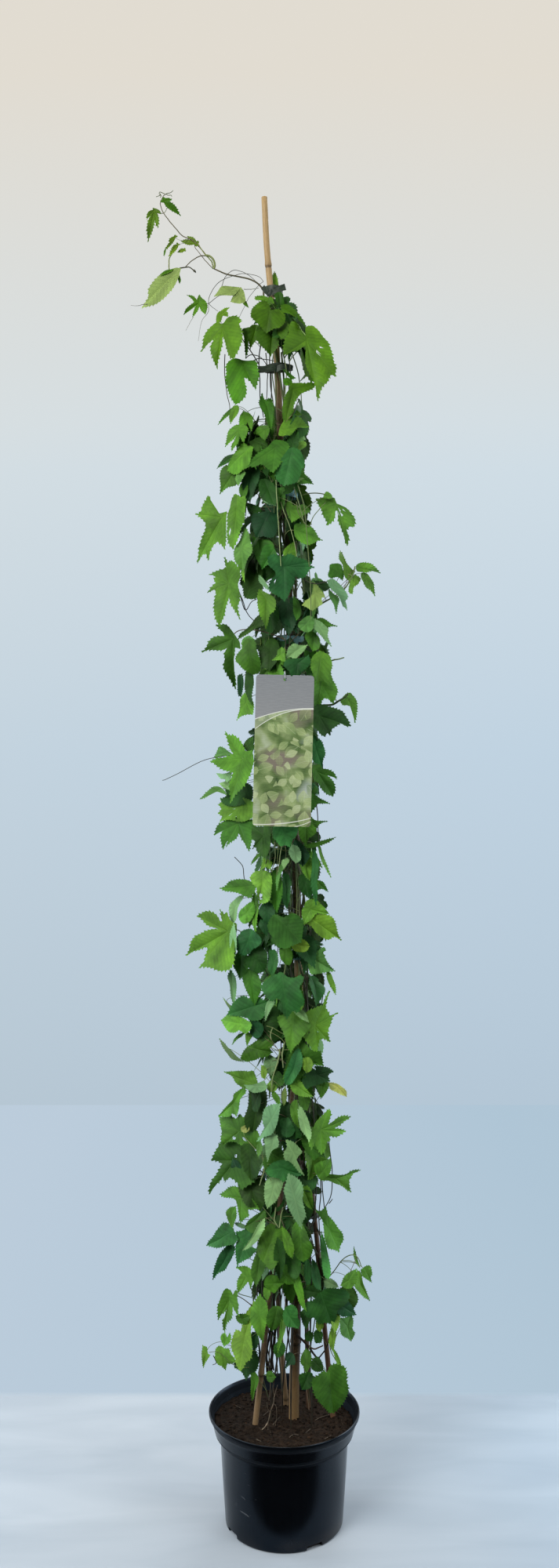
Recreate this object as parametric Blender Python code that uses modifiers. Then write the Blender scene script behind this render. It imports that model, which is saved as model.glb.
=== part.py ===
"""A hop plant in a nursery pot, trained up bamboo canes. Metres, +Z up, the pot's base on z = 0 and its axis on x = y = 0."""

import math

import bmesh
import bpy
from mathutils import Quaternion, Vector

# ---------------------------------------------------------------- driving dimensions (metres)
GAP = 0.0003  # left between touching pieces

POT_HEIGHT = 0.205
POT_RIM_R = 0.140
POT_BASE_R = 0.109
POT_FLOOR = 0.0030
COLLAR_BOTTOM_Z = 0.1605
POT_STEPS = 32
NOTCH_WIDTH, NOTCH_HEIGHT = 0.032, 0.009
NOTCH_ANGLES = (-60.0, 30.0, 120.0, 210.0)  # degrees from +X

SOIL_TOP_Z = 0.1845
SOIL_TILT_X, SOIL_TILT_Y = -0.030, -0.035  # rise per metre: higher at the front left

CANE_FOOT_Z = 0.012
MAIN_CANE_TOP_Z = 2.461
# how the thick cane bows: height and sideways offset
MAIN_CANE_LINE = (
    (0.00, 0.0160), (0.19, 0.0175), (0.46, 0.0235), (0.74, 0.0262), (1.00, 0.0268),
    (1.16, 0.0235), (1.50, 0.0150), (1.82, 0.0050), (2.04, -0.0080), (2.19, -0.0150),
    (2.27, -0.0235), (2.35, -0.0314), (2.47, -0.0375),
)
MAIN_CANE_R_FOOT, MAIN_CANE_R_TOP = 0.0098, 0.0055
MAIN_CANE_KNOTS = (0.33, 0.61, 0.88, 1.14, 1.40, 1.66, 1.91, 2.14, 2.335)

# thin canes: place at soil level, top end, foot radius, top radius, height of the foot in the soil
THIN_CANES = {
    "cane_front_left": ((-0.0542, -0.0320, 0.185), (0.0290, -0.0310, 0.925), 0.0056, 0.0044, 0.012),
    "cane_right": ((0.0910, 0.0080, 0.185), (0.0530, 0.0150, 0.600), 0.0052, 0.0044, 0.085),
    "cane_back": ((0.0030, 0.0520, 0.185), (-0.0270, 0.0440, 0.600), 0.0050, 0.0042, 0.030),
    "cane_back_right": ((0.0460, 0.0420, 0.185), (0.0262, 0.0290, 0.985), 0.0042, 0.0034, 0.040),
}
THIN_CANE_KNOTS = (0.30, 0.56, 0.80)  # share of the cane's length

# bines: direction of the foot from the cane, foot distance, top height, stem radius, phase of the twist
BINES = {
    "bine_1": (205.0, 0.046, 2.262, 0.0029, 180.0),
    "bine_2": (262.0, 0.040, 2.170, 0.0027, 252.0),
    "bine_3": (318.0, 0.044, 1.780, 0.0026, 324.0),
    "bine_4": (20.0, 0.038, 1.480, 0.0025, 36.0),
    "bine_5": (128.0, 0.034, 1.130, 0.0024, 108.0),
}
BINE_FOOT_Z = 0.168
BINE_JOINS_Z = 0.42
BINE_PITCH = 0.46  # height of one turn round the cane
TWIST_R_LOW, TWIST_R_HIGH = 0.0185, 0.0100

# strips of tape: height, centre x, half width, half depth
TIES = {
    "tie_top": (2.287, -0.0198, 0.0245, 0.0165),
    "tie_upper": (2.142, -0.0115, 0.0285, 0.0205),
    "tie_shoulder": (1.905, 0.0015, 0.0240, 0.0240),
    "tie_chest": (1.637, 0.0107, 0.0250, 0.0250),
    "tie_middle": (1.050, 0.0262, 0.0262, 0.0262),
}
TIE_WIDTH, TIE_THICK = 0.011, 0.0012
TIE_LOW_Z = 0.560

# leafy side shoots
HALF_SECTOR = math.radians(41.0)
SHOOT_THICK = 0.008
SHOOT_FOLD = 0.36  # how far a blade's edges turn in towards the stems
SHOOT_AZIMUTH = {"front": -90.0, "right": 0.0, "back": 90.0, "left": 180.0}
# for each side: height of the top, height of the bottom, how far out the leaf tips reach
SIDE_SHOOTS = {
    "front": (
        (2.255, 2.036, 0.100), (2.028, 1.812, 0.115), (1.804, 1.588, 0.118), (1.562, 1.312, 0.116),
        (1.304, 1.050, 0.122), (1.042, 0.790, 0.122), (0.782, 0.530, 0.128), (0.522, 0.262, 0.132),
    ),
    "right": (
        (2.262, 2.034, 0.112), (2.024, 1.815, 0.136), (1.806, 1.662, 0.178), (1.640, 1.458, 0.146),
        (1.448, 1.190, 0.102), (1.160, 0.890, 0.104), (0.820, 0.600, 0.130), (0.578, 0.206, 0.146),
    ),
    "back": (
        (2.200, 1.990, 0.085), (1.980, 1.745, 0.105), (1.735, 1.495, 0.112), (1.485, 1.240, 0.118),
        (1.230, 0.985, 0.120), (0.975, 0.725, 0.122), (0.715, 0.475, 0.124), (0.465, 0.250, 0.124),
    ),
    "left": (
        (2.262, 2.004, 0.146), (1.994, 1.795, 0.168), (1.786, 1.558, 0.158), (1.540, 1.240, 0.168),
        (1.230, 1.020, 0.206), (1.010, 0.756, 0.146), (0.746, 0.556, 0.168), (0.544, 0.262, 0.172),
    ),
}
# half widths of a shoot from its root to its tips, as shares of the sector
LOBES = (0.20, 0.72, 0.50, 1.00, 0.64, 0.82, 0.10)

# the growing tip: route of its stem (x, y, z)
TIP_ROUTE = (
    (-0.0390, -0.0010, 2.2632), (-0.0386, -0.0020, 2.2740), (-0.0386, -0.0030, 2.2880), (-0.0400, -0.0040, 2.2965),
    (-0.0520, -0.0070, 2.3035), (-0.0700, -0.0110, 2.3095), (-0.0880, -0.0150, 2.3135), (-0.1060, -0.0180, 2.3172),
    (-0.1205, -0.0200, 2.3232), (-0.1330, -0.0205, 2.3330), (-0.1430, -0.0205, 2.3420), (-0.1535, -0.0200, 2.3480),
    (-0.1625, -0.0195, 2.3590), (-0.1670, -0.0190, 2.3730), (-0.1790, -0.0180, 2.3835), (-0.1905, -0.0170, 2.3925),
    (-0.2010, -0.0160, 2.4030), (-0.2130, -0.0150, 2.4160), (-0.2250, -0.0150, 2.4310), (-0.2312, -0.0150, 2.4450),
    (-0.2302, -0.0150, 2.4570), (-0.2262, -0.0150, 2.4650), (-0.2200, -0.0160, 2.4715), (-0.2130, -0.0170, 2.4740),
)
TIP_R_LOW, TIP_R_HIGH = 0.0022, 0.0011
# leaves on it: base, tip, width, how the blade is turned about its midrib (degrees)
TIP_LEAVES = {
    "tip_leaf_large": ((-0.1940, -0.0230, 2.3290), (-0.2885, -0.0300, 2.2585), 0.052, -20.0),
    "tip_leaf_lobed": ((-0.2345, -0.0170, 2.4405), (-0.2470, -0.0300, 2.3790), 0.034, 15.0),
    "tip_leaf_folded": ((-0.2215, -0.0190, 2.4330), (-0.1950, -0.0300, 2.4300), 0.016, 10.0),
    "tip_leaf_light": ((-0.1700, -0.0220, 2.3860), (-0.1960, -0.0330, 2.3900), 0.018, 0.0),
    "tip_leaf_lower": ((-0.1330, -0.0260, 2.3240), (-0.1520, -0.0400, 2.2600), 0.040, 20.0),
}
TIP_LEAF_THICK = 0.0014
TIP_LEAF_LOBES = (0.16, 0.80, 0.46, 1.00, 0.40, 0.12)

# the picture label
LABEL_WIDTH, LABEL_HEIGHT, LABEL_THICK = 0.1025, 0.2665, 0.0009
LABEL_CENTRE = (-0.0020, -0.1300, 1.4265)
LABEL_LEAN = math.radians(1.4)
LABEL_CORNER_R = 0.006
LABEL_HOLE_R, LABEL_HOLE_DROP = 0.0030, 0.0075
LOOP_R = 0.0008


# ---------------------------------------------------------------- scene set-up
for old in list(bpy.data.objects):
    bpy.data.objects.remove(old, do_unlink=True)

plant = bpy.data.collections.new("Hop bine")
cutting = bpy.data.collections.new("Cutters")
bpy.context.scene.collection.children.link(plant)
bpy.context.scene.collection.children.link(cutting)


def material(name, rgb, roughness, metallic=0.0):
    mat = bpy.data.materials.new(name)
    mat.use_nodes = True
    bsdf = mat.node_tree.nodes["Principled BSDF"]
    bsdf.inputs["Base Color"].default_value = (*rgb, 1.0)
    bsdf.inputs["Roughness"].default_value = roughness
    bsdf.inputs["Metallic"].default_value = metallic
    return mat


def add_object(name, data, mat, collection=plant):
    obj = bpy.data.objects.new(name, data)
    collection.objects.link(obj)
    if mat is not None:
        data.materials.append(mat)
    return obj


def soften(obj, degrees=35.0):
    obj.data.shade_smooth()
    obj.data.set_sharp_from_angle(angle=math.radians(degrees))


def turned(name, profile, steps, mat, collection=plant):
    """A profile of (radius, height), inside first and down the outer side, turned round Z."""
    mesh = bpy.data.meshes.new(name)
    mesh.from_pydata([(r, 0.0, z) for r, z in profile], [(i, i + 1) for i in range(len(profile) - 1)], [])
    obj = add_object(name, mesh, mat, collection)
    screw = obj.modifiers.new("Screw", "SCREW")
    screw.steps = steps
    screw.render_steps = steps
    screw.use_merge_vertices = True
    screw.merge_threshold = 0.00002
    return obj


def tube(name, points, radii, mat, sides_level=2, cyclic=False):
    """A round stem through the points, with its own radius at each."""
    curve = bpy.data.curves.new(name, "CURVE")
    curve.dimensions = "3D"
    curve.bevel_depth = 1.0
    curve.bevel_resolution = sides_level
    curve.use_fill_caps = not cyclic
    spline = curve.splines.new("POLY")
    spline.points.add(len(points) - 1)
    for p, co, r in zip(spline.points, points, radii):
        p.co = (*co, 1.0)
        p.radius = r
    spline.use_cyclic_u = cyclic
    return add_object(name, curve, mat)


def to_mesh(obj):
    """The curve's evaluated mesh, welded, in place of the curve."""
    dep = bpy.context.evaluated_depsgraph_get()
    mesh = bpy.data.meshes.new_from_object(obj.evaluated_get(dep))
    bm = bmesh.new()
    bm.from_mesh(mesh)
    bmesh.ops.remove_doubles(bm, verts=bm.verts, dist=0.00001)
    bm.to_mesh(mesh)
    bm.free()
    name, mat, place = obj.name, obj.data.materials[0], obj.matrix_world.copy()
    bpy.data.objects.remove(obj, do_unlink=True)
    new = bpy.data.objects.new(name, mesh)
    new.matrix_world = place
    plant.objects.link(new)
    if not mesh.materials:
        mesh.materials.append(mat)
    return new


def cutter_rod(name, start, end, radius, sides=16):
    """A plain rod from start to end, used only to cut a socket."""
    start, end = Vector(start), Vector(end)
    mesh = bpy.data.meshes.new(name)
    bm = bmesh.new()
    bmesh.ops.create_cone(bm, cap_ends=True, segments=sides, radius1=radius, radius2=radius,
                          depth=(end - start).length)
    bm.to_mesh(mesh)
    bm.free()
    obj = add_object(name, mesh, None, cutting)
    obj.location = (start + end) / 2
    obj.rotation_euler = (end - start).to_track_quat("Z", "Y").to_euler()
    hide_cutter(obj)
    return obj


def hide_cutter(obj):
    obj.hide_render = True
    obj.display_type = "WIRE"


def cut(obj, cutter):
    mod = obj.modifiers.new("Cut " + cutter.name, "BOOLEAN")
    mod.operation = "DIFFERENCE"
    mod.solver = "EXACT"
    mod.object = cutter


def smooth_between(table, t):
    """Value at t of a table of (t, value), eased between neighbours."""
    if t <= table[0][0]:
        return table[0][1]
    for i in range(len(table) - 1):
        (t0, v0), (t1, v1) = table[i], table[i + 1]
        if t <= t1:
            before = table[i - 1] if i > 0 else table[i]
            after = table[i + 2] if i + 2 < len(table) else table[i + 1]
            m0 = (v1 - before[1]) / (t1 - before[0]) * (t1 - t0)
            m1 = (after[1] - v0) / (after[0] - t0) * (t1 - t0)
            s = (t - t0) / (t1 - t0)
            return ((2 * s**3 - 3 * s**2 + 1) * v0 + (s**3 - 2 * s**2 + s) * m0
                    + (-2 * s**3 + 3 * s**2) * v1 + (s**3 - s**2) * m1)
    return table[-1][1]


def cane_x(z):
    return smooth_between(MAIN_CANE_LINE, z)


def mix(a, b, s):
    return a + (b - a) * s


def clamp(v, low=0.0, high=1.0):
    return max(low, min(high, v))


# ---------------------------------------------------------------- materials
black_plastic = material("Pot plastic", (0.012, 0.012, 0.013), 0.42)
peat = material("Peat", (0.035, 0.020, 0.012), 0.95)
bamboo = material("Bamboo", (0.45, 0.30, 0.14), 0.5)
bamboo_dark = material("Weathered bamboo", (0.26, 0.13, 0.07), 0.55)
tape_dark = material("Tie tape", (0.035, 0.055, 0.05), 0.4)
tape_blue = material("Faded tie tape", (0.10, 0.22, 0.27), 0.4)
stem_green = material("Bine", (0.10, 0.14, 0.045), 0.5)
tip_green = material("Young stem", (0.20, 0.28, 0.08), 0.45)
leaf_front = material("Leaf", (0.07, 0.19, 0.03), 0.5)
leaf_pale = material("Young leaf", (0.15, 0.28, 0.09), 0.5)
dead_wood = material("Dead stem", (0.42, 0.34, 0.24), 0.8)
label_card = material("Label card", (0.55, 0.58, 0.60), 0.3)
strap_clear = material("Label strap", (0.45, 0.50, 0.50), 0.3)

# ---------------------------------------------------------------- pot
pot_profile = (
    (0.0, POT_FLOOR), (0.1040, POT_FLOOR), (0.1066, 0.0058), (0.1165, 0.1622), (0.1252, 0.1668),
    (0.1312, 0.1945), (0.1366, 0.2010), (0.1374, POT_HEIGHT), (POT_RIM_R - 0.0006, POT_HEIGHT), (POT_RIM_R, 0.2037),
    (POT_RIM_R - 0.0006, 0.1996), (0.1344, 0.1942), (0.1277, 0.1652),
    (0.1197, COLLAR_BOTTOM_Z), (0.1187, 0.1585), (POT_BASE_R + 0.0004, 0.0040), (POT_BASE_R - 0.0012, 0.0006),
    (POT_BASE_R - 0.0030, 0.0), (0.0, 0.0),
)
pot = turned("pot", pot_profile, POT_STEPS, black_plastic)
for i, angle in enumerate(NOTCH_ANGLES):
    mesh = bpy.data.meshes.new(f"notch_cutter_{i}")
    bm = bmesh.new()
    bmesh.ops.create_cube(bm, size=1.0)
    bmesh.ops.scale(bm, vec=(0.030, NOTCH_WIDTH, 2 * NOTCH_HEIGHT), verts=bm.verts)
    bm.to_mesh(mesh)
    bm.free()
    notch = add_object(f"notch_cutter_{i}", mesh, None, cutting)
    a = math.radians(angle)
    notch.location = ((POT_BASE_R - 0.0090 + 0.015) * math.cos(a), (POT_BASE_R - 0.0090 + 0.015) * math.sin(a), 0.0)
    notch.rotation_euler = (0.0, 0.0, a)
    hide_cutter(notch)
    cut(pot, notch)
soften(pot)


# ---------------------------------------------------------------- soil
def inner_wall_r(z):
    """The pot's inner radius at a height."""
    return mix(0.1066, 0.1165, (z - 0.0058) / (0.1622 - 0.0058)) if z < 0.1622 else mix(
        0.1165, 0.1252, (z - 0.1622) / (0.1668 - 0.1622)) if z < 0.1668 else mix(
        0.1252, 0.1312, (z - 0.1668) / (0.1945 - 0.1668))


soil_profile = (
    (0.0, SOIL_TOP_Z + 0.0020), (0.030, SOIL_TOP_Z + 0.0025), (0.064, SOIL_TOP_Z + 0.0010),
    (0.098, SOIL_TOP_Z + 0.0015), (0.122, SOIL_TOP_Z - 0.0010),
    (inner_wall_r(0.178) - GAP, 0.178),
    (inner_wall_r(0.1668) - GAP, 0.1668 + GAP / 2), (inner_wall_r(0.1622) - GAP, 0.1622 + GAP / 2),
    (inner_wall_r(0.0110) - GAP, 0.0110), (0.1036, POT_FLOOR + GAP), (0.0, POT_FLOOR + GAP),
)
soil_blank = turned("soil_blank", soil_profile, POT_STEPS, peat)
dep = bpy.context.evaluated_depsgraph_get()
soil_mesh = bpy.data.meshes.new_from_object(soil_blank.evaluated_get(dep))
bpy.data.objects.remove(soil_blank, do_unlink=True)
for v in soil_mesh.vertices:
    if v.co.z > 0.1800:
        v.co.z += SOIL_TILT_X * v.co.x + SOIL_TILT_Y * v.co.y
soil = bpy.data.objects.new("soil", soil_mesh)
plant.objects.link(soil)
if not soil_mesh.materials:
    soil_mesh.materials.append(peat)


def socket(name, foot, direction, radius, sides=12):
    """A blind hole in the soil, GAP wider than the stem that stands in it."""
    foot, direction = Vector(foot), Vector(direction).normalized()
    room = radius / math.cos(math.pi / sides) + GAP
    cut(soil, cutter_rod(name, foot - direction * 0.0008, foot + direction * 0.24, room, sides))


# ---------------------------------------------------------------- canes
def cane_radii(heights, knots, foot_r, top_r, swell):
    low, high = heights[0], heights[-1]
    return [mix(foot_r, top_r, (h - low) / (high - low)) * (swell if h in knots else 1.0) for h in heights]


heights = [CANE_FOOT_Z, 0.10, 0.19, 0.24]
for knot in MAIN_CANE_KNOTS:
    heights += [knot - 0.009, knot, knot + 0.006]
heights += [0.47, 0.74, 1.00, 1.27, 1.53, 1.78, 2.02, 2.24, MAIN_CANE_TOP_Z]
heights = sorted(heights)
main_points = []
for h in heights:
    x = cane_x(h) if h > 0.24 else mix(cane_x(0.0), cane_x(0.24), h / 0.24)
    main_points.append((x, 0.0, h))
tube("main_cane", main_points,
     cane_radii(heights, MAIN_CANE_KNOTS, MAIN_CANE_R_FOOT, MAIN_CANE_R_TOP, 1.13), bamboo)
socket("main_cane_socket", main_points[0], Vector(main_points[2]) - Vector(main_points[0]), MAIN_CANE_R_FOOT)

for name, (at_soil, top, foot_r, top_r, foot_z) in THIN_CANES.items():
    at_soil, top = Vector(at_soil), Vector(top)
    slope = (top - at_soil) / (top.z - at_soil.z)
    foot = at_soil + slope * (foot_z - at_soil.z)
    shares = [0.0, 1.0]
    for knot in THIN_CANE_KNOTS:
        shares += [knot - 0.012, knot, knot + 0.008]
    shares = sorted(shares)
    points = [tuple(foot + (top - foot) * s) for s in shares]
    radii = [mix(foot_r, top_r, s) * (1.14 if s in THIN_CANE_KNOTS else 1.0) for s in shares]
    tube(name, points, radii, bamboo_dark)
    socket(name + "_socket", foot, slope, foot_r)

# ---------------------------------------------------------------- bines
for name, (bearing, distance, top_z, radius, phase) in BINES.items():
    foot_x = cane_x(0.19) + distance * math.cos(math.radians(bearing))
    foot_y = distance * math.sin(math.radians(bearing))
    count = 6 + int((top_z - BINE_JOINS_Z) / BINE_PITCH * 8)
    zs = [BINE_FOOT_Z, 0.200] + [mix(0.235, top_z, i / (count - 1)) for i in range(count)]
    points = []
    for z in zs:
        # seen from above they climb clockwise, as hops do; bine_1 ends on the left, where the tip shoot goes on
        twist = math.radians(phase) - 2 * math.pi * (z - 2.262) / BINE_PITCH
        out = mix(TWIST_R_LOW, TWIST_R_HIGH, clamp((z - BINE_JOINS_Z) / (2.262 - BINE_JOINS_Z)) ** 1.3)
        on_cane = Vector((cane_x(z) + out * math.cos(twist), out * math.sin(twist), z))
        s = clamp((z - 0.200) / (BINE_JOINS_Z - 0.200))
        s = s * s * (3 - 2 * s)
        join = math.radians(phase) - 2 * math.pi * (BINE_JOINS_Z - 2.262) / BINE_PITCH
        on_join = Vector((cane_x(z) + TWIST_R_LOW * math.cos(join), TWIST_R_LOW * math.sin(join), z))
        target = on_cane if z >= BINE_JOINS_Z else on_join
        points.append(tuple(Vector((foot_x, foot_y, z)).lerp(target, s)))
    radii = [mix(radius, radius * 0.6, clamp((z - 0.2) / 2.0)) for z in zs]
    tube(name, points, radii, stem_green, sides_level=1)
    socket(name + "_socket", points[0], (0, 0, 1), radius, sides=8)

# last year's dead stem, leaning at soil level
stub = [(-0.0330, -0.0470, 0.176), (-0.0325, -0.0470, 0.197), (-0.0255, -0.0480, 0.222), (-0.0185, -0.0490, 0.243),
        (-0.0105, -0.0500, 0.272)]
tube("old_stem", stub, [0.0034, 0.0033, 0.0028, 0.0024, 0.0018], dead_wood, sides_level=1)
socket("old_stem_socket", stub[0], (0, 0, 1), 0.0036, sides=8)


# ---------------------------------------------------------------- ties
def band(name, x, y, z, half_width, half_depth, mat, steps=18):
    """A closed strip round the stems: a thin upright rectangle turned about Z, then made oval."""
    h = TIE_WIDTH / 2
    share = TIE_THICK / half_width
    profile = ((1.0 - share, -h), (1.0 - share, h), (1.0, h), (1.0, -h), (1.0 - share, -h))
    mesh = bpy.data.meshes.new(name)
    mesh.from_pydata([(r, 0.0, t) for r, t in profile[:-1]], [(0, 1), (1, 2), (2, 3), (3, 0)], [])
    blank = add_object(name + "_blank", mesh, mat)
    screw = blank.modifiers.new("Screw", "SCREW")
    screw.steps = steps
    screw.render_steps = steps
    screw.use_merge_vertices = True
    screw.merge_threshold = 0.00002
    found = bpy.data.meshes.new_from_object(blank.evaluated_get(bpy.context.evaluated_depsgraph_get()))
    bpy.data.objects.remove(blank, do_unlink=True)
    for v in found.vertices:
        v.co = (v.co.x * half_width, v.co.y * half_depth, v.co.z)
    obj = bpy.data.objects.new(name, found)
    plant.objects.link(obj)
    if not found.materials:
        found.materials.append(mat)
    obj.location = (x, y, z)
    return obj


for name, (z, x, half_width, half_depth) in TIES.items():
    band(name, x, 0.0, z, half_width, half_depth, tape_blue if name in ("tie_shoulder", "tie_chest") else tape_dark)
right_soil, right_top = (Vector(p) for p in THIN_CANES["cane_right"][:2])
on_right = right_soil + (right_top - right_soil) * ((TIE_LOW_Z - right_soil.z) / (right_top.z - right_soil.z))
band("tie_low", on_right.x, on_right.y, TIE_LOW_Z, 0.0080, 0.0080, tape_dark, steps=14)


# ---------------------------------------------------------------- leafy side shoots
def inner_reach(z, side):
    """How near the stems a side shoot may come: the canes spread out towards the soil."""
    spread = clamp((1.05 - z) / 0.75)
    return 0.033 + 0.060 * spread


def side_shoot(name, side, top_z, low_z, reach):
    """A drooping, lobed sheaf of leaves, as one thick blade that reaches the leaf tips."""
    mesh = bpy.data.meshes.new(name)
    bm = bmesh.new()
    bmesh.ops.create_grid(bm, x_segments=2, y_segments=len(LOBES) - 1, size=1.0)
    middle = math.radians(SHOOT_AZIMUTH[side])
    drop = top_z - low_z - SHOOT_THICK
    for v in bm.verts:
        along = (1.0 - v.co.y) / 2.0
        across = v.co.x
        row = round(along * (len(LOBES) - 1))
        wide = LOBES[row]
        tip = 1.0 if abs(across) > 0.9 and row % 2 else 0.0
        z = top_z - SHOOT_THICK / 2 - drop * clamp(0.90 * along**1.15 + 0.10 * across * across * wide)
        r = mix(inner_reach(z, side) + SHOOT_THICK / 2, reach - SHOOT_THICK / 2,
                math.sin(math.pi / 2 * along) ** 0.9 * (1.0 - SHOOT_FOLD * across * across + 0.04 * tip))
        turn = middle + HALF_SECTOR * across * wide
        v.co = (cane_x(z) + r * math.cos(turn), r * math.sin(turn), z)
    bm.to_mesh(mesh)
    bm.free()
    obj = add_object(name, mesh, leaf_front)
    thick = obj.modifiers.new("Solidify", "SOLIDIFY")
    thick.thickness = SHOOT_THICK
    thick.offset = 0.0
    return obj


for side, shoots in SIDE_SHOOTS.items():
    for i, (top_z, low_z, reach) in enumerate(shoots, 1):
        side_shoot(f"side_shoot_{side}_{i}", side, top_z, low_z, reach)

# ---------------------------------------------------------------- growing tip
count = len(TIP_ROUTE)
tube("tip_shoot", TIP_ROUTE, [mix(TIP_R_LOW, TIP_R_HIGH, i / (count - 1)) for i in range(count)], tip_green, sides_level=1)


def tip_leaf(name, base, tip, width, turn):
    """A small lobed leaf blade between two points."""
    base, tip = Vector(base), Vector(tip)
    along_axis = tip - base
    side_axis = along_axis.cross(Vector((0, 1, 0))).normalized()
    side_axis.rotate(Quaternion(along_axis.normalized(), math.radians(turn)))
    up_axis = side_axis.cross(along_axis).normalized()
    mesh = bpy.data.meshes.new(name)
    bm = bmesh.new()
    bmesh.ops.create_grid(bm, x_segments=2, y_segments=len(TIP_LEAF_LOBES) - 1, size=1.0)
    for v in bm.verts:
        along = (1.0 - v.co.y) / 2.0
        across = v.co.x
        wide = TIP_LEAF_LOBES[round(along * (len(TIP_LEAF_LOBES) - 1))] * width / 2
        v.co = base + along_axis * along + side_axis * across * wide + up_axis * (0.10 * width * (1 - across * across))
    bm.to_mesh(mesh)
    bm.free()
    obj = add_object(name, mesh, leaf_pale)
    thick = obj.modifiers.new("Solidify", "SOLIDIFY")
    thick.thickness = TIP_LEAF_THICK
    thick.offset = 0.0
    return obj


for name, (base, tip, width, turn) in TIP_LEAVES.items():
    tip_leaf(name, base, tip, width, turn)

# ---------------------------------------------------------------- label and its strap
outline = bpy.data.curves.new("label_outline", "CURVE")
outline.dimensions = "2D"
outline.fill_mode = "BOTH"
outline.extrude = LABEL_THICK / 2
half_w, half_h = LABEL_WIDTH / 2 - LABEL_CORNER_R, LABEL_HEIGHT / 2 - LABEL_CORNER_R
corner_points = []
for cx, cz, start in ((half_w, half_h, 0), (-half_w, half_h, 90), (-half_w, -half_h, 180), (half_w, -half_h, 270)):
    for k in range(5):
        a = math.radians(start + 22.5 * k)
        corner_points.append((cx + LABEL_CORNER_R * math.cos(a), cz + LABEL_CORNER_R * math.sin(a)))
hole_z = LABEL_HEIGHT / 2 - LABEL_HOLE_DROP
hole_points = [(LABEL_HOLE_R * math.cos(2 * math.pi * k / 12), hole_z + LABEL_HOLE_R * math.sin(2 * math.pi * k / 12))
               for k in range(12)]
for ring in (corner_points, hole_points):
    spline = outline.splines.new("POLY")
    spline.points.add(len(ring) - 1)
    for p, (px, pz) in zip(spline.points, ring):
        p.co = (px, pz, 0.0, 1.0)
    spline.use_cyclic_u = True
label = add_object("label", outline, label_card)
label.location = LABEL_CENTRE
label.rotation_euler = (math.pi / 2, LABEL_LEAN, 0.0)
bpy.context.view_layer.update()
to_mesh(label)

hole = Vector(LABEL_CENTRE) + Vector((hole_z * math.sin(LABEL_LEAN), 0.0, hole_z * math.cos(LABEL_LEAN)))
# the strap runs level through the hole, back on both sides of the stems and round behind them
behind_y, half_gap = 0.036, 0.033
loop = [
    (hole.x - 0.0006, hole.y + 0.0014, hole.z + 0.0140), (hole.x, hole.y - 0.0022, hole.z + 0.0105),
    (hole.x, hole.y - 0.0022, hole.z + 0.0008), (hole.x + 0.0006, hole.y + 0.0020, hole.z),
]
for k in range(2, 23):
    a = 2 * math.pi * k / 24
    depth = (1 - math.cos(a)) / 2  # 0 at the label, 1 behind the cane
    y = mix(hole.y, behind_y, depth)
    width = half_gap * math.sin(a) * (0.12 + 0.88 * clamp(depth * 1.25) ** 1.4)
    x = mix(hole.x, cane_x(1.575), clamp(depth * 1.3)) + width
    z = hole.z + 0.018 * clamp(depth * 1.6) ** 1.2 + (0.0140 * (1 - depth) ** 6 if k > 12 else 0.0)
    loop.append((x, y, z))
tube("label_loop", loop, [LOOP_R] * len(loop), strap_clear, sides_level=1, cyclic=True)
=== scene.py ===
"""Looks of the potted hop plant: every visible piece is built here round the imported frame. Metres, +Z up."""

import math
import random

import bmesh
import bpy
import numpy as np
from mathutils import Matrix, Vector, noise


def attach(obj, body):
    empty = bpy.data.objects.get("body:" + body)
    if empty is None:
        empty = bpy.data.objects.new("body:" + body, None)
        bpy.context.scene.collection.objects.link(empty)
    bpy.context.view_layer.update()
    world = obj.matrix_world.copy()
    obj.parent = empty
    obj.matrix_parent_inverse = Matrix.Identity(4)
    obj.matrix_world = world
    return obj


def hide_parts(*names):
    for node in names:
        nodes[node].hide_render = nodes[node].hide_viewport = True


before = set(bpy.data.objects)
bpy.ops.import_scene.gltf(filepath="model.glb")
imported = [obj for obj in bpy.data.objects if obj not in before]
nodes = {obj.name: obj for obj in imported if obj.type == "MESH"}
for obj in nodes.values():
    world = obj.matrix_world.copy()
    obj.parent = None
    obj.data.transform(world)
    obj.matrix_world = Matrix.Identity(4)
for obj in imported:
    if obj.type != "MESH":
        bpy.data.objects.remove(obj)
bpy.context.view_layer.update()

# ---------------------------------------------------------------- camera and picture coordinates
CAM = np.array((-0.0088, -2.33, 1.368))
FOCAL_PX = 1595.0
MID_X, MID_Y = 356.5, 1000.0


def at(px, py, y=0.0):
    """The place at depth y that the camera sees at a pixel of its 713 x 2000 frame."""
    d = (y - CAM[1]) / FOCAL_PX
    return np.array((CAM[0] + (px - MID_X) * d, y, CAM[2] + (MID_Y - py) * d))


def seen_at(p):
    """The pixel at which the camera sees a place."""
    d = FOCAL_PX / (p[1] - CAM[1])
    return MID_X + (p[0] - CAM[0]) * d, MID_Y - (p[2] - CAM[2]) * d


camera_data = bpy.data.cameras.new("Camera")
camera_data.sensor_width = 36.0
camera_data.lens = 28.71
camera_data.clip_start = 0.05
camera = bpy.data.objects.new("Camera", camera_data)
camera.location = tuple(CAM)
camera.rotation_euler = (math.pi / 2, 0.0, 0.0)
bpy.context.scene.collection.objects.link(camera)
bpy.context.scene.camera = camera

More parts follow.
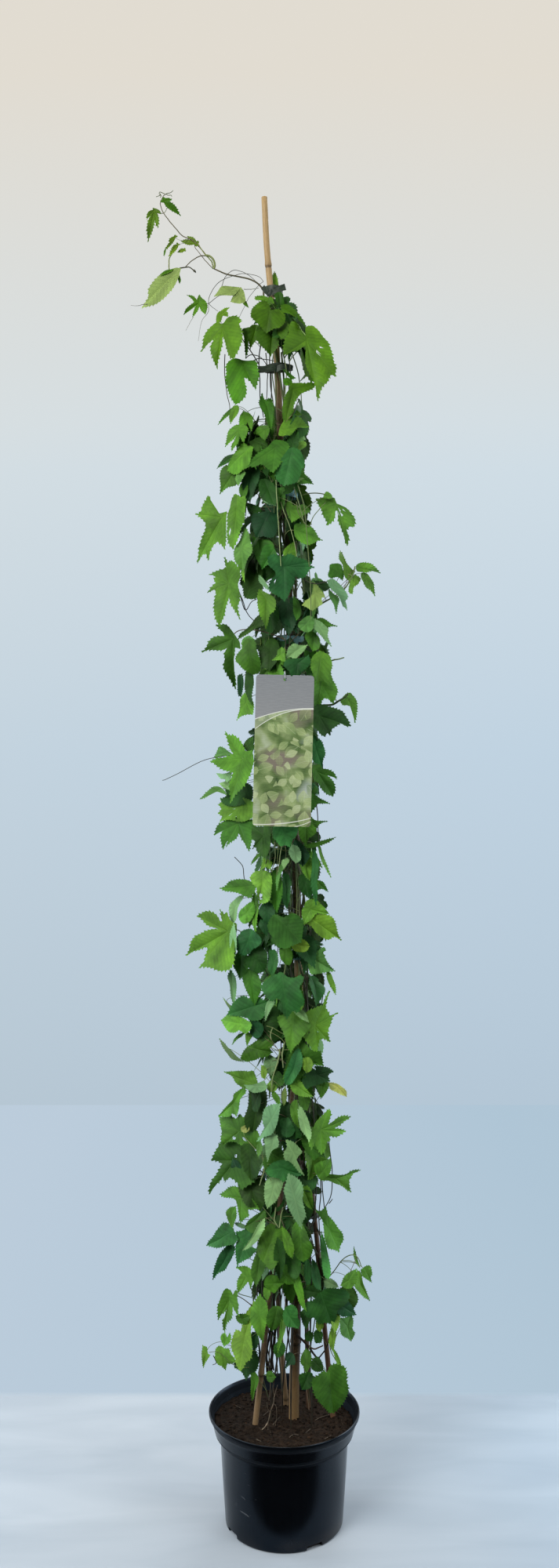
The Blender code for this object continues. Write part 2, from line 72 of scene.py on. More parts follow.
# ---------------------------------------------------------------- dimensions carried over from the frame
POT_HEIGHT, POT_RIM_R, POT_BASE_R, POT_FLOOR = 0.205, 0.140, 0.109, 0.003
COLLAR_BOTTOM_Z = 0.1605
NOTCH_WIDTH, NOTCH_HEIGHT = 0.032, 0.009
NOTCH_ANGLES = (-60.0, 30.0, 120.0, 210.0)
SOIL_TOP_Z, SOIL_TILT_X, SOIL_TILT_Y = 0.1845, -0.030, -0.035
MAIN_CANE_LINE = (
    (0.00, 0.0160), (0.19, 0.0175), (0.46, 0.0235), (0.74, 0.0262), (1.00, 0.0268),
    (1.16, 0.0235), (1.50, 0.0150), (1.82, 0.0050), (2.04, -0.0080), (2.19, -0.0150),
    (2.27, -0.0235), (2.35, -0.0314), (2.47, -0.0375),
)
MAIN_CANE_KNOTS = (0.33, 0.61, 0.88, 1.14, 1.40, 1.66, 1.91, 2.14, 2.335)
THIN_CANES = {
    "cane_front_left": ((-0.0542, -0.0320, 0.185), (0.0290, -0.0310, 0.925), 0.0056, 0.0044, 0.012),
    "cane_right": ((0.0910, 0.0080, 0.185), (0.0530, 0.0150, 0.600), 0.0052, 0.0044, 0.085),
    "cane_back": ((0.0030, 0.0520, 0.185), (-0.0270, 0.0440, 0.600), 0.0050, 0.0042, 0.030),
    "cane_back_right": ((0.0460, 0.0420, 0.185), (0.0262, 0.0290, 0.985), 0.0042, 0.0034, 0.040),
}
THIN_CANE_KNOTS = (0.30, 0.56, 0.80)
BINES = {
    "bine_1": (205.0, 0.046, 2.262, 0.0029, 180.0),
    "bine_2": (262.0, 0.040, 2.170, 0.0027, 252.0),
    "bine_3": (318.0, 0.044, 1.780, 0.0026, 324.0),
    "bine_4": (20.0, 0.038, 1.480, 0.0025, 36.0),
    "bine_5": (128.0, 0.034, 1.130, 0.0024, 108.0),
}
BINE_JOINS_Z, BINE_PITCH = 0.42, 0.46
TWIST_R_LOW, TWIST_R_HIGH = 0.0185, 0.0100
TIES = {
    "tie_top": (2.287, -0.0198, 0.0245, 0.0165),
    "tie_upper": (2.142, -0.0115, 0.0285, 0.0205),
    "tie_shoulder": (1.905, 0.0015, 0.0240, 0.0240),
    "tie_chest": (1.637, 0.0107, 0.0250, 0.0250),
    "tie_middle": (1.050, 0.0262, 0.0262, 0.0262),
}
SIDES = {"front": -90.0, "right": 0.0, "back": 90.0, "left": 180.0}
SIDE_SHOOTS = {
    "front": (
        (2.255, 2.036, 0.100), (2.028, 1.812, 0.115), (1.804, 1.588, 0.118), (1.562, 1.312, 0.116),
        (1.304, 1.050, 0.122), (1.042, 0.790, 0.122), (0.782, 0.530, 0.128), (0.522, 0.262, 0.132),
    ),
    "right": (
        (2.262, 2.034, 0.112), (2.024, 1.815, 0.136), (1.806, 1.662, 0.178), (1.640, 1.458, 0.146),
        (1.448, 1.190, 0.102), (1.160, 0.890, 0.104), (0.820, 0.600, 0.130), (0.578, 0.206, 0.146),
    ),
    "back": (
        (2.200, 1.990, 0.085), (1.980, 1.745, 0.105), (1.735, 1.495, 0.112), (1.485, 1.240, 0.118),
        (1.230, 0.985, 0.120), (0.975, 0.725, 0.122), (0.715, 0.475, 0.124), (0.465, 0.250, 0.124),
    ),
    "left": (
        (2.262, 2.004, 0.146), (1.994, 1.795, 0.168), (1.786, 1.558, 0.158), (1.540, 1.240, 0.168),
        (1.230, 1.020, 0.206), (1.010, 0.756, 0.146), (0.746, 0.556, 0.168), (0.544, 0.262, 0.172),
    ),
}
LABEL_CENTRE, LABEL_LEAN = (-0.0020, -0.1300, 1.4265), math.radians(1.4)
LABEL_WIDTH, LABEL_HEIGHT = 0.1025, 0.2665


def mix(a, b, s):
    return a + (b - a) * s


def clamp(v, low=0.0, high=1.0):
    return max(low, min(high, v))


def smoothstep(a, b, x):
    t = np.clip((x - a) / (b - a), 0.0, 1.0)
    return t * t * (3 - 2 * t)


def smooth_between(table, t):
    """Value at t of a table of (t, value), eased between neighbours."""
    if t <= table[0][0]:
        return table[0][1]
    for i in range(len(table) - 1):
        (t0, v0), (t1, v1) = table[i], table[i + 1]
        if t <= t1:
            before = table[i - 1] if i > 0 else table[i]
            after = table[i + 2] if i + 2 < len(table) else table[i + 1]
            m0 = (v1 - before[1]) / (t1 - before[0]) * (t1 - t0)
            m1 = (after[1] - v0) / (after[0] - t0) * (t1 - t0)
            s = (t - t0) / (t1 - t0)
            return ((2 * s**3 - 3 * s**2 + 1) * v0 + (s**3 - 2 * s**2 + s) * m0
                    + (-2 * s**3 + 3 * s**2) * v1 + (s**3 - s**2) * m1)
    return table[-1][1]


def cane_x(z):
    return smooth_between(MAIN_CANE_LINE, z)


# ---------------------------------------------------------------- node helpers
class Nodes:
    """A material's node tree, built link by link."""

    def __init__(self, name):
        self.mat = bpy.data.materials.new(name)
        self.mat.use_nodes = True
        self.tree = self.mat.node_tree
        self.bsdf = self.tree.nodes["Principled BSDF"]

    def add(self, kind, **props):
        n = self.tree.nodes.new("ShaderNode" + kind)
        for key, value in props.items():
            setattr(n, key, value)
        return n

    def put(self, socket, value):
        if isinstance(value, bpy.types.NodeSocket):
            self.tree.links.new(value, socket)
        elif isinstance(value, (tuple, list)) and len(value) == 3 and socket.type == "RGBA":
            socket.default_value = (*value, 1.0)
        else:
            socket.default_value = value

    def coords(self, kind="Object"):
        return self.add("TexCoord").outputs[kind]

    def uv(self, name):
        return self.add("UVMap", uv_map=name).outputs["UV"]

    def tint(self):
        return self.add("Attribute", attribute_type="GEOMETRY", attribute_name="tint").outputs["Color"]

    def split(self, vector):
        n = self.add("SeparateXYZ")
        self.put(n.inputs[0], vector)
        return n.outputs

    def join(self, x, y, z):
        n = self.add("CombineXYZ")
        for socket, value in zip(n.inputs, (x, y, z)):
            self.put(socket, value)
        return n.outputs[0]

    def math(self, op, a, b=0.0, c=0.0, clamped=False):
        n = self.add("Math", operation=op, use_clamp=clamped)
        for socket, value in zip(n.inputs, (a, b, c)):
            self.put(socket, value)
        return n.outputs[0]

    def vmath(self, op, a, b=(0.0, 0.0, 0.0)):
        n = self.add("VectorMath", operation=op)
        self.put(n.inputs[0], a)
        self.put(n.inputs[1], b)
        return n.outputs[0]

    def scaled(self, vector, xyz):
        return self.vmath("MULTIPLY", vector, xyz)

    def range(self, value, a, b, c=0.0, d=1.0, smooth=False):
        n = self.add("MapRange", interpolation_type="SMOOTHSTEP" if smooth else "LINEAR")
        self.put(n.inputs["Value"], value)
        for key, number in zip(("From Min", "From Max", "To Min", "To Max"), (a, b, c, d)):
            self.put(n.inputs[key], number)
        return n.outputs["Result"]

    def noise(self, vector, scale, detail=2.0, rough=0.5, distortion=0.0, out="Fac"):
        n = self.add("TexNoise")
        self.put(n.inputs["Vector"], vector)
        n.inputs["Scale"].default_value = scale
        n.inputs["Detail"].default_value = detail
        n.inputs["Roughness"].default_value = rough
        n.inputs["Distortion"].default_value = distortion
        return n.outputs[out]

    def voronoi(self, vector, scale, feature="F1", randomness=1.0):
        n = self.add("TexVoronoi", feature=feature)
        self.put(n.inputs["Vector"], vector)
        n.inputs["Scale"].default_value = scale
        n.inputs["Randomness"].default_value = randomness
        return n

    def mix(self, fac, a, b, blend="MIX"):
        n = self.add("Mix", data_type="RGBA", blend_type=blend)
        self.put(n.inputs[0], fac)
        self.put(n.inputs[6], a)
        self.put(n.inputs[7], b)
        return n.outputs[2]

    def scale_colour(self, colour, fac):
        """The colour times a number."""
        n = self.add("VectorMath", operation="SCALE")
        self.put(n.inputs[0], colour)
        self.put(n.inputs["Scale"], fac)
        return n.outputs[0]

    def ramp(self, fac, *stops):
        n = self.add("ValToRGB")
        self.put(n.inputs[0], fac)
        while len(n.color_ramp.elements) < len(stops):
            n.color_ramp.elements.new(0.5)
        for element, (place, colour) in zip(n.color_ramp.elements, stops):
            element.position = place
            element.color = (*colour, 1.0) if len(colour) == 3 else colour
        return n.outputs["Color"]

    def bump(self, height, strength=0.3, distance=0.001):
        n = self.add("Bump")
        self.put(n.inputs["Height"], height)
        n.inputs["Strength"].default_value = strength
        n.inputs["Distance"].default_value = distance
        self.tree.links.new(n.outputs[0], self.bsdf.inputs["Normal"])

    def finish(self, colour, rough, specular=0.5, **fixed):
        self.put(self.bsdf.inputs["Base Color"], colour)
        self.put(self.bsdf.inputs["Roughness"], rough)
        self.bsdf.inputs["Specular IOR Level"].default_value = specular
        for key, value in fixed.items():
            self.bsdf.inputs[key].default_value = value
        return self.mat


def vein_mask(m):
    """Midrib and side veins from the leaf's own coordinates: u runs along a lobe's midrib, v across it, both in decimetres."""
    u, v, _ = m.split(m.uv("leaf"))
    across = m.math("ABSOLUTE", v)
    midrib = m.range(across, 0.005, 0.015, 1.0, 0.0)
    along = m.math("SUBTRACT", u, m.math("MULTIPLY", across, 0.85))
    place = m.math("FRACT", m.math("DIVIDE", along, 0.085))
    off_line = m.math("ABSOLUTE", m.math("SUBTRACT", place, 0.5))
    side = m.math("MULTIPLY", m.range(off_line, 0.02, 0.09, 1.0, 0.0), m.range(across, 0.0, 0.30, 0.75, 0.25))
    # painted shade: the blade is pleated between its side veins, and one flank of each pleat is painted darker than the
    # other, as if lit from one side
    pleat_shade = m.math("MULTIPLY", m.range(place, 0.05, 0.95, -1.0, 1.0), m.range(across, 0.01, 0.06))
    return m.math("MAXIMUM", midrib, side), pleat_shade


def leaf_top_material():
    m = Nodes("Leaf upper side")
    vein, pleat_shade = vein_mask(m)
    place = m.coords()
    patches = m.noise(place, 34.0, 3.0, 0.55)
    mottle = m.noise(place, 260.0, 3.0, 0.6)
    tint = m.tint()
    shade = m.math("MULTIPLY", m.range(patches, 0.3, 0.7, 0.70, 1.30), m.range(mottle, 0.25, 0.75, 0.88, 1.12))
    # painted shade: one flank of each pleat is darker
    shade = m.math("MULTIPLY", shade, m.math("ADD", 1.0, m.math("MULTIPLY", pleat_shade, 0.10)))
    colour = m.scale_colour(tint, shade)
    # a little yellower where the blade is thin between the veins
    warm = m.mix(m.range(patches, 0.45, 0.75, 0.0, 0.35), colour, m.vmath("MULTIPLY", colour, (1.35, 1.10, 0.75)))
    lighter = m.vmath("ADD", m.vmath("MULTIPLY", tint, (1.50, 1.32, 1.50)), (0.010, 0.014, 0.006))
    colour = m.mix(m.math("MULTIPLY", vein, 0.28), warm, lighter)
    rough = m.range(mottle, 0.3, 0.7, 0.46, 0.62)
    height = m.math("SUBTRACT", m.math("MULTIPLY", m.noise(place, 420.0, 2.0, 0.5), 0.35), m.math("MULTIPLY", vein, 0.8))
    m.bump(height, 0.34, 0.0008)
    return m.finish(colour, rough, 0.14)


def leaf_under_material():
    m = Nodes("Leaf underside")
    vein, pleat_shade = vein_mask(m)
    place = m.coords()
    tint = m.tint()
    mottle = m.noise(place, 70.0, 3.0, 0.5)
    # painted shade: one flank of each pleat is darker
    colour = m.scale_colour(tint, m.math("MULTIPLY", m.range(mottle, 0.25, 0.75, 0.92, 1.08), m.math("ADD", 1.0, m.math("MULTIPLY", pleat_shade, 0.10))))
    lighter = m.vmath("ADD", m.vmath("MULTIPLY", tint, (1.25, 1.18, 1.15)), (0.016, 0.020, 0.010))
    colour = m.mix(m.math("MULTIPLY", vein, 0.55), colour, lighter)
    m.bump(vein, 0.20, 0.0008)
    return m.finish(colour, m.range(mottle, 0.3, 0.7, 0.62, 0.78), 0.2)


def stem_material():
    m = Nodes("Stem")
    place = m.coords()
    tint = m.tint()
    u, v, _ = m.split(m.uv("leaf"))
    ribs = m.noise(m.join(m.math("MULTIPLY", u, 9.0), m.math("MULTIPLY", v, 1.2), 0.0), 3.0, 2.0)
    blotch = m.noise(place, 90.0, 3.0, 0.6)
    colour = m.scale_colour(tint, m.range(ribs, 0.3, 0.7, 0.75, 1.25))
    colour = m.mix(m.range(blotch, 0.5, 0.75, 0.0, 0.5), colour, m.vmath("MULTIPLY", colour, (1.25, 0.85, 0.70)))
    m.bump(ribs, 0.5, 0.0006)
    return m.finish(colour, 0.55, 0.35)


def bamboo_material(name, light, mid, dark, mottling, foot_dark, clean_to=0.245):
    m = Nodes(name)
    u, v, _ = m.split(m.uv("leaf"))
    place = m.coords()
    # long fibres run up the cane, blotches sit over them, and a dark line marks each joint
    turn = m.math("MULTIPLY", u, 2 * math.pi)
    ring = m.join(m.math("COSINE", turn), m.math("SINE", turn), m.math("MULTIPLY", v, 1.3))
    fibre = m.noise(m.scaled(ring, (9.0, 9.0, 3.0)), 1.0, 4.0, 0.6)
    blotch = m.noise(m.scaled(ring, (0.8, 0.8, 7.0)), 3.0, 4.0, 0.65, 0.4)
    speck = m.noise(place, 300.0, 2.0, 0.5)
    x, y, z = m.split(place)
    # lighter at the very top, darker and more blotched further down, with a lighter band from about 0.95 to 1.07 m and
    # fewer blotches just over the soil
    blotched = m.math("MULTIPLY", m.range(z, clean_to, clean_to + 0.05), m.range(z, 1.98, 2.20, 1.0, 0.0))
    lighter_band = m.math("MULTIPLY", m.range(z, 0.945, 0.965), m.range(z, 1.055, 1.075, 1.0, 0.0))
    blotched = m.math("MULTIPLY", blotched, m.math("SUBTRACT", 1.0, m.math("MULTIPLY", lighter_band, 0.8)))
    colour = m.mix(m.range(fibre, 0.35, 0.65), light, mid)
    # much darker below about 2 m, less so in the lighter band
    colour = m.mix(m.math("MULTIPLY", m.math("MULTIPLY", m.range(z, 1.94, 2.14, 1.0, 0.0), m.math("SUBTRACT", 1.0, m.math("MULTIPLY", lighter_band, 0.8))), 0.75), colour, m.vmath("MULTIPLY", colour, (0.30, 0.27, 0.28)))
    amount = m.math("ADD", m.math("MULTIPLY", blotched, foot_dark), mottling)
    colour = m.mix(m.math("MULTIPLY", m.range(blotch, 0.30, 0.66, 0.45, 1.0), amount, clamped=True), colour, dark)
    colour = m.mix(m.range(speck, 0.60, 0.72, 0.0, 0.35), colour, m.vmath("MULTIPLY", colour, (0.6, 0.55, 0.5)))
    joint = m.tint()
    colour = m.vmath("MULTIPLY", colour, joint)
    m.bump(m.math("ADD", fibre, m.math("MULTIPLY", speck, 0.3)), 0.35, 0.0006)
    return m.finish(colour, m.range(blotch, 0.3, 0.7, 0.38, 0.60), 0.4)


def tape_material(name, colour_a, colour_b):
    m = Nodes(name)
    place = m.coords()
    u, v, _ = m.split(m.uv("leaf"))
    creases = m.noise(m.scaled(m.uv("leaf"), (40.0, 9.0, 1.0)), 1.0, 3.0, 0.6, 0.5)
    dust = m.noise(place, 220.0, 3.0, 0.6)
    # painted light and shade: the tape is lighter on the ridges of its creases and darker in their hollows
    colour = m.mix(m.range(creases, 0.35, 0.70), colour_a, colour_b)
    colour = m.mix(m.range(dust, 0.55, 0.75, 0.0, 0.25), colour, (0.14, 0.15, 0.13))
    colour = m.vmath("MULTIPLY", colour, m.tint())
    m.bump(creases, 0.6, 0.0012)
    return m.finish(colour, m.range(dust, 0.3, 0.7, 0.42, 0.60), 0.32)


LEAF_TOP = leaf_top_material()
LEAF_UNDER = leaf_under_material()
STEM = stem_material()
LEAF_SET = (LEAF_TOP, LEAF_UNDER, STEM)


# ---------------------------------------------------------------- meshes from arrays
class Batch:
    """Triangles gathered for one piece: places, corners, leaf coordinates, colours and material numbers."""

    def __init__(self):
        self.points, self.tris, self.uvs, self.tints, self.mats = [], [], [], [], []
        self.count = 0

    def add(self, points, tris, uvs, tints, mat):
        """uvs is (triangles, 3, 2); tints is one colour or (triangles, 3, 3)."""
        tris = np.asarray(tris, dtype=np.int64)
        tints = np.broadcast_to(np.asarray(tints, dtype=np.float32), (len(tris), 3, 3))
        self.points.append(np.asarray(points, dtype=np.float64))
        self.tris.append(tris + self.count)
        self.uvs.append(np.asarray(uvs, dtype=np.float32))
        self.tints.append(tints)
        self.mats.append(np.broadcast_to(np.asarray(mat, dtype=np.int32), (len(tris),)))
        self.count += len(points)

    def make(self, name, materials, sharp=60.0):
        points, tris = np.concatenate(self.points), np.concatenate(self.tris)
        mesh = bpy.data.meshes.new(name)
        mesh.vertices.add(len(points))
        mesh.vertices.foreach_set("co", points.astype(np.float32).ravel())
        mesh.loops.add(3 * len(tris))
        mesh.loops.foreach_set("vertex_index", tris.astype(np.int32).ravel())
        mesh.polygons.add(len(tris))
        mesh.polygons.foreach_set("loop_start", np.arange(0, 3 * len(tris), 3, dtype=np.int32))
        mesh.polygons.foreach_set("material_index", np.concatenate(self.mats))
        mesh.update(calc_edges=True)
        layer = mesh.uv_layers.new(name="leaf")
        layer.data.foreach_set("uv", np.concatenate(self.uvs).astype(np.float32).ravel())
        colours = mesh.color_attributes.new("tint", "FLOAT_COLOR", "CORNER")
        rgba = np.ones((3 * len(tris), 4), dtype=np.float32)
        rgba[:, :3] = np.concatenate(self.tints).reshape(-1, 3)
        colours.data.foreach_set("color", rgba.ravel())
        for mat in materials:
            mesh.materials.append(mat)
        mesh.validate()
        mesh.shade_smooth()
        if sharp is not None:
            mesh.set_sharp_from_angle(angle=math.radians(sharp))
        obj = bpy.data.objects.new(name, mesh)
        bpy.context.scene.collection.objects.link(obj)
        return obj


def place_piece(obj, node):
    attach(obj, "root")
    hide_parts(node)
    return obj


def frames_along(points):
    """Unit tangents and two steady cross directions along a line of points."""
    points = np.asarray(points, dtype=float)
    t = np.gradient(points, axis=0)
    t /= np.linalg.norm(t, axis=1)[:, None] + 1e-12
    first = np.array((0.0, 0.0, 1.0)) if abs(t[0][2]) < 0.9 else np.array((1.0, 0.0, 0.0))
    a = np.cross(t[0], first)
    a /= np.linalg.norm(a)
    sides = [a]
    for i in range(1, len(points)):
        a = sides[-1] - t[i] * np.dot(sides[-1], t[i])
        a /= np.linalg.norm(a) + 1e-12
        sides.append(a)
    a = np.array(sides)
    return t, a, np.cross(t, a)


def tube_into(batch, points, radii, sides, tint, mat, tint_of=None, caps=True):
    """A closed round stem through the points. tint_of gives each ring its own colour."""
    points = np.asarray(points, dtype=float)
    n = len(points)
    radii = np.broadcast_to(np.asarray(radii, dtype=float), (n,))
    _, a, b = frames_along(points)
    turn = np.arange(sides) * 2 * math.pi / sides
    ring = points[:, None] + radii[:, None, None] * (np.cos(turn)[None, :, None] * a[:, None] + np.sin(turn)[None, :, None] * b[:, None])
    verts = ring.reshape(-1, 3)
    length = np.concatenate(([0.0], np.cumsum(np.linalg.norm(np.diff(points, axis=0), axis=1)))) * 10.0
    i, j = np.meshgrid(np.arange(n - 1), np.arange(sides), indexing="ij")
    i, j = i.ravel(), j.ravel()
    k = (j + 1) % sides
    v00, v01, v10, v11 = i * sides + j, i * sides + k, (i + 1) * sides + j, (i + 1) * sides + k
    tris = np.concatenate((np.stack((v00, v01, v11), 1), np.stack((v00, v11, v10), 1)))
    u0, u1 = j / sides, (j + 1) / sides
    l0, l1 = length[i], length[i + 1]
    uv = np.concatenate((
        np.stack((np.stack((u0, l0), 1), np.stack((u1, l0), 1), np.stack((u1, l1), 1)), 1),
        np.stack((np.stack((u0, l0), 1), np.stack((u1, l1), 1), np.stack((u0, l1), 1)), 1),
    ))
    rings = np.concatenate((np.stack((i, i, i + 1), 1), np.stack((i, i + 1, i + 1), 1)))
    if caps:
        verts = np.concatenate((verts, points[:1], points[-1:]))
        c0, c1 = n * sides, n * sides + 1
        j = np.arange(sides)
        k = (j + 1) % sides
        low = np.stack((np.full(sides, c0), k, j), 1)
        high = np.stack((np.full(sides, c1), (n - 1) * sides + j, (n - 1) * sides + k), 1)
        tris = np.concatenate((tris, low, high))
        flat = np.zeros((sides, 3, 2))
        uv = np.concatenate((uv, flat, flat + (0.0, length[-1])))
        rings = np.concatenate((rings, np.zeros((sides, 3), int), np.full((sides, 3), n - 1)))
    colours = tint if tint_of is None else np.asarray(tint_of, dtype=float)[rings]
    batch.add(verts, tris, uv, colours, mat)


def spline(points, count):
    """The points joined by a smooth line of count places."""
    pts = np.asarray(points, dtype=float)
    if len(pts) == 2:
        s = np.linspace(0, 1, count)[:, None]
        return pts[0] * (1 - s) + pts[1] * s
    ext = np.concatenate((2 * pts[:1] - pts[1:2], pts, 2 * pts[-1:] - pts[-2:-1]))
    out = []
    for t in np.linspace(0, len(pts) - 1, count):
        i = min(int(t), len(pts) - 2)
        s = t - i
        p0, p1, p2, p3 = ext[i], ext[i + 1], ext[i + 2], ext[i + 3]
        out.append(0.5 * (2 * p1 + (p2 - p0) * s + (2 * p0 - 5 * p1 + 4 * p2 - p3) * s**2
                          + (3 * p1 - p0 - 3 * p2 + p3) * s**3))
    return np.array(out)


def bezier(p0, p1, p2, p3, count):
    s = np.linspace(0, 1, count)[:, None]
    return (1 - s)**3 * p0 + 3 * (1 - s)**2 * s * p1 + 3 * (1 - s) * s**2 * p2 + s**3 * p3


# ---------------------------------------------------------------- leaf colours (linear): partly the leaves' own greens, partly painted light and shade in the light, mid and dark tones
SHADES = {
    "light": (0.108, 0.200, 0.024),
    "mid": (0.058, 0.134, 0.014),
    "dark": (0.023, 0.064, 0.009),
    "blue": (0.026, 0.088, 0.026),
    "bluedark": (0.014, 0.048, 0.015),
    "lime": (0.185, 0.270, 0.040),
    "yellow": (0.350, 0.455, 0.120),
    "pale": (0.125, 0.225, 0.060),
    "under": (0.205, 0.420, 0.165),
    "young": (0.262, 0.281, 0.104),
}
UNDER_OF = {"lime": (0.25, 0.34, 0.10), "yellow": (0.55, 0.50, 0.14), "young": (0.19, 0.28, 0.085),
            "under": (0.205, 0.420, 0.165)}
UNDER_TINT = (0.110, 0.200, 0.080)


# ---------------------------------------------------------------- the leaf
def leaf_outline(lobes, pitch, tooth, depth_share=0.45):
    """Points round a lobed, toothed blade about its stalk's end at (0, 0). lobes are (angle, length, half width, round)."""
    count = 1440
    theta = np.linspace(-math.pi, math.pi, count, endpoint=False)
    s = np.linspace(0.003, 1.0, 200)
    total = np.zeros(count)
    power = 9.0
    pointed = sum(1 for lobe in lobes if not lobe[3])
    reaches = []
    for angle, length, half, kind in lobes:
        if kind:
            shape = np.sqrt(np.clip(1 - (2 * s - 1) ** 2, 0, 1))
        else:
            # egg-shaped and drawn out to a point; single blades are widest nearer the stalk
            a = 0.66 if pointed < 2 else 0.84
            shape = np.sin(math.pi * s**a) ** 0.86 * (1.0 - 0.30 * s**4)
            shape /= shape.max()
        delta = np.arctan2(half * shape, s * length)
        radius = np.hypot(half * shape, s * length)
        gap = np.abs((theta - angle + math.pi) % (2 * math.pi) - math.pi)
        edge = np.maximum.accumulate(delta[::-1]) + np.arange(200) * 1e-9
        reach = np.interp(gap, edge, radius[::-1], right=0.0)
        reaches.append((angle, reach, kind, length))
        total += reach**power
    longest = max(lobe[1] for lobe in lobes)
    r = np.maximum(total ** (1 / power), 0.035 * longest)
    # a narrow cut between neighbouring lobes, well down towards the stalk
    order = sorted((lobe for lobe in reaches if not lobe[2]), key=lambda lobe: lobe[0])
    for one, two in zip(order, order[1:] + order[:1]):
        apart = (two[0] - one[0]) % (2 * math.pi)
        if one is two or apart > 1.9 or apart < 0.16:
            continue
        between = (theta - one[0]) % (2 * math.pi) < apart
        cross = np.where(between, np.abs(one[1] - two[1]) + 0.4 * np.maximum(one[1], two[1]), 9.0)
        cut = theta[np.argmin(cross)]
        depth = depth_share * min(one[3], two[3])
        here = r[np.argmin(cross)]
        if depth < here:
            width = clamp(0.0016 / max(here, 0.004) + 0.030 * apart, 0.05, 0.16)
            gap = np.abs((theta - cut + math.pi) % (2 * math.pi) - math.pi)
            r = r * (1 - (1 - depth / here) * np.exp(-((gap / width) ** 1.6)))
    dense = np.stack((r * np.cos(theta), r * np.sin(theta)), 1)
    tips = [(length * math.cos(angle), length * math.sin(angle)) for angle, length, half, kind in lobes if not kind]
    return toothed(dense, tips, pitch, tooth)


def toothed(dense, tips, pitch, tooth):
    """Saw teeth along a closed outline: three points to a tooth, leaning towards the tip that they run up to."""
    closed = np.concatenate((dense, dense[:1]))
    step = np.linalg.norm(np.diff(closed, axis=0), axis=1)
    along = np.concatenate(([0.0], np.cumsum(step)))
    round_length = along[-1]
    radius = np.hypot(closed[:, 0], closed[:, 1])
    longest = radius.max()
    teeth = max(14, int(round(round_length / pitch)))
    starts = np.arange(teeth) * round_length / teeth
    width = round_length / teeth
    rising = np.interp(starts + width, along, radius) >= np.interp(starts, along, radius)
    shares = np.where(rising[:, None], (0.0, 0.50, 0.86), (0.0, 0.14, 0.50))
    lifts = np.where(rising[:, None], (-0.45, 0.05, 0.80), (-0.45, 0.80, 0.05))
    places = (starts[:, None] + shares * width).ravel() % round_length
    x = np.interp(places, along, closed[:, 0])
    y = np.interp(places, along, closed[:, 1])
    eps = 0.35 * width
    ahead, behind = (places + eps) % round_length, (places - eps) % round_length
    tx = np.interp(ahead, along, closed[:, 0]) - np.interp(behind, along, closed[:, 0])
    ty = np.interp(ahead, along, closed[:, 1]) - np.interp(behind, along, closed[:, 1])
    size = np.hypot(tx, ty) + 1e-9
    fade = smoothstep(0.12, 0.45, np.hypot(x, y) / longest)
    # big and small teeth take turns, as on a real hop leaf
    big = np.repeat(np.where(np.arange(teeth) % 3 == 1, 1.40, 0.80), 3)
    lift = tooth * lifts.ravel() * fade * big
    out = np.stack((x + ty / size * lift, y - tx / size * lift), 1)
    for tip in tips:
        nearest = np.argmin(np.linalg.norm(out - tip, axis=1))
        if np.linalg.norm(out[nearest] - tip) < 2.2 * width:
            out[nearest] = tip
    return out, teeth


def drawn_outline(points, pitch, tooth):
    """The outline through given corners, smooth except at its sharp ones, with teeth. Points go round the stalk's end at (0, 0)."""
    pts = np.asarray(points, dtype=float)
    if np.sum(pts[:, 0] * np.roll(pts[:, 1], -1) - np.roll(pts[:, 0], -1) * pts[:, 1]) < 0:
        pts = pts[::-1]
    count = len(pts)
    before, after = np.roll(pts, 1, 0) - pts, np.roll(pts, -1, 0) - pts
    cosine = np.sum(before * after, 1) / (np.linalg.norm(before, axis=1) * np.linalg.norm(after, axis=1) + 1e-12)
    sharp = [i for i in range(count) if cosine[i] > -0.15]
    radius = np.hypot(pts[:, 0], pts[:, 1])
    tips = [tuple(pts[i]) for i in sharp if radius[i] > 0.45 * radius.max() and radius[i] > radius[i - 1]
            and radius[i] > radius[(i + 1) % count]]
    if not sharp:
        sharp = [int(np.argmax(radius))]
    dense = []
    for n, first in enumerate(sharp):
        last = sharp[(n + 1) % len(sharp)]
        span = (last - first) % count or count
        run = np.array([pts[(first + k) % count] for k in range(span + 1)])
        dense.append(spline(run, 14 * span + 1)[:-1])
    out, teeth = toothed(np.concatenate(dense), tips, pitch, tooth)
    return out, teeth, tips or [tuple(pts[int(np.argmax(radius))])]


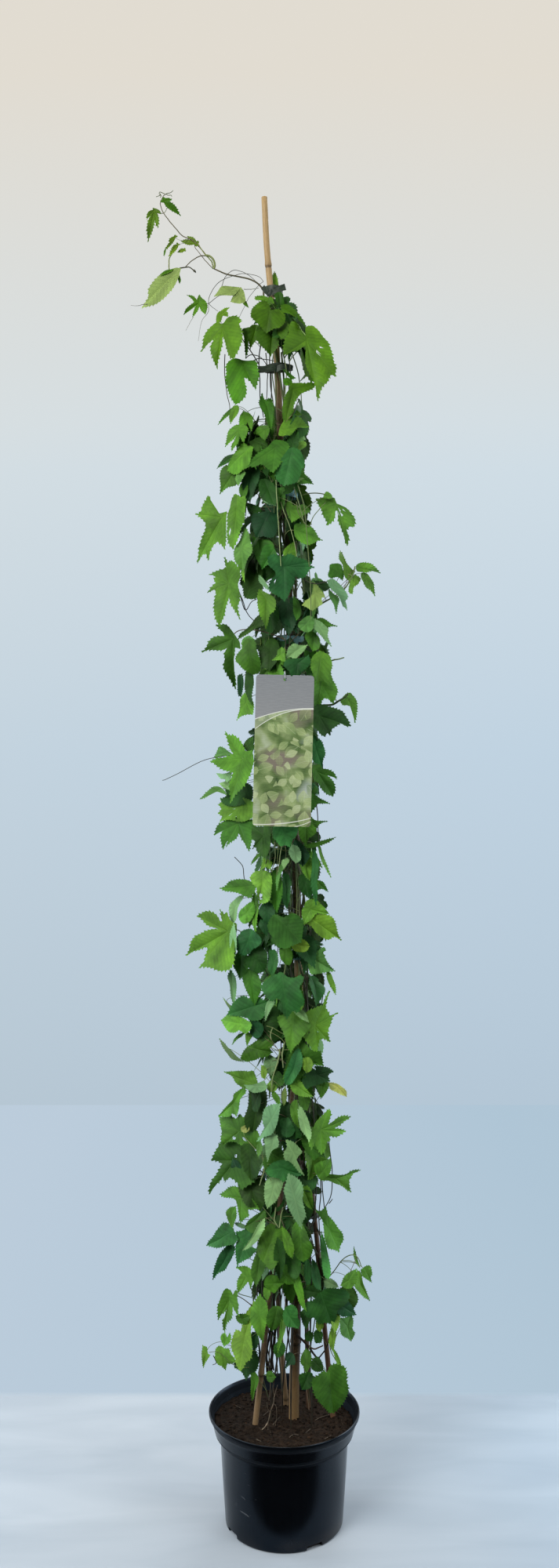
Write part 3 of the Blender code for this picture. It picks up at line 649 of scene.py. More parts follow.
def leaf_into(batch, centre, across, along, normal, lobes, shade, rng, face=1, tone=1.0, fold=0.12, droop=0.0, cup=0.0,
              wave=0.10, twist=0.0, warm=0.0, thick=0.0004, dim=1.0, holes=(), outline=None, tooth=0.34):
    """Adds one leaf. Its flat outline lies in the directions across and along (which may lean), and it bends towards normal.
    lobes: (x, y of the tip in the flat, half width), the main one first. face -1 turns the pale side to the normal."""
    centre, across, along, normal = (np.asarray(v, dtype=float) for v in (centre, across, along, normal))
    if outline is not None:
        reach = max(math.hypot(x, y) for x, y in outline)
        pitch = clamp(0.058 * reach + 0.0024, 0.0028, 0.0070)
        outline, teeth, tips = drawn_outline(outline, pitch, pitch * tooth)
        tips.sort(key=lambda tip: -math.hypot(*tip))
        lobes = [(x, y, 0.3 * math.hypot(x, y)) for x, y in tips]
    main = np.array(lobes[0][:2], dtype=float)
    main_length = np.hypot(*main)
    main_dir = main / main_length
    table = [(math.atan2(y, x), math.hypot(x, y), min(w, 0.62 * math.hypot(x, y)), False) for x, y, w in lobes]
    main_angle = table[0][0]
    # the rounded shoulders each side of the stalk
    drawn = outline is not None
    span = max(t[2] for t in table)
    back = span * (0.95 if len(lobes) < 3 else 0.62)
    taken = [t[0] for t in table]
    for sign in (1, -1):
        a = main_angle + sign * math.radians(122 + rng.uniform(-8, 8))
        if not drawn and min(abs((a - b + math.pi) % (2 * math.pi) - math.pi) for b in taken) > 0.5:
            table.append((a, back, back * 0.46, True))
    longest = max(t[1] for t in table)
    if not drawn:
        pitch = clamp(0.058 * longest + 0.0024, 0.0032, 0.0074)
        outline, teeth = leaf_outline(table, pitch, pitch * 0.34, rng.uniform(0.50, 0.68))
    factors = (0.87, 0.70, 0.52, 0.34, 0.16) if longest > 0.05 else (0.84, 0.60, 0.34, 0.14)
    valleys = outline[::3]
    flat = [outline] + [valleys * f for f in factors] + [np.zeros((1, 2))]
    starts = np.cumsum([0] + [len(f) for f in flat])
    flat = np.concatenate(flat)
    j = np.arange(teeth)
    k = (j + 1) % teeth
    o, i0 = starts[0], starts[1]
    o0, o1, o2, o3 = o + 3 * j, o + 3 * j + 1, o + 3 * j + 2, o + 3 * k
    tris = [np.stack(t, 1) for t in ((i0 + j, o0, o1), (i0 + j, o1, o2), (i0 + j, o2, i0 + k), (i0 + k, o2, o3))]
    for level in range(len(factors) - 1):
        a, b = starts[1 + level], starts[2 + level]
        tris += [np.stack((b + j, a + j, a + k), 1), np.stack((b + j, a + k, b + k), 1)]
    last, middle = starts[len(factors)], starts[len(factors) + 1]
    tris.append(np.stack((np.full(teeth, middle), last + j, last + k), 1))
    tris = np.concatenate(tris)
    for hx, hy, hr in holes:
        mid = flat[tris].mean(1)
        tris = tris[np.hypot(mid[:, 0] - hx, mid[:, 1] - hy) > hr]

    # relief: a crease down each lobe, a fold at the midrib, a droop towards the tip and a wavy edge
    r = np.hypot(flat[:, 0], flat[:, 1])
    theta = np.arctan2(flat[:, 1], flat[:, 0])
    to_vein = r.copy()
    for angle, length, half, kind in table:
        if kind:
            continue
        d = np.array((math.cos(angle), math.sin(angle)))
        forward = flat @ d
        side = np.abs(flat[:, 0] * d[1] - flat[:, 1] * d[0])
        to_vein = np.minimum(to_vein, np.where(forward > 0, side, r))
    forward = flat @ main_dir
    sideways = flat[:, 0] * main_dir[1] - flat[:, 1] * main_dir[0]
    share = r / longest
    height = 0.05 * longest * (1 - np.exp(-to_vein / (0.10 * longest)))
    height = height + fold * np.abs(sideways) - droop * longest * np.sign(forward) * (forward / longest) ** 2
    height = height - cup * longest * share**2
    phase = rng.uniform(0, 6.28)
    ripples = rng.choice((3, 4, 5))
    height = height + wave * 0.5 * longest * share**2 * np.sin(ripples * theta + phase)
    height = height + wave * 0.22 * longest * share**3 * np.sin((ripples * 2 + 3) * theta + phase * 2.3)
    height = height + twist * sideways * forward / longest
    top = centre + flat[:, :1] * across + flat[:, 1:] * along + height[:, None] * normal
    upright = np.dot(np.cross(across, along), normal) > 0
    rim = starts[1]
    under = top[rim:] - normal * thick
    points = np.concatenate((top, under))
    low = tris.copy()
    low[low >= rim] += len(top) - rim
    if upright:
        low = low[:, ::-1]
    else:
        tris, low = tris[:, ::-1], low

    # coordinates along and across the nearest lobe, corner by corner
    def leaf_coords(t):
        corner = flat[np.where(t >= len(top), t - len(top) + rim, t)]
        mid = corner.mean(1)
        best = np.full(len(t), -9.0)
        uv = np.zeros((len(t), 3, 2))
        size = np.hypot(mid[:, 0], mid[:, 1]) + 1e-9
        for angle, length, half, kind in table:
            d = np.array((math.cos(angle), math.sin(angle)))
            near = (mid @ d) / size
            better = near > best
            best = np.where(better, near, best)
            u = corner @ d
            v = corner[..., 0] * d[1] - corner[..., 1] * d[0]
            uv[better] = np.stack((u, v), -1)[better] * 10.0
        return uv

    rgb = np.array(SHADES[shade]) * dim * tone * (np.array((0.88, 1.32, 0.92)) if shade not in ("yellow", "under") else 1.0)
    below = np.array(UNDER_OF.get(shade, UNDER_TINT)) * (0.5 + 0.5 * dim)
    shift = rng.uniform(-1, 1)
    rgb = rgb * np.array((1 + 0.14 * shift + warm, 1 + 0.06 * shift, 1 - 0.10 * shift)) * rng.uniform(0.86, 1.12)
    # a little darker low down, lighter round 1.12 m, and warmer and lighter at the very top
    rgb = rgb * mix(0.88, 1.03, smoothstep(1.7, 2.25, centre[2])) * (1 + 0.24 * math.exp(-(((centre[2] - 1.12) / 0.17) ** 2)))
    rgb = rgb * (mix(1.0, 1.22, smoothstep(2.10, 2.20, centre[2])), mix(1.0, 1.05, smoothstep(2.10, 2.20, centre[2])), 1.0)
    if shade != "young":
        # painted light and shade: the leaves over the second tie are dimmed to a deep even green, light ones darker and
        # dark ones lighter, and the lower ones get a painted blue of sky light
        crown_shade_share = smoothstep(1.98, 2.10, centre[2])
        rgb = rgb * mix(1.0, 0.72 if shade in ("light", "lime") else 1.10 if shade in ("dark", "bluedark") else 0.90, crown_shade_share)
        rgb = rgb * (1.0, 1.0, mix(1.0, 0.55, crown_shade_share)) + (0.0, 0.0, mix(0.005, 0.0, crown_shade_share))
    below = below * rng.uniform(0.90, 1.08)
    if face > 0:
        upper_mat, lower_mat, upper_rgb, lower_rgb = 0, 1, rgb, below
    else:
        upper_mat, lower_mat, upper_rgb, lower_rgb = 1, 0, below if shade not in ("under", "young", "pale") else rgb, rgb if shade not in (
            "under", "young", "pale") else np.array(SHADES["mid"])
    # the blade's margin is a touch lighter than its middle, and painted shade makes the lobes lighter and darker by
    # turns round the leaf, as if folded
    def with_lobe_shade(t, colour):
        c = flat[np.where(t >= len(top), t - len(top) + rim, t)]
        s = np.hypot(c[..., 0], c[..., 1]) / longest
        turn = np.arctan2(c[..., 1], c[..., 0])
        fold_shade_swing = np.sin((ripples + 1) * turn + phase * 1.7) + 0.6 * np.sin((2 * ripples + 1) * turn + phase * 3.1)
        return colour * ((0.86 + 0.26 * s) * (1 + 0.13 * fold_shade_swing * np.minimum(1, 2.5 * s)))[..., None]

    batch.add(points, np.concatenate((tris, low)), np.concatenate((leaf_coords(tris), leaf_coords(low))),
              np.concatenate((with_lobe_shade(tris, upper_rgb), with_lobe_shade(low, lower_rgb))),
              np.concatenate((np.full(len(tris), upper_mat), np.full(len(low), lower_mat))))
    return main_length


# ---------------------------------------------------------------- shoots: which piece a leaf belongs to
batches = {}


def shoot_for(p):
    """The side shoot whose sector and height hold the place p."""
    z = p[2]
    turn = math.degrees(math.atan2(p[1], p[0] - cane_x(z)))
    side = min(SIDES, key=lambda s: abs((turn - SIDES[s] + 180) % 360 - 180))
    rows = SIDE_SHOOTS[side]
    best = min(range(len(rows)), key=lambda i: abs(z - mix(rows[i][0], rows[i][1], 0.5)))
    return f"side_shoot_{side}_{best + 1}"


def batch_for(p):
    name = shoot_for(p)
    if name not in batches:
        batches[name] = Batch()
    return batches[name]


# ---------------------------------------------------------------- bines
def bine_line(name):
    bearing, distance, top_z, radius, phase = BINES[name]
    foot_x = cane_x(0.19) + distance * math.cos(math.radians(bearing))
    foot_y = distance * math.sin(math.radians(bearing))
    count = 6 + int((top_z - BINE_JOINS_Z) / BINE_PITCH * 8)
    zs = [0.168, 0.200] + [mix(0.235, top_z, i / (count - 1)) for i in range(count)]
    points = []
    for z in zs:
        twist = math.radians(phase) - 2 * math.pi * (z - 2.262) / BINE_PITCH
        out = mix(TWIST_R_LOW, TWIST_R_HIGH, clamp((z - BINE_JOINS_Z) / (2.262 - BINE_JOINS_Z)) ** 1.3)
        on_cane = Vector((cane_x(z) + out * math.cos(twist), out * math.sin(twist), z))
        s = clamp((z - 0.200) / (BINE_JOINS_Z - 0.200))
        s = s * s * (3 - 2 * s)
        join = math.radians(phase) - 2 * math.pi * (BINE_JOINS_Z - 2.262) / BINE_PITCH
        on_join = Vector((cane_x(z) + TWIST_R_LOW * math.cos(join), TWIST_R_LOW * math.sin(join), z))
        target = on_cane if z >= BINE_JOINS_Z else on_join
        points.append(tuple(Vector((foot_x, foot_y, z)).lerp(target, s)))
    return np.array(points), [mix(radius, radius * 0.6, clamp((z - 0.2) / 2.0)) for z in zs]


skeleton = []  # places that a leaf stalk may spring from

for name in BINES:
    line, radii = bine_line(name)
    fine = spline(line, 5 * len(line))
    r = np.interp(np.linspace(0, 1, len(fine)), np.linspace(0, 1, len(line)), radii)
    # ribbed and a little knobbly, swollen where side shoots spring
    knob = 1.0 + 0.05 * np.sin(np.arange(len(fine)) * 1.7) + 0.35 * np.exp(-((np.arange(len(fine)) % 22 - 11) / 0.8) ** 2)
    height = fine[:, 2]
    tints = [np.array((0.024, 0.020, 0.013)) * (1 - t) + np.array((0.085, 0.120, 0.040)) * t
             for t in np.clip((height - 0.25) / 1.5, 0, 1)]
    b = Batch()
    tube_into(b, fine, r * knob * np.interp(height, (0.26, 0.55), (0.50, 1.0)), 12, (1, 1, 1), 0, tint_of=tints)
    place_piece(b.make(name, (STEM,)), name)
    skeleton += [p for p in fine if p[2] > 0.30]

# ---------------------------------------------------------------- canes
BAMBOO = bamboo_material("Bamboo", (0.50, 0.345, 0.165), (0.38, 0.245, 0.10), (0.032, 0.017, 0.010), 0.06, 0.90)
BAMBOO_RED = bamboo_material("Weathered bamboo", (0.40, 0.235, 0.135), (0.30, 0.160, 0.085), (0.038, 0.019, 0.013), 0.20, 0.60)
BAMBOO_OLIVE = bamboo_material("Greenish bamboo", (0.62, 0.45, 0.240), (0.44, 0.30, 0.150), (0.040, 0.022, 0.014), 0.16, 0.75, 0.275)


def cane(name, centre_at, low, high, r_low, r_high, knots, mat, sides=24, ends_hollow=True):
    """A bamboo cane with a raised ring and a groove at each joint."""
    zs = set(np.linspace(low, high, int((high - low) / 0.022) + 2).round(5))
    for k in knots:
        zs |= {round(k + d, 5) for d in (-0.0140, -0.0080, -0.0045, -0.0025, -0.0012, 0.0, 0.0015, 0.0030, 0.0060, 0.0110)}
    zs = np.array(sorted(z for z in zs if low <= z <= high))
    points = np.array([centre_at(z) for z in zs])
    radii = mix(r_low, r_high, (zs - low) / (high - low))
    tint = np.ones((len(zs), 3))
    for n, k in enumerate(knots):
        d = zs - k
        radii = radii * (1 + 0.11 * np.exp(-(d / 0.0035) ** 2) + 0.05 * np.exp(-(d / 0.010) ** 2)
                         - 0.10 * np.exp(-((d + 0.0045) / 0.0016) ** 2))
        dark = 0.55 * np.exp(-((d + 0.0045) / 0.0022) ** 2) + 0.22 * np.exp(-(d / 0.009) ** 2)
        tint *= 1 - dark[:, None]
        points[:, 0] += 0.0006 * (-1) ** n * np.exp(-(d / 0.03) ** 2)
    if ends_hollow:
        # sawn end with the cane's hollow, painted darker inside as shade
        top, before = points[-1], points[-2]
        up = (top - before) / np.linalg.norm(top - before)
        extra = [top - up * 0.0002, top + up * 0.0, top - up * 0.010]
        points = np.concatenate((points, [top + up * 0.0003, top + up * 0.0003, top - up * 0.010]))
        radii = np.concatenate((radii, [radii[-1] * 0.94, radii[-1] * 0.60, radii[-1] * 0.52]))
        tint = np.concatenate((tint, [(0.8,) * 3, (0.45,) * 3, (0.12,) * 3]))
    b = Batch()
    tube_into(b, points[:-2] if ends_hollow else points, radii[:-2] if ends_hollow else radii, sides, (1, 1, 1), 0,
              tint_of=tint[:-2] if ends_hollow else tint, caps=True)
    if ends_hollow:
        # the tube's top cap is pushed down to a cup, its middle painted dark as shade
        cap = b.points[0][-1]
        b.points[0][-1] = cap - up * 0.004
        t = b.tints[0] if b.tints[0].flags.writeable else b.tints[0].copy()
        t[-sides:, 0, :] = 0.18
        b.tints[0] = t
    obj = b.make(name, (mat,), 50.0)
    return place_piece(obj, name)


def main_line(z):
    x = cane_x(z) if z > 0.24 else mix(cane_x(0.0), cane_x(0.24), z / 0.24)
    return np.array((x, 0.0, z))


cane("main_cane", main_line, 0.012, 2.461, 0.0098, 0.0055, MAIN_CANE_KNOTS, BAMBOO, 28)
for name, (at_soil, top, foot_r, top_r, foot_z) in THIN_CANES.items():
    at_soil, top = np.array(at_soil), np.array(top)
    slope = (top - at_soil) / (top[2] - at_soil[2])
    foot = at_soil + slope * (foot_z - at_soil[2])
    cane(name, lambda z, f=foot, s=slope: f + s * (z - f[2]), foot_z, top[2], foot_r, top_r,
         [mix(foot_z, top[2], k) for k in THIN_CANE_KNOTS], BAMBOO_OLIVE if name in ("cane_front_left", "cane_back") else BAMBOO_RED,
         18)

# ---------------------------------------------------------------- pot
def pot_material():
    m = Nodes("Pot plastic")
    place = m.coords()
    x, y, z = m.split(place)
    cloud = m.noise(place, 14.0, 3.0, 0.5)
    fine = m.noise(place, 900.0, 2.0, 0.5)
    streak = m.noise(m.scaled(place, (70.0, 70.0, 9.0)), 1.0, 3.0, 0.6)
    scuff = m.noise(m.scaled(place, (55.0, 55.0, 190.0)), 1.0, 2.0, 0.5, 1.2)
    scuff_mask = m.math("MULTIPLY", m.range(scuff, 0.70, 0.78), m.range(m.noise(place, 22.0, 2.0), 0.54, 0.64))
    scuff_mask = m.math("MULTIPLY", scuff_mask, m.range(x, -0.02, -0.05))
    for x0, z0, angle, length, width, amount in ((-0.0710, 0.0595, -12.0, 0.0098, 0.0016, 1.0), (-0.0738, 0.0881, -25.0, 0.0050, 0.0011, 0.7)):
        c, s = math.cos(math.radians(angle)), math.sin(math.radians(angle))
        dx, dz = m.math("SUBTRACT", x, x0), m.math("SUBTRACT", z, z0)
        run = m.math("ADD", m.math("MULTIPLY", dx, c), m.math("MULTIPLY", dz, s))
        # the mark bows a little, and its edges are ragged
        off = m.math("SUBTRACT", m.math("MULTIPLY", dz, c), m.math("MULTIPLY", dx, s))
        off = m.math("ADD", off, m.math("MULTIPLY", m.math("MULTIPLY", run, run), 14.0))
        off = m.math("ADD", off, m.math("MULTIPLY", m.math("SUBTRACT", fine, 0.5), 0.0012))
        mark = m.math("MULTIPLY", m.range(m.math("ABSOLUTE", run), length * 0.5, length, amount, 0.0),
                      m.range(m.math("ABSOLUTE", off), width * 0.3, width, 1.0, 0.0))
        scuff_mask = m.math("MAXIMUM", scuff_mask, m.math("MULTIPLY", mark, m.range(y, -0.02, -0.01, 1.0, 0.0)))
    dust = m.math("MULTIPLY", m.range(z, 0.0, 0.03, 1.0, 0.0), m.range(cloud, 0.4, 0.7))
    colour = m.mix(m.range(cloud, 0.35, 0.65), (0.0016, 0.0019, 0.0026), (0.0028, 0.0034, 0.0046))
    colour = m.mix(m.math("MULTIPLY", scuff_mask, 0.8), colour, (0.10, 0.11, 0.12))
    colour = m.mix(m.math("MULTIPLY", dust, 0.25), colour, (0.12, 0.10, 0.08))
    rough = m.math("ADD", m.range(streak, 0.3, 0.7, 0.18, 0.28), m.math("MULTIPLY", scuff_mask, 0.25))
    # duller where the wall turns under the lip and under the band
    ledge = m.math("MULTIPLY", m.range(z, 0.154, 0.159), m.range(z, 0.167, 0.172, 1.0, 0.0))
    neck = m.math("MULTIPLY", m.range(z, 0.190, 0.194), m.range(z, 0.200, 0.203, 1.0, 0.0))
    rough = m.math("ADD", rough, m.math("MULTIPLY", m.math("MAXIMUM", ledge, neck), 0.40))
    # the inside of the wall is matt
    out = m.math("SQRT", m.math("ADD", m.math("MULTIPLY", x, x), m.math("MULTIPLY", y, y)))
    wall = m.math("SUBTRACT", out, m.math("ADD", m.math("MULTIPLY", z, 0.25), 0.0866))
    inside = m.math("MULTIPLY", m.range(wall, -0.0012, -0.0004, 1.0, 0.0), m.range(z, 0.1735, 0.1745))
    rough = m.math("ADD", rough, m.math("MULTIPLY", inside, 0.45))
    m.bump(m.math("ADD", fine, m.math("MULTIPLY", streak, 0.8)), 0.10, 0.0006)
    m.bsdf.inputs["Specular Tint"].default_value = (0.70, 1.0, 1.38, 1.0)
    return m.finish(colour, rough, 0.23)


def pot_piece():
    profile = [
        (0.0, POT_FLOOR), (0.060, POT_FLOOR), (0.1030, POT_FLOOR), (0.1052, 0.0036), (0.1064, 0.0052), (0.1072, 0.012),
        (0.1165, 0.1616), (0.1171, 0.1634), (0.1188, 0.1645), (0.1232, 0.1656), (0.1250, 0.1668), (0.1256, 0.1692),
        (0.1308, 0.1930), (0.1320, 0.1956), (0.1362, 0.2006), (0.1368, 0.2036), (0.1376, 0.2048), (0.1386, 0.2050),
        (0.1395, 0.2048), (0.1400, 0.2038), (0.1401, 0.2020), (0.1399, 0.2002), (0.1393, 0.1984), (0.1380, 0.1962),
        (0.1364, 0.1936), (0.1349, 0.1905), (0.1338, 0.1870), (0.1290, 0.1690), (0.1284, 0.1668), (0.1276, 0.1655), (0.1262, 0.1644),
        (0.1210, 0.1612), (0.1199, 0.1605), (0.1192, 0.1594), (0.1187, 0.1575), (0.1150, 0.0900), (0.1098, 0.0120), (0.1094, 0.0050), (0.1090, 0.0024), (0.1080, 0.0008),
        (0.1062, 0.0), (0.1010, 0.0), (0.0990, 0.0008), (0.0960, 0.0012), (0.0, 0.0012),
    ]
    steps = 168
    verts, faces = [], []
    ring_of = []
    for r, z in profile:
        if r == 0.0:
            ring_of.append([len(verts)])
            verts.append((0.0, 0.0, z))
        else:
            ring_of.append(list(range(len(verts), len(verts) + steps)))
            for k in range(steps):
                a = 2 * math.pi * k / steps
                # the rim isn't perfectly round once the pot is filled
                bow = 1 + 0.0022 * math.cos(2 * a + 0.7) * smoothstep(0.10, 0.2, z)
                verts.append((r * math.cos(a) * bow, r * math.sin(a) * bow, z))
    for a, b in zip(ring_of, ring_of[1:]):
        for k in range(steps):
            n = (k + 1) % steps
            if len(a) == 1:
                faces.append((a[0], b[n], b[k]))
            elif len(b) == 1:
                faces.append((a[k], a[n], b[0]))
            else:
                faces.append((a[k], a[n], b[n], b[k]))
    mesh = bpy.data.meshes.new("pot_body")
    mesh.from_pydata(verts, [], faces)
    bm = bmesh.new()
    bm.from_mesh(mesh)
    bmesh.ops.recalc_face_normals(bm, faces=bm.faces)
    bm.to_mesh(mesh)
    bm.free()
    pot = bpy.data.objects.new("pot_body", mesh)
    bpy.context.scene.collection.objects.link(pot)
    cutters = []
    for i, angle in enumerate(NOTCH_ANGLES):
        a = math.radians(angle)
        cm = bpy.data.meshes.new("notch")
        bm = bmesh.new()
        bmesh.ops.create_cube(bm, size=1.0)
        bmesh.ops.scale(bm, vec=(0.030, NOTCH_WIDTH, 2 * NOTCH_HEIGHT), verts=bm.verts)
        bmesh.ops.bevel(bm, geom=[e for e in bm.edges if abs(e.verts[0].co.x - e.verts[1].co.x) > 0.01], offset=0.003,
                        segments=4, affect="EDGES", profile=0.5)
        bm.to_mesh(cm)
        bm.free()
        c = bpy.data.objects.new("notch", cm)
        bpy.context.scene.collection.objects.link(c)
        c.location = ((POT_BASE_R - 0.0090 + 0.015) * math.cos(a), (POT_BASE_R - 0.0090 + 0.015) * math.sin(a), 0.0)
        c.rotation_euler = (0.0, 0.0, a)
        mod = pot.modifiers.new("notch", "BOOLEAN")
        mod.operation, mod.solver, mod.object = "DIFFERENCE", "EXACT", c
        cutters.append(c)
    dep = bpy.context.evaluated_depsgraph_get()
    done = bpy.data.meshes.new_from_object(pot.evaluated_get(dep))
    for c in cutters:
        bpy.data.objects.remove(c, do_unlink=True)
    bpy.data.objects.remove(pot, do_unlink=True)
    pot = bpy.data.objects.new("pot_body", done)
    bpy.context.scene.collection.objects.link(pot)
    done.materials.clear()
    done.materials.append(pot_material())
    done.shade_smooth()
    done.set_sharp_from_angle(angle=math.radians(38))
    place_piece(pot, "pot")


pot_piece()


# ---------------------------------------------------------------- soil
def soil_material():
    m = Nodes("Potting soil")
    place = m.coords()
    tint = m.tint()
    clods = m.noise(place, 120.0, 5.0, 0.65)
    grit = m.noise(place, 520.0, 3.0, 0.7)
    colour = m.mix(m.range(clods, 0.35, 0.68), (0.007, 0.0045, 0.003), (0.030, 0.018, 0.011))
    colour = m.mix(m.range(grit, 0.60, 0.75, 0.0, 0.6), colour, (0.060, 0.038, 0.024))
    colour = m.vmath("MULTIPLY", colour, tint)
    # darker towards the left of the pot
    x, y, z = m.split(place)
    colour = m.scale_colour(colour, m.range(m.math("ADD", x, m.math("MULTIPLY", clods, 0.04)), -0.085, 0.015, 0.60, 1.0))
    m.bump(m.math("ADD", clods, m.math("MULTIPLY", grit, 0.5)), 0.9, 0.003)
    return m.finish(colour, m.range(clods, 0.3, 0.7, 0.95, 0.80), 0.12)


def soil_height(x, y):
    r = math.hypot(x, y)
    z = SOIL_TOP_Z + 0.0012 + SOIL_TILT_X * x + SOIL_TILT_Y * y
    z += 0.0034 * noise.fractal(Vector((x * 34, y * 34, 1.7)), 1.0, 2.0, 3)
    z += 0.0016 * noise.fractal(Vector((x * 130, y * 130, 5.1)), 0.9, 2.0, 3)
    z -= 0.0030 * smoothstep(0.114, 0.130, r)
    # mounded a little where canes and stems go in
    for sx, sy in ((0.017, 0.0), (-0.054, -0.032), (0.091, 0.008), (0.003, 0.052), (0.046, 0.042), (-0.024, -0.020)):
        z += 0.0022 * math.exp(-(((x - sx) ** 2 + (y - sy) ** 2) / 0.017**2))
    return z


def inner_wall_r(z):
    return (mix(0.1066, 0.1165, (z - 0.0058) / 0.1564) if z < 0.1622
            else mix(0.1165, 0.1252, (z - 0.1622) / 0.0046) if z < 0.1668
            else mix(0.1252, 0.1312, (z - 0.1668) / 0.0277))


def soil_piece():
    rng = random.Random(7)
    rings, spokes = 56, 190
    radii = [0.1290 * (i / rings) ** 0.85 for i in range(1, rings + 1)]
    verts = [(0.0, 0.0, soil_height(0, 0))]
    for n, r in enumerate(radii):
        for k in range(spokes):
            a = 2 * math.pi * (k + 0.5 * (n % 2)) / spokes
            x, y = r * math.cos(a), r * math.sin(a)
            z = soil_height(x, y)
            if n == rings - 1:
                wall = inner_wall_r(z) - 0.0004
                x, y = wall * math.cos(a), wall * math.sin(a)
            verts.append((x, y, z))
    tris = [(0, 1 + k, 1 + (k + 1) % spokes) for k in range(spokes)]
    for n in range(rings - 1):
        a, b = 1 + n * spokes, 1 + (n + 1) * spokes
        for k in range(spokes):
            q = (k + 1) % spokes
            tris += [(a + k, b + k, b + q), (a + k, b + q, a + q)]
    base = 1 + (rings - 1) * spokes
    for z in (0.172, 0.1670, 0.1623, 0.0115, POT_FLOOR + 0.0004):
        start = len(verts)
        wall = (inner_wall_r(z) if z > 0.0058 else 0.1042) - 0.0004
        for k in range(spokes):
            a = 2 * math.pi * (k + 0.5 * ((rings - 1) % 2)) / spokes
            verts.append((wall * math.cos(a), wall * math.sin(a), z))
        for k in range(spokes):
            q = (k + 1) % spokes
            tris += [(base + k, start + k, start + q), (base + k, start + q, base + q)]
        base = start
    verts.append((0.0, 0.0, POT_FLOOR + 0.0004))
    tris += [(len(verts) - 1, base + (k + 1) % spokes, base + k) for k in range(spokes)]
    b = Batch()
    tris = np.array(tris)
    b.add(np.array(verts), tris, np.zeros((len(tris), 3, 2)), (1, 1, 1), 0)
    # crumbs and bits of bark
    ico = bmesh.new()
    bmesh.ops.create_icosphere(ico, subdivisions=1, radius=1.0)
    ico_v = np.array([v.co[:] for v in ico.verts])
    ico_f = np.array([[v.index for v in f.verts] for f in ico.faces])
    ico.free()
    for _ in range(1500):
        r, a = 0.1275 * math.sqrt(rng.random()), rng.uniform(0, 2 * math.pi)
        x, y = r * math.cos(a), r * math.sin(a)
        size = 0.0008 + 0.0026 * rng.random() ** 3
        wobble = np.array([1 + rng.uniform(-0.25, 0.25) for _ in ico_v])[:, None]
        turn = rng.uniform(0, 6.28)
        v = ico_v * wobble * (size, size * rng.uniform(0.5, 1.0), size * rng.uniform(0.4, 0.8))
        c, s = math.cos(turn), math.sin(turn)
        v = v @ np.array(((c, s, 0), (-s, c, 0), (0, 0, 1)))
        wood = rng.random() < 0.06
        tint = (2.6, 2.4, 2.2) if wood else (1.0, 1.0, 1.0) if rng.random() < 0.6 else (0.6, 0.6, 0.6)
        b.add(v + (x, y, soil_height(x, y) + size * 0.2), ico_f, np.zeros((len(ico_f), 3, 2)), tint, 0)
    # pale fibres and broken roots lying on the soil
    fibres = [((348, 1818), (353, 1812), (357, 1808)), ((402, 1812), (410, 1808), (420, 1805)), ((414, 1836), (422, 1832)),
              ((369, 1834), (375, 1830), (381, 1831)), ((336, 1806), (342, 1801)), ((300, 1793), (308, 1797)),
              ((390, 1828), (396, 1823)), ((326, 1836), (333, 1839)), ((431, 1797), (437, 1790))]
    for line in fibres:
        pts = []
        for px, py in line:
            p = at(px, py, -0.03)
            # where the line of sight meets the soil
            for _ in range(12):
                p = at(px, py, p[1] + (p[2] - soil_height(p[0], p[1])) * 2.0)
            pts.append((p[0], p[1], soil_height(p[0], p[1]) + 0.0008))
        tube_into(b, spline(pts, 8), [0.0007] * 8, 5, (6.2, 8.6, 11.0), 0)
    for _ in range(70):
        r, a = 0.117 * math.sqrt(rng.random()), rng.uniform(0, 2 * math.pi)
        x, y, turn, size = r * math.cos(a), r * math.sin(a), rng.uniform(0, 3.14), rng.uniform(0.004, 0.014)
        pts = []
        for t in (-0.5, -0.15, 0.2, 0.5):
            fx, fy = x + size * t * math.cos(turn) + rng.uniform(-1, 1) * 0.001, y + size * t * math.sin(turn) + rng.uniform(-1, 1) * 0.001
            if math.hypot(fx, fy) > 0.1265:
                break
            pts.append((fx, fy, soil_height(fx, fy) + 0.0006))
        if len(pts) == 4:
            tube_into(b, spline(pts, 6), [0.00035] * 6, 4, rng.choice(((3.2, 3.9, 4.4), (1.8, 2.0, 2.1), (4.4, 5.6, 6.6))), 0)
    place_piece(b.make("soil_bed", (soil_material(),), None), "soil")


soil_piece()

# ---------------------------------------------------------------- last year's dead stem
stub = spline([(-0.0410, -0.0490, 0.190), (-0.0345, -0.0480, 0.196), (-0.0290, -0.0475, 0.206), (-0.0255, -0.0480, 0.222),
               (-0.0200, -0.0488, 0.238), (-0.0180, -0.0494, 0.252), (-0.0125, -0.0500, 0.272)], 26)
b = Batch()
dead_r = np.interp(np.linspace(0, 1, 26), (0, 0.25, 0.5, 0.75, 1), (0.0006, 0.0010, 0.0008, 0.0008, 0.0005))
dead_r = dead_r * (1 + 0.10 * np.sin(np.arange(26) * 2.1) * np.cos(np.arange(26) * 0.7))
tube_into(b, stub, dead_r, 10, (1, 1, 1), 0, tint_of=[np.array((0.22, 0.18, 0.13)) * (0.75 + 0.25 * math.sin(i * 1.3)) * (1.6 if i < 7 else 0.9) for i in range(26)])
for frays in (((-0.0290, -0.0475, 0.206), (-0.0300, -0.0460, 0.190), (-0.0275, -0.0450, 0.180)),
              ((-0.0200, -0.0488, 0.238), (-0.0150, -0.0480, 0.232), (-0.0140, -0.0470, 0.214), (-0.0165, -0.0460, 0.196)),
              ((-0.0255, -0.0480, 0.222), (-0.0300, -0.0490, 0.228), (-0.0320, -0.0490, 0.240)),
              ((-0.0180, -0.0494, 0.252), (-0.0205, -0.0500, 0.262), (-0.0195, -0.0500, 0.274))):
    tube_into(b, spline([np.array(p) for p in frays], 9), np.linspace(0.00045, 0.0003, 9), 6, (0.13, 0.105, 0.075), 0)
place_piece(b.make("old_stem_wood", (STEM,)), "old_stem")

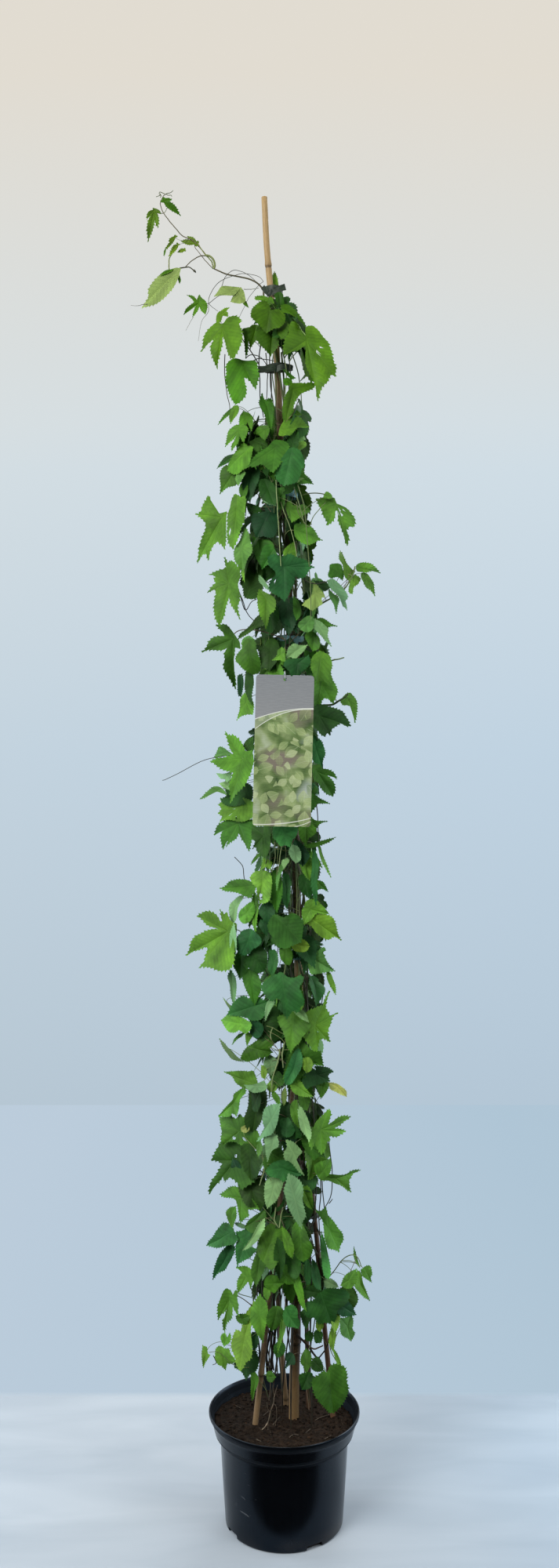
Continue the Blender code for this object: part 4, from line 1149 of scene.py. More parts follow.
# ---------------------------------------------------------------- strips of tape
def strip_into(batch, points, widths_dir, width, thick, tint, mat, crumple=0.0008, seed=1):
    """A thin flat strip along the points, with its width along widths_dir, lightly crumpled."""
    points = np.asarray(points, dtype=float)
    n = len(points)
    w_dir = np.broadcast_to(np.asarray(widths_dir, dtype=float), (n, 3)).copy()
    w_dir /= np.linalg.norm(w_dir, axis=1)[:, None]
    t = np.gradient(points, axis=0)
    t /= np.linalg.norm(t, axis=1)[:, None] + 1e-12
    out = np.cross(t, w_dir)
    out /= np.linalg.norm(out, axis=1)[:, None] + 1e-12
    width = np.broadcast_to(np.asarray(width, dtype=float), (n,))
    shares = (-0.5, -0.17, 0.17, 0.5)
    ring = []
    for side in (0.5, -0.5):
        for s in (shares if side > 0 else shares[::-1]):
            lift = np.array([noise.noise(Vector((i * 0.33, s * 2.2, seed * 7.3))) for i in range(n)]) * crumple * 2
            ring.append(points + w_dir * (width * s)[:, None] + out * (thick * side + lift)[:, None])
    ring = np.stack(ring, 1)
    sides = ring.shape[1]
    verts = ring.reshape(-1, 3)
    i, j = np.meshgrid(np.arange(n - 1), np.arange(sides), indexing="ij")
    i, j = i.ravel(), j.ravel()
    k = (j + 1) % sides
    a, b2, c, d = i * sides + j, i * sides + k, (i + 1) * sides + k, (i + 1) * sides + j
    tris = np.concatenate((np.stack((a, b2, c), 1), np.stack((a, c, d), 1)))
    length = np.concatenate(([0.0], np.cumsum(np.linalg.norm(np.diff(points, axis=0), axis=1)))) * 10.0
    u = np.array([0.0, 0.033, 0.066, 0.10, 0.10, 0.066, 0.033, 0.0])
    uv = np.concatenate((
        np.stack((np.stack((u[j], length[i]), 1), np.stack((u[k], length[i]), 1), np.stack((u[k], length[i + 1]), 1)), 1),
        np.stack((np.stack((u[j], length[i]), 1), np.stack((u[k], length[i + 1]), 1), np.stack((u[j], length[i + 1]), 1)), 1),
    ))
    ends = []
    for base, flip in ((0, True), ((n - 1) * sides, False)):
        for q in range(1, sides - 1):
            tri = (base, base + q, base + q + 1)
            ends.append(tri[::-1] if flip else tri)
    tris = np.concatenate((tris, np.array(ends)))
    uv = np.concatenate((uv, np.zeros((len(ends), 3, 2))))
    batch.add(verts, tris, uv, tint, mat)


TAPE_DARK = tape_material("Tie tape", (0.020, 0.030, 0.022), (0.062, 0.084, 0.062))
TAPE_BLUE = tape_material("Faded tie tape", (0.080, 0.200, 0.230), (0.190, 0.360, 0.370))


def tie_ring(batch, x, y, z, half_w, half_d, turns=1.12, start=0.0, slope=0.0, seed=1, width=0.0105):
    count = int(46 * turns)
    a = math.radians(start) + np.linspace(0, 2 * math.pi * turns, count)
    grow = 1 + 0.035 * np.linspace(0, 1, count)
    wob = np.array([noise.noise(Vector((math.cos(v) * 1.4, math.sin(v) * 1.4, seed * 3.1))) for v in a]) * 0.10
    pts = np.stack((x + half_w * grow * (1 + wob) * np.cos(a), y + half_d * grow * (1 + wob) * np.sin(a),
                    z + slope * np.cos(a) + 0.0012 * np.sin(a * 2 + seed)), 1)
    strip_into(batch, pts, (0, 0, 1), width, 0.0006, (1, 1, 1), 0, seed=seed)
    return pts


for name, (z, x, half_w, half_d) in TIES.items():
    b = Batch()
    if name == "tie_top":
        pts = tie_ring(b, x, 0.0, z, half_w * 0.62, half_d * 0.95, start=-35, slope=-0.002, seed=3)
        # knot in front, and the two cut ends sticking up to the right
        strip_into(b, spline([at(340, 372, -0.017), at(347, 374, -0.0195), at(355, 369, -0.022), at(364, 366, -0.021)], 12),
                   (-0.25, 0.15, 1.0), np.linspace(0.008, 0.0125, 12), 0.0007, (0.42, 0.56, 0.44), 0, seed=11)
        strip_into(b, spline([at(335, 366, -0.015), at(340, 372, -0.018), at(346, 377, -0.019)], 9), (0.8, 0.1, 1.0), 0.0095,
                   0.0007, (0.42, 0.56, 0.44), 0, seed=12)
        strip_into(b, spline([at(350, 376, -0.017), at(346, 372, -0.020), at(341, 376, -0.018)], 9), (0.2, 0.0, 1.0), 0.0090,
                   0.0009, (0.38, 0.50, 0.40), 0, seed=13)

    elif name == "tie_upper":
        pts = tie_ring(b, x + 0.0005, -0.001, z, half_w * 0.90, half_d * 0.78, start=-60, slope=0.0016, seed=5, width=0.0085)
        strip_into(b, spline([at(352, 471, -0.020), at(360, 468, -0.024), at(366, 471, -0.022)], 9), (0, 0, 1), 0.0115, 0.0008,
                   (1.5, 1.5, 1.5), 0, seed=14)
        # the long cut end lies flat to the left
        strip_into(b, spline([at(329, 471.5, -0.0235), at(337, 471, -0.0250), at(345, 469.5, -0.0245), at(352, 468.5, -0.0225)], 12),
                   (0, 0, 1), 0.0125, 0.0007, (0.85, 1.0, 0.85), 0, seed=21)
        strip_into(b, spline([at(362, 470, -0.022), at(366, 476, -0.024), at(371, 481, -0.020)], 9), (0.9, 0, 0.5), 0.0050,
                   0.0007, (0.8, 0.8, 0.8), 0, seed=15)
    elif name == "tie_shoulder":
        pts = tie_ring(b, x, 0.0, z, half_w, half_d, start=-80, seed=6)
        strip_into(b, spline([at(360, 625, -0.026), at(370, 627, -0.030), at(379, 628, -0.026)], 9), (0, 0, 1), 0.0110, 0.0008,
                   (1.15, 1.15, 1.15), 0, seed=16)
    elif name == "tie_chest":
        pts = tie_ring(b, x, 0.0, z, half_w, half_d, start=-70, seed=7)
        strip_into(b, spline([at(373, 811, -0.026), at(378, 817, -0.030), at(376, 826, -0.026)], 9), (1, 0, 0.3), 0.0080, 0.0008,
                   (1.1, 1.1, 1.1), 0, seed=17)
    else:
        pts = tie_ring(b, x, 0.0, z, half_w, half_d, start=-70, seed=8)
        strip_into(b, spline([at(384, 1214, -0.026), at(389, 1212, -0.030), at(393, 1216, -0.026)], 9), (0, 0, 1), 0.0045, 0.0008,
                   (1, 1, 1), 0, seed=18)
    blue = name in ("tie_shoulder", "tie_chest")
    place_piece(b.make(name + "_tape", (TAPE_BLUE if blue or name == "tie_middle" else TAPE_DARK,), 40.0), name)

right_soil, right_top = (np.array(p) for p in THIN_CANES["cane_right"][:2])
low_tie = right_soil + (right_top - right_soil) * ((0.560 - right_soil[2]) / (right_top[2] - right_soil[2]))
b = Batch()
tie_ring(b, low_tie[0], low_tie[1], 0.560, 0.0080, 0.0080, turns=2.2, start=-40, seed=9, width=0.009)
for n, (p0, p1, p2) in enumerate((((400, 1552), (392, 1558), (386, 1570)), ((402, 1556), (396, 1566), (392, 1582)),
                                  ((398, 1548), (390, 1549), (384, 1556)))):
    strip_into(b, spline([at(*p0, -0.002), at(*p1, -0.012), at(*p2, -0.016)], 10), (0.5, 0.3, 1.0), 0.0042, 0.0008,
               (0.6, 0.6, 0.6), 0, seed=20 + n)
place_piece(b.make("tie_low_tape", (TAPE_DARK,), 40.0), "tie_low")

# ---------------------------------------------------------------- stems seen between the leaves
GREEN_STEM, PALE_STEM, DARK_STEM = (0.130, 0.190, 0.060), (0.270, 0.360, 0.150), (0.050, 0.052, 0.032)
# line of pixels, depth (mm) at its start and end, radius (mm), colour
STEMS = (
    (((378, 790), (392, 781), (410, 770), (436, 754), (448, 738), (453, 722)), -8, -38, 1.2, GREEN_STEM),
    (((380, 798), (395, 785), (412, 768), (432, 760)), -8, -34, 1.1, GREEN_STEM),
    (((380, 618), (387, 640), (390, 665), (393, 700), (396, 755), (396, 790)), -88, -76, 0.75, GREEN_STEM),
    (((375, 622), (382, 645), (388, 668)), -84, -86, 0.8, GREEN_STEM),
    (((378, 640), (381, 655), (393, 672), (399, 660), (407, 650), (415, 641)), -80, -50, 0.7, GREEN_STEM),
    (((383, 733), (390, 741), (398, 744), (408, 744), (418, 741)), -70, -50, 0.8, DARK_STEM),
    (((352, 612), (353, 640), (355, 670), (358, 722)), -84, -92, 0.7, PALE_STEM),
    (((358, 640), (363, 655), (371, 675), (377, 700), (379, 715)), -70, -78, 0.6, PALE_STEM),
    (((378, 690), (378, 740), (379, 792)), -30, -24, 0.9, DARK_STEM),
    (((287, 452), (287, 480), (289, 500), (292, 512), (293, 524)), -18, -20, 0.7, DARK_STEM),
    (((339, 450), (341, 472), (341, 490), (340, 512)), -16, -14, 0.8, DARK_STEM),
    (((345, 474), (346, 492), (346, 515)), -15, -15, 0.9, DARK_STEM),
    (((351, 470), (352, 500), (350, 560)), -14, -18, 0.8, GREEN_STEM),
    (((362, 452), (364, 468), (372, 488), (366, 515), (362, 560)), -14, -20, 0.8, DARK_STEM),
    (((357, 552), (364, 541), (373, 529), (378, 518), (382, 509)), -50, -58, 0.8, DARK_STEM),
    (((313, 457), (318, 453), (325, 453), (335, 458), (341, 468)), -20, -12, 0.7, DARK_STEM),
    (((321, 461), (328, 458), (338, 458), (350, 461)), -22, -12, 0.7, DARK_STEM),
    (((330, 700), (312, 728), (303, 745), (310, 768), (316, 783), (328, 796)), -10, -20, 0.8, DARK_STEM),
    (((306, 760), (313, 778), (321, 768), (330, 762)), -20, -15, 0.7, DARK_STEM),
    (((408, 850), (424, 842), (430, 841), (439, 839)), -30, -45, 1.2, GREEN_STEM),
    (((385, 908), (400, 904), (413, 900), (425, 898), (436, 892), (444, 885)), -20, -45, 2.3, (0.045, 0.085, 0.022)),
    (((322, 958), (305, 962), (290, 964), (262, 969), (230, 985), (214, 993), (207, 995)), -20, -40, 0.55, DARK_STEM),
    (((325, 1135), (316, 1128), (312, 1121), (310, 1108), (307, 1101), (299, 1093)), -20, -38, 0.7, DARK_STEM),
    (((386, 1170), (389, 1190), (389, 1215), (388, 1245), (386, 1275)), -30, -24, 0.9, DARK_STEM),
    (((397, 1184), (395, 1200), (393, 1225), (392, 1250), (387, 1278)), -38, -22, 0.8, DARK_STEM),
    (((345, 1072), (344, 1090), (346, 1112)), -76, -70, 0.7, GREEN_STEM),
    (((350, 1074), (351, 1092), (347, 1112)), -80, -72, 0.7, PALE_STEM),
    (((355, 1074), (354, 1096), (353, 1116)), -78, -72, 0.7, GREEN_STEM),
    (((360, 1076), (357, 1094), (355, 1112)), -80, -74, 0.6, PALE_STEM),
    (((342, 1076), (340, 1096), (336, 1112)), -74, -66, 0.6, DARK_STEM),
    (((364, 1080), (366, 1100), (370, 1120)), -60, -40, 0.8, DARK_STEM),
    (((393, 1392), (394, 1410), (393, 1436)), -18, -18, 0.9, DARK_STEM),
    (((397, 1390), (399, 1412), (402, 1440), (405, 1470)), -26, -22, 0.9, DARK_STEM),
    (((398, 1395), (408, 1412), (414, 1424)), -26, -40, 0.5, DARK_STEM),
    (((389, 1452), (396, 1475), (402, 1495), (406, 1512)), -40, -40, 0.9, PALE_STEM),
    (((405, 1440), (408, 1480), (409, 1520), (407, 1560), (411, 1620), (410, 1660)), -20, 0, 0.9, DARK_STEM),
    (((419, 1452), (422, 1480), (424, 1500), (422, 1525), (413, 1543), (408, 1556)), -34, -8, 0.8, DARK_STEM),
    (((410, 1470), (411, 1510), (414, 1545)), -26, -14, 0.9, DARK_STEM),
    (((403, 1500), (403, 1525), (401, 1552)), -22, -12, 0.9, DARK_STEM),
    (((420, 1535), (424, 1529)), -30, -34, 0.7, DARK_STEM),
    (((328, 1600), (330, 1628), (328, 1655), (336, 1690), (346, 1745)), -20, -22, 1.1, DARK_STEM),
    (((338, 1610), (335, 1632), (336, 1660), (350, 1710), (354, 1755)), -12, -5, 1.2, DARK_STEM),
    (((318, 1636), (321, 1645), (326, 1652)), -30, -20, 0.7, GREEN_STEM),
    (((304, 1650), (314, 1653), (323, 1656), (330, 1662)), -30, -18, 0.6, GREEN_STEM),
    (((348, 1640), (352, 1680), (357, 1740), (360, 1775)), -10, -16, 1.2, DARK_STEM),
    (((366, 1640), (366, 1690), (372, 1740), (372, 1780)), 16, 26, 1.2, DARK_STEM),
    (((408, 1652), (412, 1640), (425, 1622), (436, 1608), (447, 1601), (456, 1604), (461, 1616)), -8, -34, 0.8, GREEN_STEM),
    (((436, 1608), (446, 1608), (455, 1612), (459, 1617)), -26, -34, 0.5, GREEN_STEM),
    (((413, 1640), (424, 1624), (437, 1625), (444, 1632)), -20, -30, 0.4, GREEN_STEM),
    (((378, 1702), (386, 1709), (392, 1716), (399, 1725), (406, 1735), (411, 1747)), -10, -30, 2.3, (0.020, 0.015, 0.010)),
    (((384, 1731), (395, 1733), (404, 1733), (412, 1726), (418, 1714), (421, 1700)), -12, -30, 1.5, (0.022, 0.016, 0.010)),
    (((388, 1709), (398, 1720), (406, 1719), (412, 1716)), -16, -26, 1.2, (0.10, 0.060, 0.030)),
    (((345, 1752), (346, 1738), (349, 1716), (351, 1698), (352, 1680)), -14, -22, 3.2, (0.016, 0.012, 0.008)),
    (((341, 1750), (340, 1728), (343, 1706), (348, 1680), (350, 1640)), -10, -20, 2.4, (0.020, 0.015, 0.010)),
    (((331, 1738), (331, 1722), (329, 1708), (325, 1692)), -24, -30, 1.9, (0.018, 0.016, 0.010)),
    (((347, 1645), (345, 1670), (347, 1695), (346, 1720), (349, 1748)), -16, -18, 2.2, (0.020, 0.016, 0.010)),
    (((356, 1640), (358, 1665), (355, 1690)), -14, -14, 2.0, (0.024, 0.017, 0.011)),
    (((330, 1645), (334, 1668), (341, 1690), (345, 1712)), -20, -20, 1.6, (0.018, 0.014, 0.009)),
    (((336, 1720), (341, 1735), (346, 1752), (349, 1766)), -26, -24, 1.5, (0.020, 0.015, 0.010)),
    (((334, 1755), (338, 1768), (342, 1782)), -30, -30, 1.0, (0.07, 0.085, 0.04)),
    (((346, 1700), (344, 1722), (343, 1746), (345, 1768), (343, 1786)), -22, -26, 1.0, (0.10, 0.085, 0.060)),
    (((354, 1742), (351, 1752), (346, 1747)), -24, -30, 0.7, DARK_STEM),
    (((388, 1742), (390, 1765), (394, 1798)), 6, -6, 0.9, (0.16, 0.115, 0.075)),
    (((357, 1612), (360, 1640), (358, 1664), (352, 1690)), -40, -34, 0.8, GREEN_STEM),
    (((378, 1600), (388, 1604), (398, 1612), (405, 1624)), -36, -20, 1.3, (0.022, 0.018, 0.011)),
    (((396, 1600), (397, 1640), (396, 1690), (396, 1740)), -34, -26, 1.1, (0.022, 0.024, 0.013)),
    (((384, 1560), (392, 1572), (398, 1586), (405, 1600)), -40, -20, 1.0, DARK_STEM),
    (((386, 1576), (394, 1566), (400, 1556), (404, 1546)), -36, -24, 0.9, DARK_STEM),
    (((389, 1590), (394, 1574), (399, 1560)), -36, -24, 0.8, DARK_STEM),
    (((384, 1462), (388, 1476), (386, 1490), (392, 1502)), -44, -40, 1.0, (0.05, 0.035, 0.02)),
    (((379, 1466), (383, 1480), (382, 1496)), -44, -40, 0.9, (0.12, 0.09, 0.05)),
    (((352, 1540), (350, 1556), (355, 1566)), -66, -66, 0.9, PALE_STEM),
    (((361, 1540), (358, 1552), (356, 1566)), -66, -68, 1.0, PALE_STEM),
    (((357, 1338), (354, 1356), (348, 1374), (346, 1392)), -66, -62, 1.1, PALE_STEM),
    (((363, 1330), (360, 1346), (361, 1362)), -70, -66, 1.4, PALE_STEM),
    (((340, 1308), (350, 1312), (360, 1318), (366, 1322)), -66, -70, 0.7, GREEN_STEM),
    (((346, 1326), (345, 1318), (348, 1310)), -66, -66, 0.7, PALE_STEM),
    (((339, 1486), (335, 1500), (331, 1512)), -66, -64, 1.0, PALE_STEM),
    (((365, 1220), (363, 1240), (358, 1256)), -60, -60, 0.8, GREEN_STEM),
    (((338, 1236), (343, 1250), (341, 1262)), -40, -40, 0.8, DARK_STEM),
    (((345, 1232), (349, 1246), (346, 1258)), -40, -40, 0.8, DARK_STEM),
    (((352, 1230), (355, 1244), (353, 1258)), -40, -40, 0.8, DARK_STEM),
    (((398, 1660), (396, 1700), (396, 1760), (398, 1790)), 6, 20, 1.0, DARK_STEM),
    (((404, 1655), (401, 1690), (396, 1720), (394, 1790)), 14, 24, 0.9, (0.05, 0.07, 0.03)),
    (((421, 1660), (424, 1690), (421, 1718), (428, 1735)), -16, -24, 0.8, GREEN_STEM),
    (((330, 1742), (318, 1744), (300, 1742), (280, 1726), (266, 1725)), -30, -48, 0.5, GREEN_STEM),
    (((272, 1729), (276, 1738), (271, 1741)), -44, -46, 0.6, DARK_STEM),
    (((270, 470), (280, 440), (283, 412), (300, 392), (318, 380), (336, 374)), -22, -12, 0.01, GREEN_STEM),
)
STEM_SHOOT_STEP = 0.03
for n, (line, y0, y1, radius, colour) in enumerate(STEMS):
    if radius < 0.1:
        continue
    radius *= 1.3 if radius < 1.4 else 1.0
    ys = np.linspace(y0, y1, len(line)) / 1000.0
    pts = spline([at(px, py, y) for (px, py), y in zip(line, ys)], max(8, 5 * len(line)))
    count = len(pts)
    rng = random.Random(500 + n)
    wob = np.array([[noise.noise(Vector((i * 0.21, n * 3.3, k * 9.1))) for k in range(3)] for i in range(count)]) * 0.0010
    pts = pts + wob
    home = batch_for(pts[len(pts) // 2])
    radii = np.linspace(radius, radius * 0.75, count) / 1000.0
    tube_into(home, pts, radii, 7, colour, 2)
    if radius > 1.0:
        skeleton += list(pts[::2])

# twigs inside the foliage, one or two to a side shoot, drooping from the climbing stems
def near_stems(p, limit=None):
    pts = np.array(skeleton)
    gap = np.linalg.norm((pts - p) * (1.0, 1.0, 0.8), axis=1) + 0.6 * np.maximum(0.0, pts[:, 2] - p[2])
    return pts[np.argmin(gap)], gap


for side, rows in SIDE_SHOOTS.items():
    for i, (top_z, low_z, reach) in enumerate(rows):
        for n in range(2 if side in ("front", "back") else 1):
            rng = random.Random(f"twig {side} {i} {n}")
            az = math.radians(SIDES[side] + rng.uniform(-34, 34))
            z0 = mix(top_z, low_z, rng.uniform(0.05, 0.3)) + 0.02
            if z0 < 0.45:
                continue
            z1 = max(0.42, mix(top_z, low_z, rng.uniform(0.75, 1.0)))
            out = np.array((math.cos(az), math.sin(az), 0.0))
            start, _ = near_stems(np.array((cane_x(z0), 0, z0)) + out * 0.02)
            r1, r2 = rng.uniform(0.022, 0.034), rng.uniform(0.030, 0.048)
            p1 = np.array((cane_x(z0), 0, mix(z0, z1, 0.25) + 0.01)) + out * r1
            p2 = np.array((cane_x(z1), 0, mix(z0, z1, 0.65))) + out * r2
            p3 = np.array((cane_x(z1), 0, z1)) + out * r2 * rng.uniform(0.8, 1.15)
            pts = spline([start, p1, p2, p3], 26)
            wob = np.array([[noise.noise(Vector((k * 0.25, i * 3.3 + n, q * 9.1 + az))) for q in range(3)] for k in range(26)])
            pts = pts + wob * 0.004 * np.linspace(0, 1, 26)[:, None]
            home = batches.setdefault(f"side_shoot_{side}_{i + 1}", Batch())
            tube_into(home, pts, np.linspace(0.0013, 0.0008, 26), 7, GREEN_STEM if rng.random() < 0.5 else DARK_STEM, 2)
            skeleton += list(pts[4::2])
SKELETON = np.array(skeleton)


def stalk_into(batch, centre, main_dir, normal, size, rng, anchor=None, tint=None):
    """A leaf stalk from the nearest stem to the blade."""
    gap = np.linalg.norm(SKELETON - centre, axis=1) + 0.8 * np.maximum(0.0, SKELETON[:, 2] - centre[2] - 0.01)
    if anchor is None:
        order = np.argsort(gap)[:14]
        anchor = SKELETON[order[rng.randrange(len(order))]]
    reach = np.linalg.norm(anchor - centre)
    if reach < 0.006:
        return
    down = np.array((0.0, 0.0, -1.0))
    p1 = centre - main_dir * reach * 0.34 - normal * reach * 0.10
    p2 = anchor + (centre - anchor) * 0.30 - down * reach * 0.16
    pts = bezier(np.asarray(centre) - normal * 0.0004, p1, p2, np.asarray(anchor), max(9, int(reach / 0.006)))
    r = clamp(size * 0.012, 0.0005, 0.0010)
    if tint is None:
        tint = rng.choice((GREEN_STEM, GREEN_STEM, (0.20, 0.25, 0.09), (0.11, 0.085, 0.045)))
    tube_into(batch, pts, np.linspace(r * 0.85, r * 1.15, len(pts)), 6, tint, 2)


